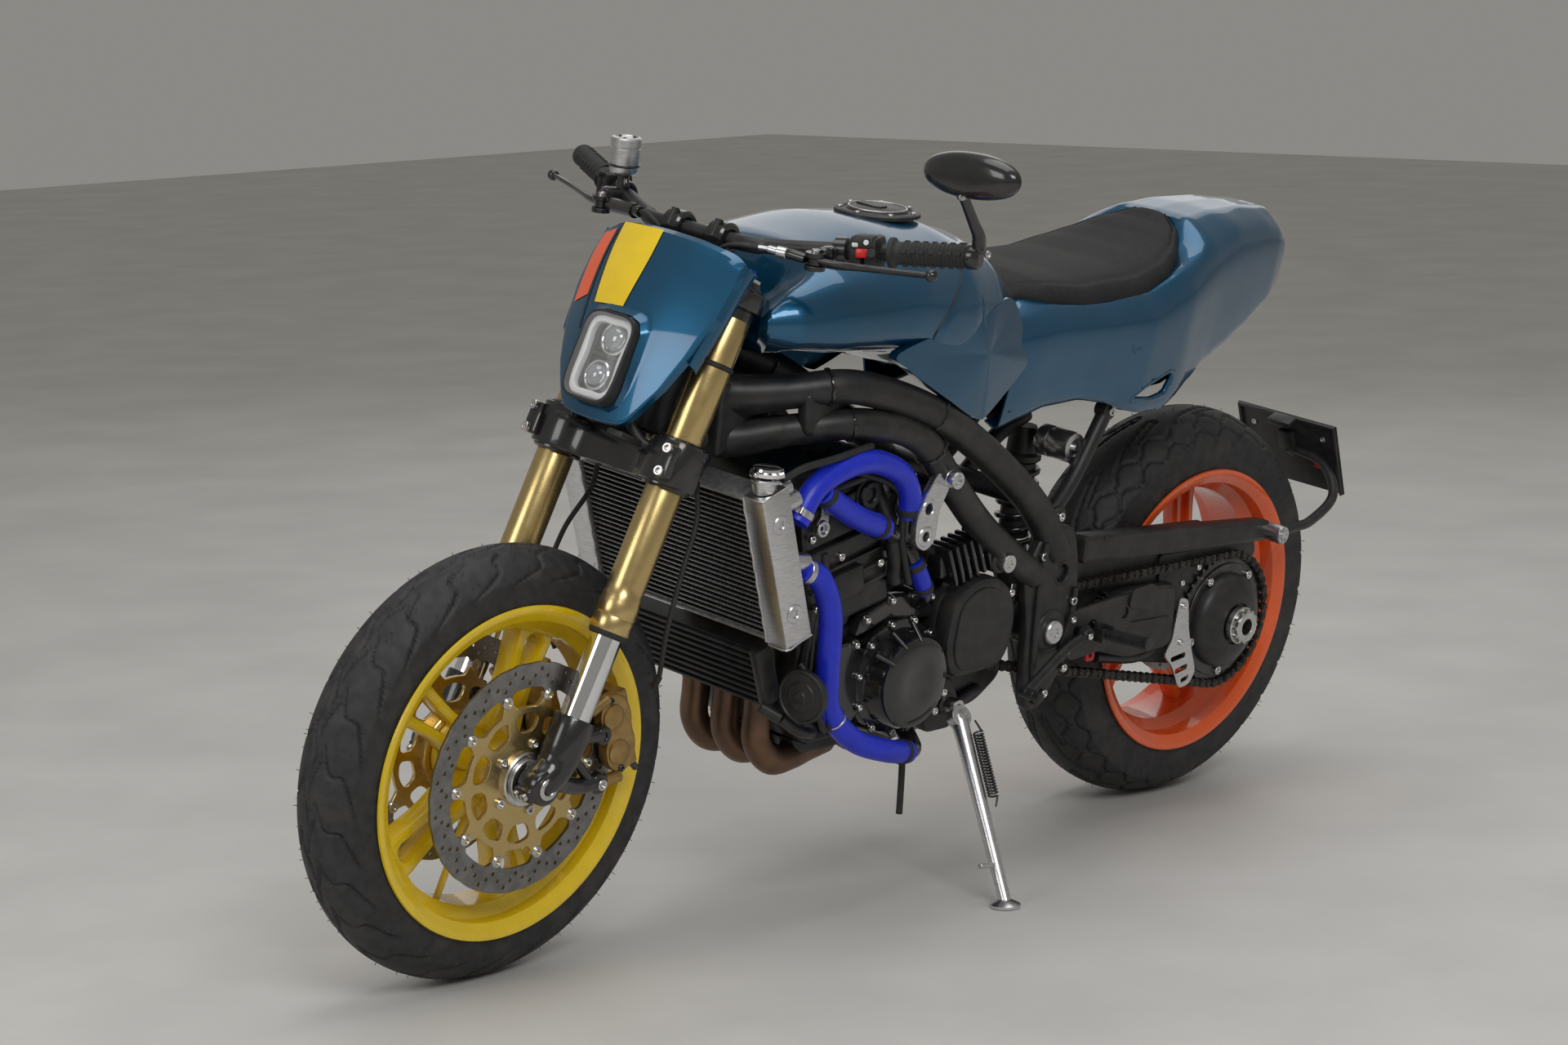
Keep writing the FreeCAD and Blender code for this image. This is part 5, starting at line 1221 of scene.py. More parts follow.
def right_pod():
    """Throttle housing, brake master cylinder and its round silver reservoir."""
    at = bar_frame(RIGHT, 150)
    turn = at.to_3x3().to_4x4()
    pod = Piece("right_pod", "black_plastic", "steering")
    for low, high in ((-20, -1), (1, 20)):
        pod.box(at @ Vector((2, 0, (low + high) / 2)), (42, 42, high - low), turn, 7)
    pod.box(at @ Vector((12, -16, 0)), (24, 18, 30), turn, 5)
    pod.rod(at @ Vector((16, 14, 4)), at @ Vector((30, 18, 4)), 5)
    pod.done(slot="black_plastic")
    pivot = lever_pivot(RIGHT)
    parts = Piece("brake_master_cast", "black_gloss", "steering")
    parts.ring(along_bar(RIGHT, 186), bar_axis(RIGHT), 18, 11, -10, 10, edge=2)
    parts.box(along_bar(RIGHT, 186) + Vector((22, 4, -2)), (36, 24, 24), turn, 5)
    for way in (-1, 1):
        parts.rod(pivot + Vector((0, 0, way * 5.6)), pivot + Vector((0, 0, way * 12)), 14)
    parts.rod(pivot + Vector((-6, 12, 0)), pivot + Vector((6, 74, 4)), 11)
    parts.ring(pivot + Vector((6, 74, 4)), (0.1, 1, 0.06), 8, 3, 0, 12)
    base = pivot + Vector((-34, 4, 26))
    parts.rod(pivot + Vector((-30, 6, 4)), base + Vector((0, 0, 16)), 8)
    parts.tube([along_bar(RIGHT, 186) + Vector((0, 0, 16)), base + Vector((2, 8, -2)),
                base + Vector((0, 4, 12))], 5)
    parts.done("brake_master", slot="black_gloss")
    pot = Piece("brake_reservoir", "brushed_aluminium", "steering")
    foot = base + Vector((0, 0, 14))
    pot.lathe([(0, 0), (16, 0), (20, 3), (21, 6), (21, 36), (20, 37), (20, 39), (21.6, 40), (21.6, 50),
               (20, 52),
               (17, 52.6), (16, 51.5), (0, 51.5)], foot, UPWARD, 48)
    pot.done(slot="bare_aluminium")
    cap = Piece("reservoir_band", "black_gloss", "steering")
    cap.ring(foot, UPWARD, 22.3, 19, 11, 15, edge=1)
    for angle in (0.6, 2.7, 4.8):
        cap.bolt(foot + Vector((12 * math.cos(angle), 12 * math.sin(angle), 51.6)), UPWARD, 2.6, 1.6,
                 steps=10)
    cap.done(slot="black_gloss")
    line = Piece("brake_line_bar", "black_rubber", "steering")
    start = pivot + Vector((7, 86, 5))
    line.tube([start, start + Vector((14, 30, 2)), start + Vector((10, 66, -20)),
               start + Vector((-22, 88, -70))], 3.6)
    line.done(slot="rubber")


def mirror():
    """Bar-end mirror on the left: clamp, bent stem, ball, and an oval head with its glass facing back."""
    base = along_bar(LEFT, -2)
    knee = base + Vector((14, 8, 30))
    top = Vector((1056, 405, 1122))
    stem = Piece("mirror_stem_bent", "black_gloss", "mirror_arm")
    stem.lathe([(0, -3), (13, -3), (16.5, 0), (17, 3), (17, 14), (15, 17), (12, 18)], base, bar_axis(LEFT),
               32)
    stem.tube([base + Vector((2, 0, 8)), knee, knee.lerp(top, 0.3), knee.lerp(top, 0.7), top], 6, steps=16,
              flat=1.2,
              radii=[8, 7.4, 6.4, 6, 6])
    stem.ball(top, 9)
    stem.done("mirror_stem", slot="black_gloss")
    bolts = Piece("mirror_bolts", "machined_steel", "mirror_arm")
    bolts.bolt(base + Vector((2, 15, 6)), (0.2, 1, 0.2), 5, 4)
    bolts.bolt(top + Vector((5, 5, -2)), (1, 0.4, 0), 4.5, 6)
    bolts.done(slot="steel")
    centre = top + Vector((6, 10, 26))
    shell = Piece("mirror_shell", "black_gloss", "mirror_glass")
    rows = []
    for k in range(9):
        t = k / 8
        size = math.cos(t * math.pi / 2) ** 0.6
        row = []
        for step in range(48):
            angle = 2 * math.pi * step / 48
            y = 80 * math.copysign(abs(math.cos(angle)) ** 0.92, math.cos(angle)) * size
            z = 30 * math.copysign(abs(math.sin(angle)) ** 0.92, math.sin(angle)) * size
            row.append(centre + Vector((-8 + 19 * math.sin(t * math.pi / 2), y, z + 0.05 * y)))
        rows.append(row)
    shell.grid(rows, close_columns=True)
    rim = [[p + Vector((d, 0, 0)) + (p - centre) * s for p in rows[0]] for d,
           s in ((0, 0), (-4, 0), (-5, -0.02), (-2, -0.05))]
    shell.grid(rim, close_columns=True)
    shell.done("mirror_head", slot="black_gloss", weld=True)
    glass = Piece("mirror_face_glass", "mirror_glass", "mirror_glass")
    outline = [((p.y - centre.y) * 0.95, (p.z - centre.z) * 0.95) for p in rows[0]]
    face = Matrix(((0, 0, 1, centre.x - 10.5), (1, 0, 0, centre.y), (0, 1, 0, centre.z), (0, 0, 0, 1)))
    glass.plate(outline, 2, face, bevel=0.3)
    glass.done(slot="chrome")


def fork_hoses():
    """Two brake hoses that hang behind the legs."""
    for side, name in ((LEFT, "left"), (RIGHT, "right")):
        route = [(-60, side * 92, 470), (-88, side * 98, 440), (-104, side * 104, 400),
                 (-98, side * 118, 330),
                 (-108, side * 122, 250), (-142, side * 108, 190), (-150, side * 98, 176)]
        item = Piece(f"brake_hose_{name}", "black_rubber", "steering", FORK)
        item.tube(route, 3.6, steps=12)
        for at, far in ((5, 6), (0, 1)):
            a, b = Vector(route[at]), Vector(route[far])
            item.rod(a, b, 5)
        hose = item.done(slot="rubber")
        world = hose.matrix_world.copy()
        hose.parent = None
        hose.matrix_world = world
        del hose["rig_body"]
        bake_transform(hose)
    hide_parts("brake_hoses")


# ---------------------------------------------------------------- bodywork, in the bike frame
TANK = [(1134, 880, 934, 130), (1118, 864, 950, 152), (1080, 852, 968, 176), (1000, 842, 990, 191),
        (860, 830, 1005, 196),
        (740, 784, 1000, 187), (660, 772, 978, 166), (600, 790, 938, 134), (582, 812, 910, 118)]
TAIL_EDGE = [(606, 700), (560, 712), (508, 724), (434, 727), (370, 716), (320, 699), (272, 690), (224, 690),
             (190, 704),
             (150, 724), (100, 748), (40, 765), (-20, 786), (-80, 812), (-120, 832), (-158, 850), (-184, 864)]
SEAT_EDGE = [(590, 868, 96), (560, 880, 108), (520, 874, 132), (440, 864, 142), (323, 866, 142),
             (250, 882, 132),
             (204, 898, 112), (160, 926, 78), (136, 950, 30)]


def value_at(table, x, column=1):
    """The value of a table, which runs from front to rear, at a place along it."""
    for a, b in zip(table, table[1:]):
        if a[0] >= x >= b[0]:
            t = (a[0] - x) / (a[0] - b[0])
            t = t if column > 2 else t * t * (3 - 2 * t) * 0.35 + t * 0.65
            return a[column] + (b[column] - a[column]) * t
    return table[0][column] if x > table[0][0] else table[-1][column]


def tank_point(x, turn):
    """A point on the tank's skin: a full shoulder low down and a flatter crown."""
    low, high, half = (value_at(TANK, x, k) for k in (1, 2, 3))
    widest = low + (high - low) * 0.40
    side, lift = math.cos(turn), math.sin(turn)
    if lift >= 0:
        y = half * math.copysign(abs(side) ** (2 / 2.35), side)
        z = widest + (high - widest) * abs(lift) ** (2 / 2.35)
    else:
        y = half * math.copysign(abs(side) ** (2 / 2.9), side)
        z = widest - (widest - low) * abs(lift) ** (2 / 2.9)
    knee = math.exp(-((x - 700) / 70) ** 2) * math.exp(-((z - 840) / 60) ** 2)
    return Vector((x, y * (1 - 0.055 * knee), z))


def fuel_tank():
    item = Piece("fuel_tank_shell", "blue_paint", "chassis", angle=40)
    stations = [p.x for p in smooth_path([(s[0], 0, 0) for s in TANK], 6)]
    rows = []
    for x in stations:
        row = []
        for k in range(72):
            point = tank_point(x, 2 * math.pi * k / 72)
            local = FORK.inverted() @ BIKE @ point
            away = Vector((local.x + 41, local.y))
            if away.length < 146 and local.x > -112:
                reach = min(146 - away.length, (local.x + 112))
                back = FORK @ Vector((local.x - reach, local.y, local.z))
                point = TO_BIKE @ back
            row.append(point)
        rows.append(row)
    item.grid(rows, close_columns=True, caps=True)
    item.done("fuel_tank", slot="blue_paint")
    tree_rows = [[tank_point(x, 2 * math.pi * k / 72) for k in range(73)] for x in stations]
    skin = Surface(tree_rows)
    for side, name in ((LEFT, "left"), (RIGHT, "right")):
        knee_panel(skin, side, name)
        side_panel(side, name)
    filler()


class Surface:
    """A skin that other pieces are laid on."""

    def __init__(self, rows):
        wide = len(rows[0])
        verts = [Vector(p) for row in rows for p in row]
        faces = [(i * wide + k, i * wide + k + 1, (i + 1) * wide + k + 1, (i + 1) * wide + k)
                 for i in range(len(rows) - 1) for k in range(wide - 1)]
        self.tree = BVHTree.FromPolygons(verts, faces)

    def side(self, x, z, side, lift=0.0):
        """The skin seen straight from one side, or its nearest point where it curves away."""
        hit, normal, _, _ = self.tree.ray_cast(Vector((x, side * 400, z)), Vector((0, -side, 0)))
        if hit is None:
            hit, normal, _, _ = self.tree.find_nearest(Vector((x, side * 150, z)))
        if normal.y * side < 0:
            normal = -normal
        return hit + normal * lift


SIDE_PANEL = [(905, 852, 192), (880, 826, 191), (830, 797, 189), (780, 770, 186), (735, 746, 180),
              (701, 733, 174), (684, 735, 172),
              (640, 758, 163), (598, 784, 156), (578, 802, 152), (584, 830,
                                                                  149), (600, 862, 149), (620, 892, 150),
              (650, 900, 158), (700, 890, 174), (770, 880, 186)]


def side_panel(side, name):
    """Body-coloured panel that closes the corner between the tank, the frame tube and the tail."""
    outline = smooth_path([(x, y, z) for x, z, y in SIDE_PANEL], 5, closed=True)
    middle = Vector((700, 176, 830))
    rows = []
    for k in range(11):
        t = 1 - k / 10
        rows.append([Vector((middle.x + (p.x - middle.x) * t,
                             side * (middle.y + (p.y - middle.y) * t + 5 * (1 - t * t)),
                             middle.z + (p.z - middle.z) * t)) for p in outline])
    edge = [Vector((p.x * 0.996 + middle.x * 0.004, side * (abs(p.y) - 16), p.z)) for p in rows[0]]
    item = Piece(f"side_panel_{name}", "blue_paint", "chassis")
    item.grid([edge] + rows, close_columns=True)
    item.done(slot="blue_paint", weld=True)


KNEE_PANEL = [(838, 870), (792, 918), (742, 962), (700, 972), (650, 962), (612, 926), (600, 880),
              (608, 834), (640, 796),
              (700, 762), (722, 748), (758, 776), (802, 822)]


def knee_panel(skin, side, name):
    """Side panel let into the rear of the tank, with a dark shut line round it."""
    outline = spread(rounded(KNEE_PANEL, 14, 3), 96)
    centre = Vector((712, 866))
    rows = []
    for k in range(13):
        t = 1 - k / 12
        row = []
        for x, z in outline:
            px, pz = centre.x + (x - centre.x) * t, centre.y + (z - centre.y) * t
            bulge = 2.4 + 2.0 * (1 - t) if t < 0.97 else 0.6
            row.append(skin.side(px, pz, side, bulge))
        rows.append(row)
    item = Piece(f"knee_panel_{name}", "blue_paint", "chassis")
    item.grid(rows, close_columns=True)
    item.done(slot="blue_paint", weld=True)
    line = Piece(f"knee_panel_gap_{name}", "black_satin", "chassis")
    line.tube([skin.side(centre.x + (x - centre.x) * 1.012, centre.y + (z - centre.y) * 1.012, side, 0.2)
               for x, z in outline[::2]], 1.5, steps=8, smooth=2, closed=True)
    line.done(slot="black_satin")
    crease = Piece(f"knee_panel_crease_{name}", "blue_paint", "chassis")
    crease.tube([skin.side(x, z, side, 2.4) for x, z in ((742, 958), (724, 900), (706, 830), (700, 776))],
                3.2, steps=10)
    crease.done(slot="blue_paint")


def filler():
    """Round filler cap: bolted ring, raised lid and lock cover."""
    cap = Vector((764, 0, 1003))
    ring = Piece("filler_ring", "black_satin", "fuel_cap")
    ring.lathe([(0, -1.5), (62, -1.5), (62, 3), (60, 4.5), (50, 5), (48, 3), (45, 3), (43, 6), (40, 7.5),
                (0, 7.8)],
               cap, UPWARD, 72)
    ring.plate(rounded([(-9, -36), (9, -36), (12, 0), (9, 12), (-9, 12), (-12, 0)], 5), 3,
               Matrix.Translation(cap + Vector((0, 0, 8.5))), bevel=0.8)
    ring.done("filler_cap", slot="black_satin")
    bolts = Piece("filler_bolts", "machined_steel", "fuel_cap")
    for k in range(7):
        angle = 2 * math.pi * k / 7 + 0.2
        bolts.bolt(cap + Vector((54 * math.cos(angle), 54 * math.sin(angle), 4)), UPWARD, 4, 3)
    bolts.ring(cap, UPWARD, 43, 40.5, 6, 8.4, edge=0.5)
    bolts.done(slot="steel")


def tail_rows(side):
    """Rows of points over one half of the tail, from its lower edge up to the seat or the centre line."""
    rows = []
    stations = np.concatenate([np.linspace(606, -100, 68), -100 - 84 *
                               np.sin(np.linspace(0.1, 1, 14) * math.pi / 2)])
    wide = [(606, 0, 0, 150), (560, 0, 0, 154), (400, 0, 0, 159), (300, 0, 0, 159), (200, 0, 0, 149),
            (90, 0, 0, 121),
            (-30, 0, 0, 94), (-100, 0, 0, 78), (-130, 0, 0, 65), (-158, 0, 0,
                                                                  45), (-175, 0, 0, 26), (-184, 0, 0, 6)]
    shoulder = [(606, 862), (520, 868), (400, 866), (300, 872), (200, 904), (120, 932), (40, 946),
                (-60, 942), (-100, 934),
                (-140, 914), (-170, 886), (-184, 866)]
    crown = [(606, 868), (520, 874), (400, 872), (300, 884), (200, 930), (120, 962), (60, 968), (-20, 968),
             (-100, 960),
             (-140, 942), (-170, 908), (-184, 872)]
    for x in stations:
        low, half = value_at(TAIL_EDGE, x), value_at(wide, x, 3)
        high, top = value_at(shoulder, x), value_at(crown, x)
        reach = value_at(SEAT_EDGE, x, 2) - 4 if x > 138 else 0
        tall = high - low
        points = [(half * 0.70, low + 6), (half * 0.84, low), (half * 0.90, low + tall * 0.16),
                  (half * 0.955, low + tall * 0.42),
                  (half, low + tall * 0.70), (half * 0.985, low + tall *
                                              0.86), (max(half * 0.90, reach + 4), high),
                  (max(half * 0.55, reach * 0.985), top + (high - top) * 0.15
                   if x < 138 else value_at(SEAT_EDGE, x) + 1)]
        if x > 138:
            points += [(reach * 0.93, value_at(SEAT_EDGE, x) - 8),
                       (reach * 0.7, value_at(SEAT_EDGE, x) - 14), (0, value_at(SEAT_EDGE, x) - 16)]
        else:
            points += [(half * 0.36, top - 1), (half * 0.18, top), (0, top + 1)]
        path = smooth_path([(0, y, z) for y, z in points], 4)
        rows.append([Vector((x, side * p.y, p.z)) for p in path])
    return rows


def in_outline(x, z, outline):
    inside = False
    for (x0, z0), (x1, z1) in zip(outline, outline[1:] + outline[:1]):
        if (z0 > z) != (z1 > z) and x < (x1 - x0) * (z - z0) / (z1 - z0) + x0:
            inside = not inside
    return inside


SLOT = [(322, 714), (288, 734), (226, 752), (214, 742), (228, 712), (264, 707)]


def tail():
    """The tail's shell: lower wings with an opening each side, the seat's hollow and the hump behind it."""
    shell = Piece("tail_shell", "blue_paint", "chassis", angle=36)
    for side in SIDES:
        rows = tail_rows(side)
        wide = len(rows[0])
        verts = [p for row in rows for p in row]
        faces = []
        for i in range(len(rows) - 1):
            for k in range(wide - 1):
                corners = [verts[i * wide + k], verts[i * wide + k + 1], verts[(i + 1) * wide + k + 1],
                           verts[(i + 1) * wide + k]]
                x, z = sum(c.x for c in corners) / 4, sum(c.z for c in corners) / 4
                if k < 14 and in_outline(x, z, SLOT):
                    continue
                faces.append((i * wide + k, i * wide + k + 1, (i + 1) * wide + k + 1, (i + 1) * wide + k))
        shell.add(verts, faces)
    end = [p for p in tail_rows(LEFT)[-1]] + [p for p in tail_rows(RIGHT)[-1]][::-1]
    shell.add(end, [tuple(range(len(end)))])
    shell.done("tail_unit", thicken=-3, slot="blue_paint", weld=True)
    skin = {side: Surface(tail_rows(side)) for side in SIDES}
    for side, name in ((LEFT, "left"), (RIGHT, "right")):
        lip = Piece(f"tail_opening_{name}", "blue_paint", "chassis")
        lip.tube([skin[side].side(x, z, side, -1.0) for x, z in rounded(SLOT, 8, 4)], 5, steps=12, smooth=3,
                 closed=True)
        lip.done(slot="blue_paint")
        dimple = Piece(f"tail_fixing_{name}", "blue_paint", "chassis")
        place = skin[side].side(337, 808, side, 0.0)
        dimple.ring(place, (0, side, 0), 17, 9, -3, 2.5, edge=2.2, steps=40)
        dimple.done(slot="blue_paint")
        bolt = Piece(f"tail_bolt_{name}", "black_gloss", "chassis")
        bolt.bolt(skin[side].side(337, 808, side, -2.5), (0, side, 0), 8, 3)
        bolt.bolt(skin[side].side(590, 728, side, 0), (0, side, 0), 6, 3)
        bolt.done(slot="black_gloss")
    liner = Piece("tail_liner", "black_plastic", "chassis")
    rows = []
    for x in np.linspace(600, -140, 30):
        low, half = value_at(TAIL_EDGE, x), 0.72 * value_at([(606, 0, 0, 150), (300, 0, 0, 159),
                                                             (90, 0, 0, 121), (-212, 0, 0, 36)], x, 3)
        rise = 42 + 50 * math.exp(-((x - 120) / 150) ** 2)
        if x < -60:
            rise *= max(0.15, 1 + (x + 60) / 170)
        clear = 34 * math.exp(-((x - 262) / 60) ** 2)
        rows.append([Vector((x, half * s, low + 6 + rise * (1 - abs(s) ** 2.2) + clear))
                     for s in np.linspace(-1, 1, 15)])
    liner.grid(rows).done(slot="black_plastic", thicken=3)


def seat():
    """Padded seat: a plump cushion with a stitched edge, a dished rider's place and a raised back."""
    pad = Piece("seat_cushion", "seat_vinyl", "chassis", angle=60)
    border = SEAT_EDGE
    rows = []
    for x in np.linspace(586, 137, 64):
        edge_z, half = value_at(border, x), value_at(border, x, 2)
        t = (586 - x) / 449
        nose = min(1.0, (586 - x) / 60) ** 0.5
        tip = min(1.0, (x - 130) / 60) ** 0.5
        dome = (24 + 14 * math.sin(math.pi * t)) * nose * tip
        row = []
        for s in np.linspace(-1, 1, 49):
            across = abs(s)
            y = half * s
            puff = dome * (1 - across ** 3.4) ** 0.5
            bead = 3.4 * math.exp(-((across - 0.90) / 0.035) ** 2) * nose
            pucker = 0.9 * math.sin(x / 5.5) * max(0, across - 0.92) / 0.08
            z = edge_z + 8 + puff + bead - 2.2 * math.exp(-((across - 0.84) / 0.02) ** 2) + pucker
            row.append(Vector((x, y, z)))
        rows.append(row)
    under = [[Vector((p.x, p.y * 0.97, p.z - 26 if 4 < i < 44 else p.z - 10)) for i, p in enumerate(row)]
             for row in rows]
    for top, low in zip(rows, under):
        top += low[::-1]
    pad.grid(rows, close_columns=True, caps=True)
    cushion = pad.done("seat_pad", slot="seat_cover")
    stitch = Piece("seat_stitching", "black_rubber", "chassis")
    for side in SIDES:
        for k in range(70):
            x = 560 - k * 5.6
            if x < 170:
                break
            a, b = (Vector((x - d, side * value_at(border, x - d, 2) * 0.865,
                            value_at(border, x - d) + 9.5)) for d in (0, 3.4))
            stitch.rod(a, b, 0.7, steps=6)
    stitch.done(slot="seat_cover")


# ---------------------------------------------------------------- frame, in the bike frame
UPPER_TUBE = [(1086, 58, 774), (1030, 120, 796), (938, 164, 800), (759, 166, 734), (552, 150, 600),
              (462, 149, 500)]
LOWER_TUBE = [(1080, 58, 722), (1020, 122, 742), (933, 166, 750), (820, 168, 718), (738, 167, 640),
              (640, 156, 556),
              (512, 149, 470)]
PIVOT_PLATE = [(432, 540), (500, 540), (540, 470), (520, 400), (514, 311), (505, 257), (470, 257),
               (406, 345), (412, 470)]


def main_frame():
    """Twin tubes each side with weld beads, cast head and pivot plates."""
    item = Piece("frame_tubes", "black_satin", "chassis", angle=50)
    welds = Piece("frame_welds", "black_gloss", "chassis")
    for side in SIDES:
        for route, radius in ((UPPER_TUBE, 24), (LOWER_TUBE, 22)):
            points = [Vector((x, side * y, z)) for x, y, z in route]
            item.tube(points, radius, steps=32, smooth=12)
            path = smooth_path(points, 12)
            for share in (0.30, 0.56):
                k = int(len(path) * share)
                weld_bead(welds, path[k], (path[k + 1] - path[k]), radius + 0.4)
        pivot_plate(item, side)
    head(item)
    item.rod((520, -140, 585), (520, 140, 585), 16)
    item.tube([(520, 0, 585), (450, 0, 640), (385, 0, 668)], 13)
    item.done("frame", slot="black_satin")
    welds.done(slot="black_satin")
    bolts = Piece("frame_bolts", "brushed_aluminium", "chassis")
    for side in SIDES:
        bolts.lathe([(0, 167), (7, 167), (7.5, 169), (16, 169.5), (18, 168), (19, 165), (19, 158)],
                    (467, 0, 378), (0, side, 0), 40)
    bolts.done(slot="bare_aluminium")
    small = Piece("frame_small_bolts", "machined_steel", "chassis")
    for side in SIDES:
        for x, z in ((424, 420), (430, 316), (470, 282), (506, 500)):
            small.bolt((x, side * 160, z), (0, side, 0), 6.5, 5)
    small.done(slot="steel")
    subframe()


def weld_bead(item, place, direction, radius):
    """A ring of small overlapping weld ripples."""
    turn = turn_to(direction).to_3x3()
    ring = [place + turn @ Vector((radius * math.cos(a), radius * math.sin(a), 0.8 * math.sin(a * 9)))
            for a in (2 * math.pi * k / 60 for k in range(60))]
    item.tube(ring, 2.6, steps=8, smooth=0, closed=True)


def pivot_plate(item, side):
    """Cast plate round the swing arm's pivot, with ribs and a plugged hole."""
    outline = rounded(PIVOT_PLATE, 26, 6)
    item.plate(outline, 20, side_matrix(side * 148), holes=[(452, 466, 15)], bevel=5)
    item.ring((467, side * 152, 378), (0, side, 0), 34, 18, 0, 10, edge=3)
    item.ring((452, side * 148, 466), (0, side, 0), 20, 14, 0, 11, edge=2)
    item.tube([(500, side * 160, 520), (505, side * 160, 440), (500, side * 160, 330),
               (486, side * 160, 270)], 6, steps=12)
    item.tube([(420, side * 160, 440), (424, side * 160, 380), (430, side * 160, 330)], 5, steps=12)
    item.lathe([(0, 152), (12, 152), (14, 150)], (452, 0, 466), (0, side, 0), 24)


def head(item):
    """Cast steering head with webs out to the tubes."""
    axis_v = -41
    low, high = (TO_BIKE @ FORK @ Vector((axis_v, 0, u)) for u in (492, 676))
    item.rod(low, high, 34, steps=48, edge=3)
    item.plate(rounded([(1046, 696), (1160, 700), (1172, 742), (1156, 842), (1120, 828), (1056, 806)], 16),
               56, side_matrix(0),
               bevel=6)
    for side in SIDES:
        item.tube([(1120, side * 20, 800), (1092, side * 60, 786), (1040, side * 112, 794)], 26, steps=20,
                  radii=[30, 28, 25])
        item.tube([(1130, side * 20, 730), (1090, side * 60, 722), (1036, side * 108, 738)], 24, steps=20,
                  radii=[28, 26, 23])
        item.plate(rounded([(1128, 700), (1128, 806), (1030, 800), (1024, 738)], 14), 30,
                   side_matrix(side * 62), bevel=6)
        item.plate(rounded([(1030, 736), (1036, 800), (948, 806), (944, 744)], 14), 22,
                   side_matrix(side * 140), bevel=6)


def subframe():
    item = Piece("subframe_struts", "black_satin", "chassis")
    for side in SIDES:
        item.tube([(452, side * 125, 552), (400, side * 118, 600), (330, side * 108, 690)], 12, steps=24)
        item.rod((448, side * 138, 548), (448, side * 110, 548), 16)
        item.rod((330, side * 118, 692), (330, side * 96, 692), 14)
    item.done("subframe", slot="black_satin")
    bolts = Piece("subframe_bolts", "machined_steel", "chassis")
    for side in SIDES:
        bolts.bolt((448, side * 138, 548), (0, side, 0), 7, 5)
        bolts.bolt((330, side * 118, 692), (0, side, 0), 7, 5)
    bolts.done(slot="steel")
    hanger = Piece("silver_hanger", "brushed_aluminium", "chassis")
    outline = rounded([(756, 672), (786, 668), (806, 640), (824, 600), (822, 566), (800, 552), (780, 566),
                       (778, 610), (760, 640)], 11)
    hanger.plate(outline, 12, side_matrix(178), holes=[(802, 576, 7), (800, 616, 8)], bevel=2)
    hanger.ring((802, 178, 576), (0, 1, 0), 15, 7, -8, 8, edge=1.5)
    hanger.ring((800, 178, 616), (0, 1, 0), 15, 8, -7, 7, edge=1.5)
    hanger.rod((771, 160, 659), (771, 196, 659), 13)
    hanger.lathe([(0, 204), (7, 204), (8, 208), (12, 208), (13, 206), (13, 196)], (771, 0, 659), (0, 1, 0),
                 24)
    hanger.done(slot="bare_aluminium")


# ---------------------------------------------------------------- cooling, in the bike frame
CORE_TILT = math.radians(18.6)
CORE_TOP = Vector((1157, 0, 672))


def core(depth, y, down):
    """A place in the radiator: back from its face, across it, and down from its top."""
    return CORE_TOP + Vector((-depth * math.cos(CORE_TILT) - down * math.sin(CORE_TILT), y,
                              depth * math.sin(CORE_TILT) - down * math.cos(CORE_TILT)))


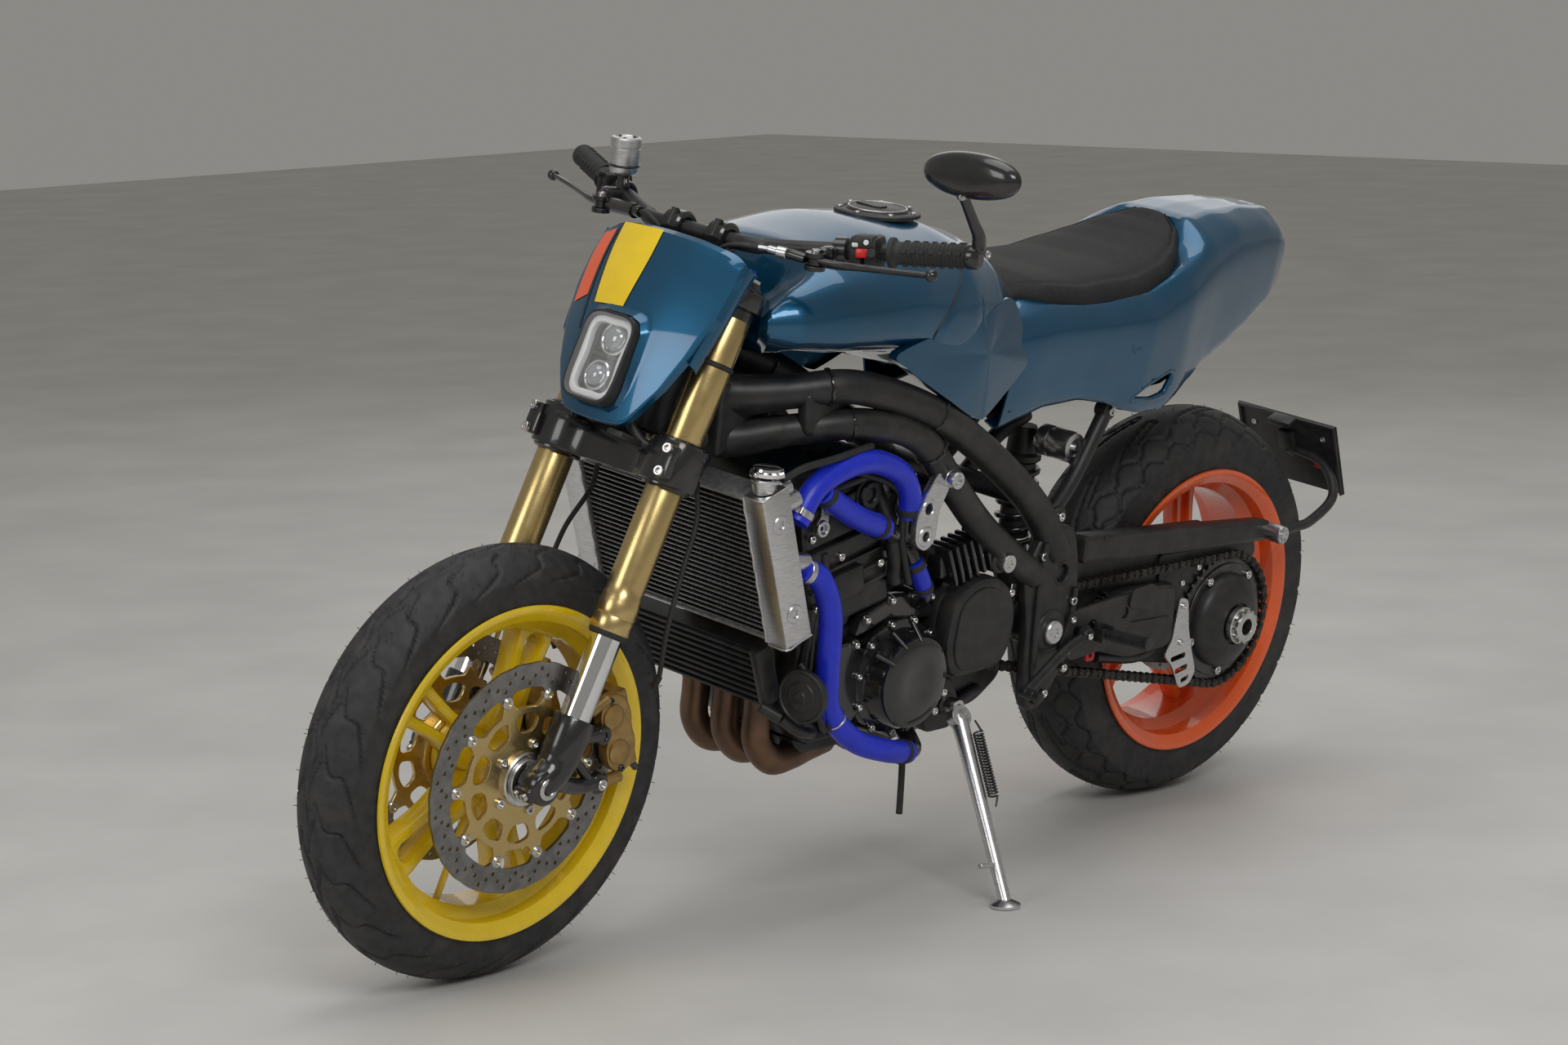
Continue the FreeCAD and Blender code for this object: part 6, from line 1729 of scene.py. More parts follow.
def radiator():
    """Core of flat tubes and folded fins between two welded end tanks."""
    turn = Matrix.Rotation(CORE_TILT, 4, "Y")
    dark = Piece("radiator_core", "black_satin", "chassis")
    dark.box(core(23, 0, 110), (26, 326, 214), turn)
    dark.done(slot="black_satin")
    tubes = Piece("radiator_tubes", "fin_metal", "chassis")
    for k in range(27):
        tubes.box(core(21, 0, 6 + k * 8.0), (38, 328, 1.9), turn, 0.7)
    tubes.box(core(20, 0, 1), (44, 330, 3), turn, 1)
    tubes.box(core(20, 0, 218), (44, 330, 3), turn, 1)
    tubes.done(slot="bare_aluminium")
    fins = Piece("radiator_fins", "dark_steel", "chassis")
    for row in range(26):
        zig = []
        for k in range(110):
            y = -162 + k * 2.97
            zig.append(core(3 if row % 2 else 4, y, 7.6 + row * 8.0 + (5.4 if k % 2 else 0)))
        back = [p + Vector((-30 * math.cos(CORE_TILT), 0, 30 * math.sin(CORE_TILT))) for p in zig]
        fins.grid([zig, back])
    fins.done(slot="black_satin")
    tank = Piece("radiator_tanks", "brushed_aluminium", "chassis")
    weld = Piece("radiator_welds", "bare_aluminium", "chassis")
    for side in SIDES:
        tank.box(core(21, side * 185, 109), (50, 40, 230), turn, 3)
        for depth in (-3.5, 45.5):
            weld.tube([core(depth, side * (166 + 0.8 * math.sin(k)), k * 4.6 - 4) for k in range(50)], 1.7,
                      steps=8, smooth=1)
        for down in (-6, 224):
            weld.tube([core(d, side * (166 + 38 * s), down) for d,
                       s in ((-4, 0.1), (-4, 1), (20, 1), (46, 1))], 1.6, steps=8,
                      smooth=3)
        for down in (40, 178):
            weld.ring(core(20, side * 204, down), (0, side, 0), 14, 5, 0, 3.5, edge=1.6, steps=28)
    tank.tube([core(21, 184, -8), core(21, 184, -24)], 17, smooth=0, steps=32)
    tank.ring(core(21, 184, -8), UPWARD, 20, 16, 10, 16, edge=1.5)
    for place, along in ((core(52, 186, 26), (-40, 0, 10)), (core(50, 188, 112), (-46, 2, -16)),
                         (core(52, 176, 8), (-34, 0, 4))):
        tank.rod(place + Vector((10, 0, -3)), place + Vector(along) * 0.5, 14)
    tank.rod(core(24, 196, -28), core(40, 206, -28), 5)
    tank.done(slot="bare_aluminium")
    weld.done(slot="bare_aluminium")
    cap = Piece("radiator_cap_turned", "chrome", "coolant_cap")
    base = Vector(core(21, 165 + 18, 0)) + Vector((0, 0, 26))
    cap.lathe([(0, 0), (20, 0), (23, 2), (23, 7), (20, 9), (19, 12.5), (16, 13.5), (0, 13.8)], base, UPWARD,
              48)
    for way in (-1, 1):
        cap.box(base + Vector((way * 23, 0, 5)), (10, 13, 7), None, 2.4)
    cap.done("radiator_cap", slot="bare_aluminium")
    cooler = Piece("oil_cooler", "black_satin", "chassis")
    turn = Matrix.Rotation(math.radians(20), 4, "Y")
    for k in range(9):
        middle = Vector((1016 + 15 + k * 3.2, 0, 358 + k * 9.6))
        cooler.box(middle, (34, 250, 4.2), turn, 1.2)
        cooler.box(middle + Vector((1, 0, 4.6)), (27, 244, 2.2), turn)
    for side in SIDES:
        cooler.box(Vector((1046, side * 128, 396)), (32, 16, 90), turn, 4)
    cooler.rod((1050, 128, 350), (1030, 150, 336), 9)
    cooler.tube([(1030, 150, 336), (1004, 160, 316), (972, 158, 306)], 8)
    cooler.done("radiator", slot="black_satin")


HOSES = [([(1074, 186, 633), (1040, 184, 676), (980, 182, 698), (920, 178, 698), (858, 172, 674),
           (826, 166, 640),
           (814, 158, 604)], 17),
         ([(1060, 190, 567), (1022, 192, 547), (992, 190, 490), (975, 180, 400), (955, 172, 340),
           (900, 173, 288),
           (830, 173, 260), (765, 158, 242)], 17),
         ([(1020, 176, 668), (975, 172, 640), (920, 166, 612), (862, 157, 590)], 17),
         ([(792, 158, 532), (775, 158, 508), (756, 153, 482)], 13)]


def hoses():
    """Blue silicone hoses with steel worm clamps and black straps."""
    item = Piece("silicone_hoses", "blue_silicone", "chassis")
    steel = Piece("hose_clamps", "machined_steel", "chassis")
    straps = Piece("hose_straps", "black_rubber", "chassis")
    for number, (route, radius) in enumerate(HOSES):
        item.tube(route, radius, steps=28, smooth=12)
        path = smooth_path(route, 12)
        for end, step in ((0, 1), (len(path) - 1, -1)):
            k = end + step * 3
            direction = (path[k + 1] - path[k - 1]).normalized()
            target = steel if number in (0, 1) and end == 0 else straps
            target.ring(path[k], direction, radius + 1.6, radius - 1, -5, 5, edge=0.6, steps=36)
            out = direction.orthogonal().normalized()
            target.rod(path[k] + out * (radius + 3) - direction * 5,
                       path[k] + out * (radius + 3) + direction * 5, 3.4)
        if number == 1:
            k = int(len(path) * 0.60)
            steel.ring(path[k], (path[k + 1] - path[k - 1]), radius + 1.4, radius - 1, -1.6, 1.6, edge=0.4,
                       steps=36)
    item.done("coolant_hoses", slot="blue_silicone")
    steel.done(slot="steel")
    straps.done(slot="rubber")
    stubs = Piece("hose_stubs", "engine_gloss", "chassis")
    stubs.rod((862, 157, 590), (830, 146, 574), 15)
    stubs.tube([(814, 158, 604), (808, 150, 580), (806, 138, 560)], 14)
    stubs.tube([(792, 158, 532), (800, 150, 548), (806, 138, 556)], 11)
    stubs.tube([(756, 153, 482), (748, 146, 468), (744, 130, 456)], 11)
    stubs.tube([(765, 158, 242), (745, 150, 244), (735, 120, 262)], 14)
    stubs.done(slot="engine_black")


def horn():
    item = Piece("horn_disc", "black_plastic", "chassis")
    back = Vector((1004, 178, 376))
    axis = Vector((30, 6, 0)).normalized()
    item.lathe([(0, 0), (14, 0), (16, 8), (30, 12), (37, 14), (38, 18), (38, 24), (35, 26), (33, 24),
                (22, 25), (20, 27), (9, 28),
                (7, 30), (0, 30)], back, axis, 56)
    item.tube([(1004, 178, 376), (996, 168, 392), (1000, 150, 410)], 5)
    item.done("horn", slot="black_satin")
    wire = Piece("horn_wires", "black_rubber", "chassis")
    wire.tube([(1002, 182, 368), (992, 190, 336), (972, 180, 318), (950, 170, 316)], 4.5)
    wire.tube([(1004, 172, 384), (1006, 176, 430), (1012, 182, 470), (1010, 186, 520)], 2.2)
    wire.rod((964, 176, 318), (944, 170, 314), 7)
    wire.done(slot="rubber")


# ---------------------------------------------------------------- engine, in the bike frame
def engine():
    """Three-cylinder engine: crankcase with ribs, barrels and head with fins, covers and bolts."""
    case = Piece("crankcase_cast", "engine_black", "chassis", angle=35)
    outline = rounded([(560, 262), (500, 300), (500, 405), (575, 455), (700, 500), (800, 470), (962, 440),
                       (956, 400),
                       (950, 300), (926, 262)], 22)
    case.plate(outline, 232, side_matrix(-14), bevel=7)
    for x in (600, 660, 720, 850, 900):
        case.box((x, -12, 262), (7, 200, 14), None, 2.5)
    sump = rounded([(600, 236), (900, 236), (926, 264), (570, 264)], 12)
    case.plate(sump, 170, side_matrix(-10), bevel=6)
    for x, z in ((820, 455), (880, 448), (930, 380), (925, 320), (890, 284)):
        case.rod((x, 96, z), (x, 116, z), 9)
    case.tube([(936, 100, 430), (944, 104, 380), (938, 104, 320), (905, 100, 280)], 9)
    case.tube([(560, 106, 290), (620, 110, 276), (690, 112, 268)], 8)
    case.done("crankcase", slot="engine_black")
    barrels()
    covers()


def barrels():
    item = Piece("cylinder_block_cast", "engine_black", "chassis", angle=35)
    lower = rounded([(800, 470), (962, 440), (984, 540), (832, 572)], 12)
    item.plate(lower, 258, side_matrix(0), bevel=6)
    for k in range(3):
        lift = 8 + k * 7
        item.plate(rounded([(820 + k * 2, 484 + lift * 3.2), (968 + k * 5, 452 + lift * 3.2),
                            (969 + k * 5, 456 + lift * 3.2),
                            (821 + k * 2, 488 + lift * 3.2)], 1), 272, side_matrix(0), bevel=0.8)
    item.plate(rounded([(826, 566), (984, 534), (992, 560), (832, 596)], 8), 274, side_matrix(0), bevel=4)
    item.plate(rounded([(832, 590), (994, 556), (1010, 636), (996, 664), (872, 698), (846, 686)], 16), 262,
               side_matrix(0),
               bevel=9)
    item.plate(rounded([(846, 640), (1004, 606), (1006, 622), (850, 656)], 6), 276, side_matrix(0), bevel=4)
    for y in (-62, 0, 62):
        item.rod((992, y, 596), (1014, y, 602), 27)
        item.rod((908, y, 670), (912, y, 694), 22)
    for side in SIDES:
        item.rod((880, side * 120, 636), (880, side * 140, 636), 26)
        item.ring((880, 0, 636), (0, side, 0), 20, 10, 134, 145, edge=2)
        item.tube([(940, side * 132, 470), (948, side * 134, 520), (958, side * 133, 560)], 8)
        item.box((900, side * 134, 508), (60, 10, 44), Matrix.Rotation(0.2, 4, "Y"), 4)
    item.tube([(846, 120, 640), (838, 142, 590), (820, 146, 540), (808, 138, 500)], 11)
    item.tube([(960, 136, 650), (900, 146, 668), (850, 140, 676)], 8)
    item.done("cylinder_block", slot="engine_black")
    bolts = Piece("head_bolts", "machined_steel", "chassis")
    for side in SIDES:
        for x, z in ((850, 600), (846, 668), (905, 682), (975, 660), (988, 585), (925, 552), (842, 532),
                     (965, 480)):
            bolts.bolt((x, side * 137, z), (0, side, 0), 6, 5)
    bolts.done(slot="steel")
    link = Piece("head_breather_plate", "bare_aluminium", "chassis")
    link.plate(rounded([(968, 588), (984, 592), (986, 606), (976, 618), (978, 634), (966, 640), (960, 626),
                        (962, 604)], 6), 4,
               side_matrix(141), holes=[(974, 600, 3)], bevel=0.8)
    link.ring((974, 141, 600), (0, 1, 0), 12, 7, 0, 6, edge=1)
    link.done(slot="bare_aluminium")
    wiring = Piece("engine_wiring", "black_rubber", "chassis")
    wiring.tube([(990, 150, 690), (920, 156, 676), (840, 160, 640), (820, 158, 560), (800, 160, 500)], 5)
    wiring.tube([(1120, 196, 700), (1080, 196, 712), (1010, 190, 716), (930, 180, 722)], 5)
    wiring.tube([(700, 120, 520), (740, 132, 540), (790, 136, 560)], 6)
    wiring.done(slot="rubber")


def covers():
    """Alternator cover, sprocket cover, finned block, and the clutch cover on the right."""
    item = Piece("engine_covers_cast", "engine_gloss", "chassis", angle=35)
    centre = Vector((774, 0, 351))
    item.lathe([(0, 110), (84, 110), (86, 114), (86, 128), (84, 131), (73, 133), (71, 137), (71, 160),
                (67, 169), (60, 173),
                (30, 175), (26, 173.5), (0, 173.5)], centre, (0, 1, 0), 72)
    for k in range(11):
        angle = 2 * math.pi * k / 11 + 0.15
        item.rod(centre + Vector((84 * math.cos(angle), 112, 84 * math.sin(angle))),
                 centre + Vector((84 * math.cos(angle), 133, 84 * math.sin(angle))), 8.5, tip=7.5)
    for k in range(3):
        angle = 0.6 + k * 0.5
        item.tube([centre + Vector((62 * math.cos(angle), 171, 62 * math.sin(angle))),
                   centre + Vector((84 * math.cos(angle), 150, 84 * math.sin(angle)))], 4, smooth=0)
    item.plate(rounded([(840, 400), (880, 420), (935, 410), (945, 360), (930, 310), (880, 290), (845, 300)],
                       14), 22,
               side_matrix(120), bevel=6)
    item.plate(rounded([(700, 430), (720, 470), (790, 476), (860, 450), (870, 420), (800, 440), (730, 430)],
                       10), 20,
               side_matrix(120), bevel=5)
    for x, z in ((868, 412), (926, 402), (936, 356), (922, 316), (884, 298), (716, 462), (756, 470),
                 (800, 468), (850, 446)):
        item.rod((x, 112, z), (x, 132, z), 10, tip=8.5)
    item.rod((743, 132, 300), (743, 132, 262), 7)
    item.done("engine_covers", slot="engine_black")
    side_cover = Piece("sprocket_cover_cast", "black_satin", "chassis", angle=35)
    outline = rounded([(575, 345), (557, 424), (590, 480), (650, 492), (705, 460), (712, 380), (690, 340)],
                      34, 8)
    side_cover.plate(outline, 34, side_matrix(151), bevel=9)
    side_cover.plate(rounded([(588, 358), (572, 422), (600, 466), (648, 478), (690, 452), (698, 384),
                              (682, 352)], 30, 8), 6,
                     side_matrix(168), bevel=2.5)
    side_cover.plate(rounded([(655, 345), (655, 480), (705, 460), (712, 380), (690, 340)], 16), 26,
                     side_matrix(125), bevel=3)
    side_cover.done(slot="engine_black")
    finned = Piece("finned_block", "engine_gloss", "chassis", angle=35)
    for k in range(6):
        finned.box((628 + k * 15, 136, 524 - k * 3), (7, 46, 62), Matrix.Rotation(0.42, 4, "Y"), 2)
    finned.box((666, 128, 512), (96, 30, 40), Matrix.Rotation(0.1, 4, "Y"), 6)
    finned.done(slot="engine_black")
    bolts = Piece("cover_bolts", "machined_steel", "chassis")
    for k in range(11):
        angle = 2 * math.pi * k / 11 + 0.15
        bolts.bolt(centre + Vector((84 * math.cos(angle), 133, 84 * math.sin(angle))), (0, 1, 0), 5, 4.5)
    for x, z in ((868, 412), (926, 402), (936, 356), (922, 316), (884, 298), (716, 462), (756, 470),
                 (800, 468), (850, 446)):
        bolts.bolt((x, 132, z), (0, 1, 0), 5, 4.5)
    bolts.lathe([(0, 176), (6, 176), (6.5, 178), (13, 178), (14, 176), (14, 160)], (601, 0, 506), (0, 1, 0),
                32)
    bolts.lathe([(0, 160), (6, 160), (6.5, 162), (12, 162), (13, 160), (13, 140)], (664, 0, 292), (0, 1, 0),
                32)
    for x, z in ((690, 318), (560, 450), (706, 292)):
        bolts.bolt((x, 150, z), (0, 1, 0), 6, 5)
    bolts.done(slot="steel")
    lugs = Piece("engine_lugs", "black_satin", "chassis")
    lugs.rod((601, 130, 506), (601, 162, 506), 19)
    lugs.rod((664, 105, 292), (664, 142, 292), 17)
    for x, z in ((690, 318), (706, 292)):
        lugs.rod((x, 105, z), (x, 151, z), 10)
    lugs.tube([(560, 140, 450), (572, 146, 440), (590, 146, 420)], 9)
    lugs.plate(rounded([(640, 250), (700, 250), (712, 300), (700, 330), (650, 330), (630, 290)], 14), 30,
               side_matrix(118), bevel=4)
    lugs.done(slot="black_satin")
    right = Piece("clutch_cover_cast", "engine_gloss", "chassis", angle=35)
    right.lathe([(0, 135), (94, 135), (95, 139), (94, 152), (88, 158), (84, 174), (78, 181), (60, 185),
                 (0, 185)],
                (660, 0, 372), (0, -1, 0), 72)
    for k in range(9):
        angle = 2 * math.pi * k / 9
        right.rod((660 + 90 * math.cos(angle), -137, 372 + 90 * math.sin(angle)),
                  (660 + 90 * math.cos(angle), -162, 372 + 90 * math.sin(angle)), 9, tip=7)
    right.lathe([(0, 135), (56, 135), (57, 150), (50, 156), (0, 157)], (820, 0, 350), (0, -1, 0), 56)
    right.done(slot="engine_black")


def exhaust():
    """Three heat-stained header pipes under the engine into a collector and a low silencer."""
    item = Piece("header_pipes", "header_bronze", "chassis")
    steel = Piece("header_rings", "dark_steel", "chassis")
    for index in (-1, 0, 1):
        y = index * 62
        item.tube([(1002, y, 606), (1026, y, 588), (1012, y, 500), (988, y, 400), (984, y, 320),
                   (982, y, 270), (950, y, 234),
                   (900, y * 0.85, 229), (850, y * 0.6, 228), (800, y * 0.4, 228)], 20.5, steps=28, smooth=10)
        steel.ring((1006, y, 604), (0.86, 0, -0.5), 27, 20, -5, 3, edge=1.5)
    item.done("exhaust_headers", slot="header_bronze")
    steel.lathe([(21, 0), (30, 3), (30, 20), (26, 26), (30, 30), (30, 150), (27, 156)], (830, 0, 228),
                (-180, -60, -6), 40)
    steel.done(slot="steel")
    can = Piece("silencer_can", "black_satin", "chassis")
    start = Vector((650, -60, 208))
    along = Vector((-220, -38, -2))
    can.lathe([(22, -24), (30, -20), (49, 0), (50, 4), (50, 200), (48, 208), (46, 210), (44, 222),
               (30, 223), (28, 210),
               (26, 180), (0, 180)], start, along, 56)
    can.ring(start, along, 51.5, 49, 60, 74, edge=1)
    can.done("silencer", slot="black_satin")


# ---------------------------------------------------------------- swing arm, chain and rear suspension
def swing_arm():
    """Single-sided arm: upper beam, hub casting, guard fin and its fittings."""
    item = Piece("swingarm_cast", "black_satin", "swingarm", angle=38)
    item.rod((467, -136, 378), (467, 136, 378), 28, edge=3)
    body = rounded([(490, 352), (486, 404), (400, 470), (-90, 440), (-60, 380), (-70, 290), (0, 238),
                    (130, 262), (330, 300),
                    (440, 338)], 16)
    item.plate(body, 17, side_matrix(108), bevel=4)
    beam = rounded([(376, 462), (374, 506), (250, 498), (-96, 470), (-112, 452), (-96, 436), (120, 446)], 9)
    item.plate(beam, 32, side_matrix(118), bevel=7)
    item.plate(rounded([(330, 492), (330, 500), (60, 484), (60, 476)], 2), 34, side_matrix(118), bevel=2)
    web = rounded([(170, 448), (20, 444), (-70, 442), (-84, 420), (-62, 392), (10, 396), (64, 400),
                   (110, 340), (160, 360)], 14)
    item.plate(web, 16, side_matrix(114), bevel=4)
    axle = (0, 0, REAR_AXLE.z)
    item.lathe([(26, 42), (80, 42), (82, 46), (82, 112), (78, 117), (40, 118), (26, 118)], axle, (0, 1, 0),
               72)
    eye = Vector((385, 0, 378))
    for side in SIDES:
        item.box(eye + Vector((28, side * 22, 0)), (80, 10, 24), None, 3)
    item.rod(eye - Vector((0, 26, 0)), eye + Vector((0, 26, 0)), 6)
    item.done("swingarm", slot="black_satin")
    guard = Piece("chain_guard_cast", "black_satin", "swingarm", angle=38)
    guard.plate(rounded([(128, 296), (132, 400), (252, 408), (320, 396), (338, 372), (330, 318),
                         (240, 292)], 22, 6), 22,
                side_matrix(126), bevel=8)
    guard.plate(rounded([(150, 350), (300, 356), (312, 348), (160, 336)], 5), 5, side_matrix(137), bevel=2)
    guard.tube([(130, 118, 300), (200, 118, 284), (300, 118, 300)], 9, steps=14)
    for k in range(9):
        guard.box((300 + k * 6, 126, 398 - k * 7), (3, 14, 26), Matrix.Rotation(0.7, 4, "Y"), 0.8)
    guard.done(slot="black_satin")
    fin = Piece("slotted_fin", "brushed_aluminium", "swingarm", angle=38)
    outline = rounded([(128, 376), (106, 370), (96, 320), (84, 288), (66, 246), (78, 226), (104, 222),
                       (128, 262), (152, 284),
                       (136, 306), (132, 340)], 9)
    slots = [rounded([(98, 282), (134, 278), (132, 270), (96, 274)], 4),
             rounded([(90, 262), (120, 256), (118, 248), (87, 254)], 4),
             rounded([(82, 242), (102, 238), (100, 231), (84, 235)], 3)]
    fin.plate(outline, 4, side_matrix(137.5), holes=slots, bevel=0.7)
    fin.lathe([(0, 164), (6, 164), (7, 160), (14, 162), (15, 158), (15, 134)], (-94, 0, 452), (0, 1, 0), 36)
    fin.done(slot="bare_aluminium")
    bolts = Piece("swingarm_bolts", "machined_steel", "swingarm")
    for x, z in ((118, 360), (114, 300), (340, 372), (356, 360), (350, 330), (130, 400), (92, 420)):
        bolts.bolt((x, 139, z), (0, 1, 0), 5, 4)
    for k in range(8):
        angle = 2 * math.pi * k / 8
        bolts.rod((-94 + 10.5 * math.cos(angle), 162, 452 + 10.5 * math.sin(angle)),
                  (-94 + 10.5 * math.cos(angle), 163.4, 452 + 10.5 * math.sin(angle)), 1.6, steps=10)
    bolts.done(slot="steel")
    red = Piece("swingarm_red_plate", "red_plastic", "swingarm")
    red.plate(rounded([(330, 306), (352, 306), (350, 356), (334, 356)], 7), 5, side_matrix(139),
              holes=[(341, 316, 4), (341, 346, 4)],
              bevel=1.2)
    red.rod((341, 128, 330), (341, 138, 330), 12)
    red.done(slot="red_plastic")


def chain():
    """Two rows of side plates with rollers, laid round both sprockets."""
    item = Piece("drive_chain", "chain_steel", "swingarm", angle=40)
    rear, front = Vector((0, 0, REAR_AXLE.z)), Vector((590, 0, 385))
    big, small = 106.2, 45.7
    gap = front - rear
    slope, spread_angle = math.atan2(gap.z, gap.x), math.acos((big - small) / gap.length)
    up, down = slope + spread_angle, slope - spread_angle
    loop = []
    corner = [(rear, big, up), (front, small, up), (front, small, down), (rear, big, down)]
    ends = [c + Vector((math.cos(a), 0, math.sin(a))) * r for c, r, a in corner]
    loop += [ends[0].lerp(ends[1], k / 60) for k in range(60)]
    loop += [front + Vector((math.cos(up + (down - up) * k / 30), 0,
                             math.sin(up + (down - up) * k / 30))) * small for k in range(30)]
    loop += [ends[2].lerp(ends[3], k / 60) for k in range(60)]
    turn = 2 * math.pi - (up - down)
    loop += [rear + Vector((math.cos(down - turn * k / 60), 0, math.sin(down - turn * k / 60))) * big
             for k in range(60)]
    loop.append(loop[0])
    lengths = np.cumsum([0] + [(b - a).length for a, b in zip(loop, loop[1:])])
    count = int(lengths[-1] / 15.875 / 2) * 2

    def at(where):
        where %= lengths[-1]
        k = min(int(np.searchsorted(lengths, where, side="right")) - 1, len(loop) - 2)
        return loop[k].lerp(loop[k + 1], (where - lengths[k]) / (lengths[k + 1] - lengths[k]))

    pitch = lengths[-1] / count
    for index in range(count):
        a, b = at(index * pitch), at((index + 1) * pitch)
        along = (b - a).normalized()
        matrix = Matrix((along, Vector((-along.z, 0, along.x)), Vector((0, -1, 0)))).transposed().to_4x4()
        outline = []
        for centre, start in ((0, math.pi / 2), (pitch, -math.pi / 2)):
            outline += [(centre + 7.2 * math.cos(start + math.pi * s / 6),
                         7.2 * math.sin(start + math.pi * s / 6)) for s in range(7)]
        outline = outline[:7] + [(pitch / 2, -5)] + outline[7:] + [(pitch / 2, 5)]
        for y in ((-1, 1) if index % 2 else (-0.72, 0.72)):
            place = Matrix.Translation(a + Vector((0, 125 + y * 8.4, 0))) @ matrix
            flat = [place @ Vector((x, z, h)) for h in (-1, 1) for x, z in outline]
            n = len(outline)
            item.add(flat, [tuple(range(n))[::-1], tuple(range(n, 2 * n))] +
                     [(s, (s + 1) % n, n + (s + 1) % n, n + s) for s in range(n)])
        item.rod(a + Vector((0, 114, 0)), a + Vector((0, 136, 0)), 4.6, steps=12)
    made = item.done(slot="chain_steel")
    world = made.matrix_world.copy()
    made.parent = None
    made.matrix_world = world
    del made["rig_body"]
    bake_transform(made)
    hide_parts("chain")
    front_wheel_teeth = Piece("front_sprocket_toothed", "dark_steel", "drive_sprocket")
    outline = []
    for index in range(18):
        for part, radius in ((0, 41), (0.25, 42), (0.5, 49.5), (0.75, 42)):
            angle = 2 * math.pi * (index + part) / 18
            outline.append((590 + radius * math.cos(angle), 385 + radius * math.sin(angle)))
    front_wheel_teeth.plate(outline, 6, side_matrix(125), bevel=0.8)
    front_wheel_teeth.rod((590, 112.5, 385), (590, 131, 385), 12)
    front_wheel_teeth.done("front_sprocket", slot="chain_steel")


def shock():
    body = Piece("shock_body_turned", "black_satin", "chassis")
    body.lathe([(8, 475), (22, 476), (23, 480), (23, 592), (30.5, 598), (31, 606), (24, 610), (22, 640),
                (20, 650), (0, 650)],
               (385, 0, 0), UPWARD, 48)
    for k in range(12):
        body.ring((385, 0, 0), UPWARD, 23.8, 22, 560 + k * 2.6, 561.3 + k * 2.6, edge=0.3, steps=40)
    body.tube([(385, 6, 640), (386, 24, 640), (387, 46, 638)], 9)
    body.done("shock_body", slot="black_satin")
    can = Piece("shock_reservoir", "brushed_aluminium", "chassis")
    can.lathe([(0, 40), (22, 40), (24, 43), (24, 60), (22.6, 62), (24, 64), (24, 98), (22, 103), (14, 104),
               (12, 101), (0, 101)],
              (387, 0, 638), (0, 1, 0), 48)
    can.rod((387, 101, 638), (387, 106, 638), 5)
    can.rod((380, 90, 618), (372, 108, 600), 6)
    can.done(slot="bare_aluminium")
    shaft = Piece("shock_shaft_turned", "chrome", "shock_rod")
    shaft.rod((385, 0, 392), (385, 0, 590), 7)
    shaft.done(slot="chrome")
    seat_low = Piece("shock_lower_eye", "black_satin", "shock_rod")
    seat_low.lathe([(8, 400), (20, 404), (30, 432), (31, 435), (31, 441), (8, 441)], (385, 0, 0), UPWARD, 40)
    seat_low.ring((385, 0, 378), (0, 1, 0), 14, 8, -12, 12, edge=1.5)
    seat_low.done("shock_shaft", slot="black_satin")
    coil = Piece("shock_coil", "black_gloss", "chassis")
    turns, points = 7, []
    for k in range(turns * 16 + 1):
        angle = 2 * math.pi * k / 16
        points.append((385 + 27.5 * math.cos(angle), 27.5 * math.sin(angle), 446 + 149 * k / (turns * 16)))
    coil.tube(points, 4.6, steps=12, smooth=1)
    spring = coil.done(slot="black_gloss")
    world = spring.matrix_world.copy()
    spring.parent = None
    spring.matrix_world = world
    del spring["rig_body"]
    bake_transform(spring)
    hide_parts("shock_spring")


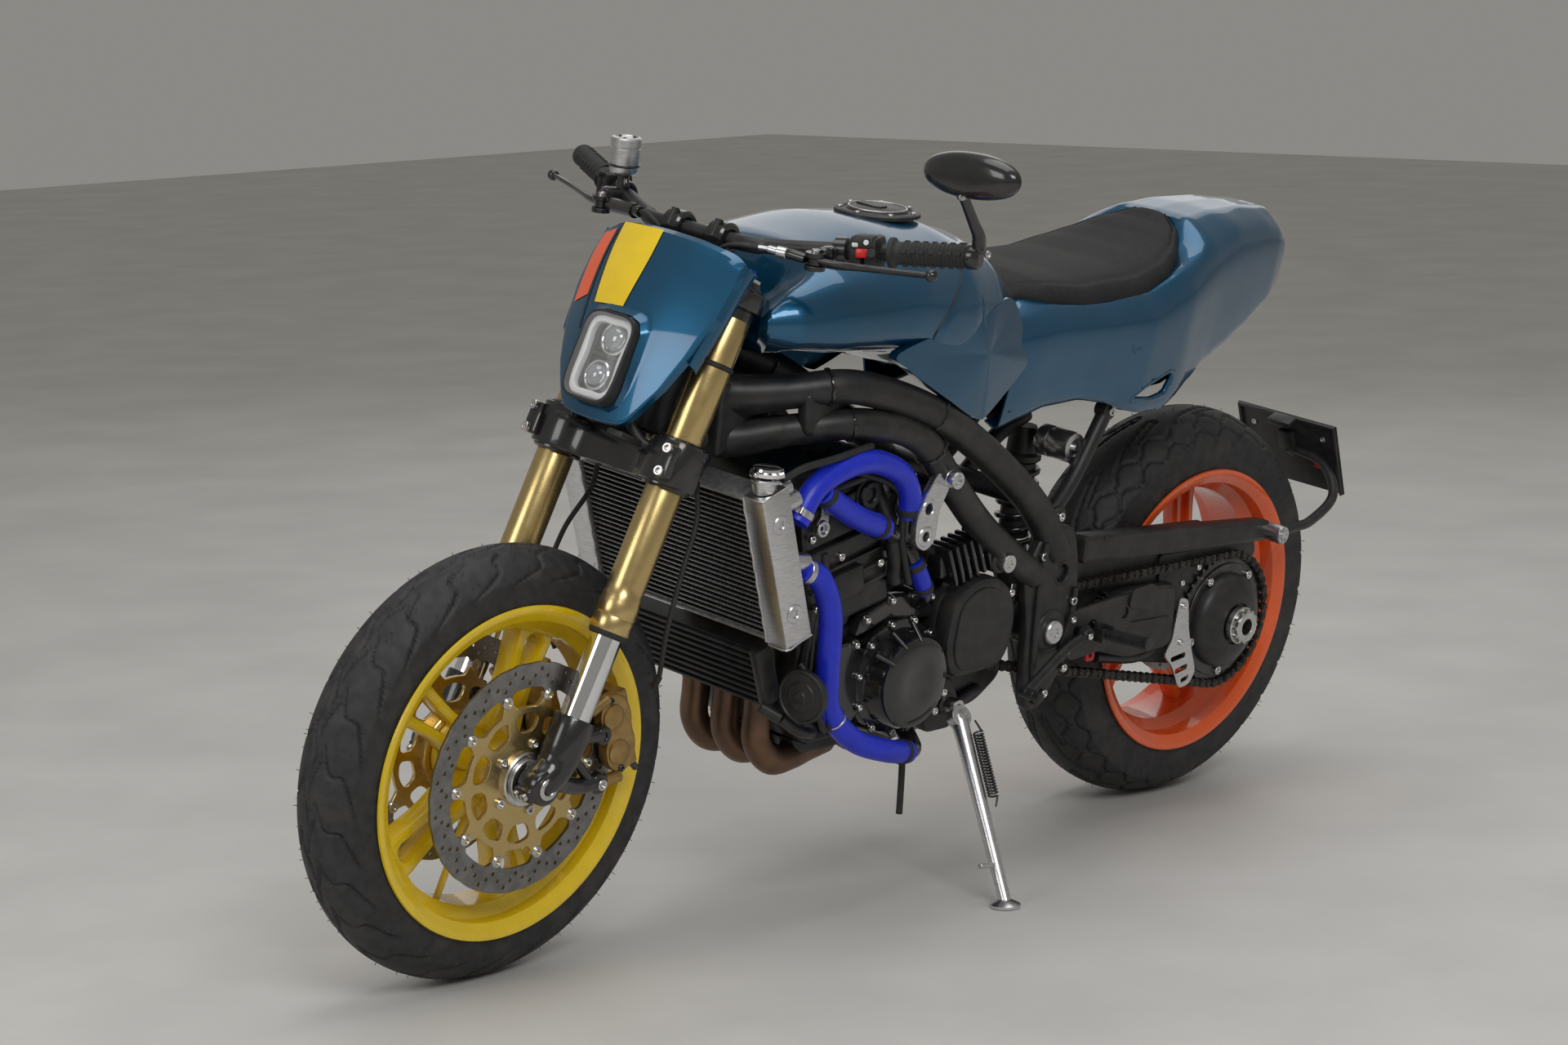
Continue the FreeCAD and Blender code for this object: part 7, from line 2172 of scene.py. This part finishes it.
# ---------------------------------------------------------------- feet, stand, plate holder, breather
def feet():
    for side, name, body, lever_body, node in ((LEFT, "left", "left_foot_peg", "gear_pedal", "gear_lever"),
                                               (RIGHT, "right", "right_foot_peg", "rear_brake_pedal",
                                                "brake_pedal")):
        plate = Piece(f"rearset_{name}", "black_satin", "chassis", angle=38)
        outline = rounded([(252, 396), (262, 414), (330, 412), (428, 404), (450, 352), (420, 326),
                           (340, 332), (300, 350)], 9)
        plate.plate(outline, 6, side_matrix(side * 163), holes=[(376, 372, 12), (300, 384, 9),
                                                                (412, 370, 9)], bevel=1)
        for way in (-1, 1):
            plate.box((352 + way * 12, side * 172, 360), (7, 18, 22), None, 2)
        plate.plate(rounded([(232, 380), (296, 392), (290, 420), (240, 424), (222, 404)], 10), 4,
                    side_matrix(side * 168), bevel=1)
        if side == LEFT:
            plate.done("rearset_plates", slot="black_satin")
        else:
            plate.done(slot="black_satin")
        hinge = Vector((352, side * 174, 360))
        along = Vector((-8, side * 78, 4))
        peg = Piece(f"{name}_peg_knurled", "black_satin", body)
        outline = [(0, -4), (8, -4), (9, 0), (8, 6), (8, 12)]
        for k in range(11):
            outline += [(10, 14 + k * 5.4), (10, 17 + k * 5.4), (8.8, 17.6 + k * 5.4), (8.8, 18.8 + k * 5.4)]
        outline += [(11, 75), (11, 78), (0, 79)]
        peg.lathe(outline, hinge, along, 28)
        peg.rod(hinge - Vector((15, 0, 0)), hinge + Vector((15, 0, 0)), 5)
        peg.done(f"{name}_peg", slot="black_satin")
        pedal = Piece(node + "_bent", "black_satin", lever_body)
        pivot = Vector((400, side * 167, 366))
        pedal.ring(pivot, (0, side, 0), 12, 5, 0, 14, edge=1.5)
        pedal.tube([pivot + Vector((8, side * 8, -2)), Vector((440, side * 174, 352)),
                    Vector((500, side * 182, 326)),
                    Vector((552, side * 192, 306))], 6, steps=16, flat=1.25)
        pedal.lathe([(0, 0), (7, 0), (8, 2), (8, 12), (7.2, 13), (8, 14), (8, 26), (7.2, 27), (8, 28),
                     (8, 38), (0, 40)],
                    (552, side * 184, 306), (0, side, 0), 24)
        pedal.done(node, slot="black_satin")
        bolts = Piece(f"rearset_bolts_{name}", "machined_steel", "chassis")
        for x, z in ((426, 392), (432, 344), (400, 366)):
            bolts.bolt((x, side * (181 if x == 400 else 166), z), (0, side, 0), 5.5, 4)
        bolts.done(slot="steel")


def side_stand():
    """Silver stand: tapered leg, flat foot, kick pin, and a coil spring."""
    floor = Matrix.Translation((GROUND.x, GROUND.y, 0)) @ Matrix.Scale(MM, 4)
    pivot = floor.inverted() @ BIKE @ Vector((665, 165, 279))
    foot = Vector((714, 333, 8))
    fold = (foot - pivot).cross(Vector((-0.96, 0.16, -0.06))).normalized()
    item = Piece("stand_leg", "brushed_aluminium", "stand", floor, angle=40)
    item.tube([pivot, pivot.lerp(foot, 0.3), pivot.lerp(foot, 0.7), foot], 10, steps=20,
              radii=[13, 11.5, 10, 9], smooth=4)
    item.lathe([(0, -8), (20, -8), (22, -6.5), (22, -3), (19, -1), (9, 4), (0, 6)], foot, UPWARD, 36)
    item.rod(pivot - fold * 9, pivot + fold * 9, 17)
    kick = pivot.lerp(foot, 0.8)
    item.rod(kick, kick + Vector((40, 4, 6)), 4)
    item.done("side_stand", slot="bare_aluminium")
    bolt = Piece("stand_pivot_bolt", "machined_steel", "stand", floor)
    bolt.bolt(pivot + fold * 9 * (1 if fold.y > 0 else -1), fold * (1 if fold.y > 0 else -1), 8, 5)
    bolt.done(slot="steel")
    coil = Piece("stand_spring", "dark_steel", "stand", floor)
    start, end = pivot + Vector((-12, 24, -14)), pivot.lerp(foot, 0.46) + Vector((-12, 18, 0))
    axis = (end - start)
    turn = turn_to(axis).to_3x3()
    points = [start - axis * 0.10]
    for k in range(22 * 12 + 1):
        angle = 2 * math.pi * k / 12
        points.append(start + axis * (0.06 + 0.86 * k / (22 * 12)) +
                      turn @ Vector((7 * math.cos(angle), 7 * math.sin(angle), 0)))
    points.append(end + axis * 0.06)
    coil.tube(points, 1.6, steps=8, smooth=0)
    coil.done(slot="steel")


def plate_holder():
    """Bent arm behind the wheel with the blank number plate, its lamp and a small red reflector."""
    item = Piece("plate_arm", "black_satin", "swingarm", angle=40)
    item.tube([(-90, 145, 452), (-140, 146, 456), (-190, 144, 460), (-275, 122, 486), (-310, 70, 524),
               (-316, 0, 534)], 8,
              steps=20, flat=1.0)
    item.rod((-94, 135, 452), (-94, 152, 452), 15)
    turn = Matrix.Rotation(math.radians(22), 4, "Y")
    middle = Vector((-342, 0, 474)) + turn @ Vector((1.5, 0, 65))
    item.box(middle, (3, 200, 130), turn, 1.2)
    for y in (-96, 96):
        item.box(middle + turn @ Vector((3, y, 0)), (7, 5, 130), turn, 1.5)
    item.box(middle + turn @ Vector((3, 0, 62)), (7, 196, 5), turn, 1.5)
    item.box(middle + turn @ Vector((14, 0, 60)), (26, 46, 10), turn, 3)
    item.box(middle + turn @ Vector((8, 0, 20)), (12, 30, 34), turn, 3)
    item.rod((-332, 0, 520), (-306, 0, 536), 8)
    item.done("plate_holder", slot="black_satin")
    lamp = Piece("plate_lamp", "red_plastic", "swingarm")
    lamp.lathe([(0, 0), (6, 0), (7, 2), (6, 5), (0, 6)], middle + turn @ Vector((5, 58, -14)), (1, 0, 0), 24)
    lamp.done(slot="red_plastic")
    bolts = Piece("plate_bolts", "machined_steel", "swingarm")
    for y in (-70, 70):
        bolts.bolt(middle + turn @ Vector((1.5, y, 34)), turn.to_3x3() @ Vector((1, 0, 0)), 5, 3)
    bolts.done(slot="steel")


BREATHER = [(743, 132, 258), (743, 132, 222), (742, 134, 186), (742, 136, 136)]


def breather():
    """The free hose that hangs from the engine, at its real length."""
    curve = bpy.data.curves.new("breather_hose", "CURVE")
    curve.dimensions, curve.bevel_depth, curve.bevel_resolution = "3D", 0.005, 4
    curve.use_fill_caps = True
    spline = curve.splines.new("NURBS")
    points = [BIKE @ Vector(p) for p in BREATHER]
    spline.points.add(len(points) - 1)
    for slot_point, place in zip(spline.points, points):
        slot_point.co = (*place, 1)
    spline.order_u = 3
    spline.use_endpoint_u = True
    spline.resolution_u = 16
    item = bpy.data.objects.new("breather_hose", curve)
    bpy.context.scene.collection.objects.link(item)
    curve.materials.append(MATERIALS["black_rubber"])
    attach(item, "chassis")
    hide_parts("breather_tube")


def build():
    """Every piece but the free hose, which is made before them."""
    front_wheel()
    rear_wheel()
    fork()
    clamps()
    front_cowl()
    handlebar()
    fork_hoses()
    fuel_tank()
    tail()
    seat()
    main_frame()
    radiator()
    hoses()
    horn()
    engine()
    exhaust()
    swing_arm()
    chain()
    shock()
    feet()
    side_stand()
    plate_holder()


camera()
materials()
breather()
studio()
build()
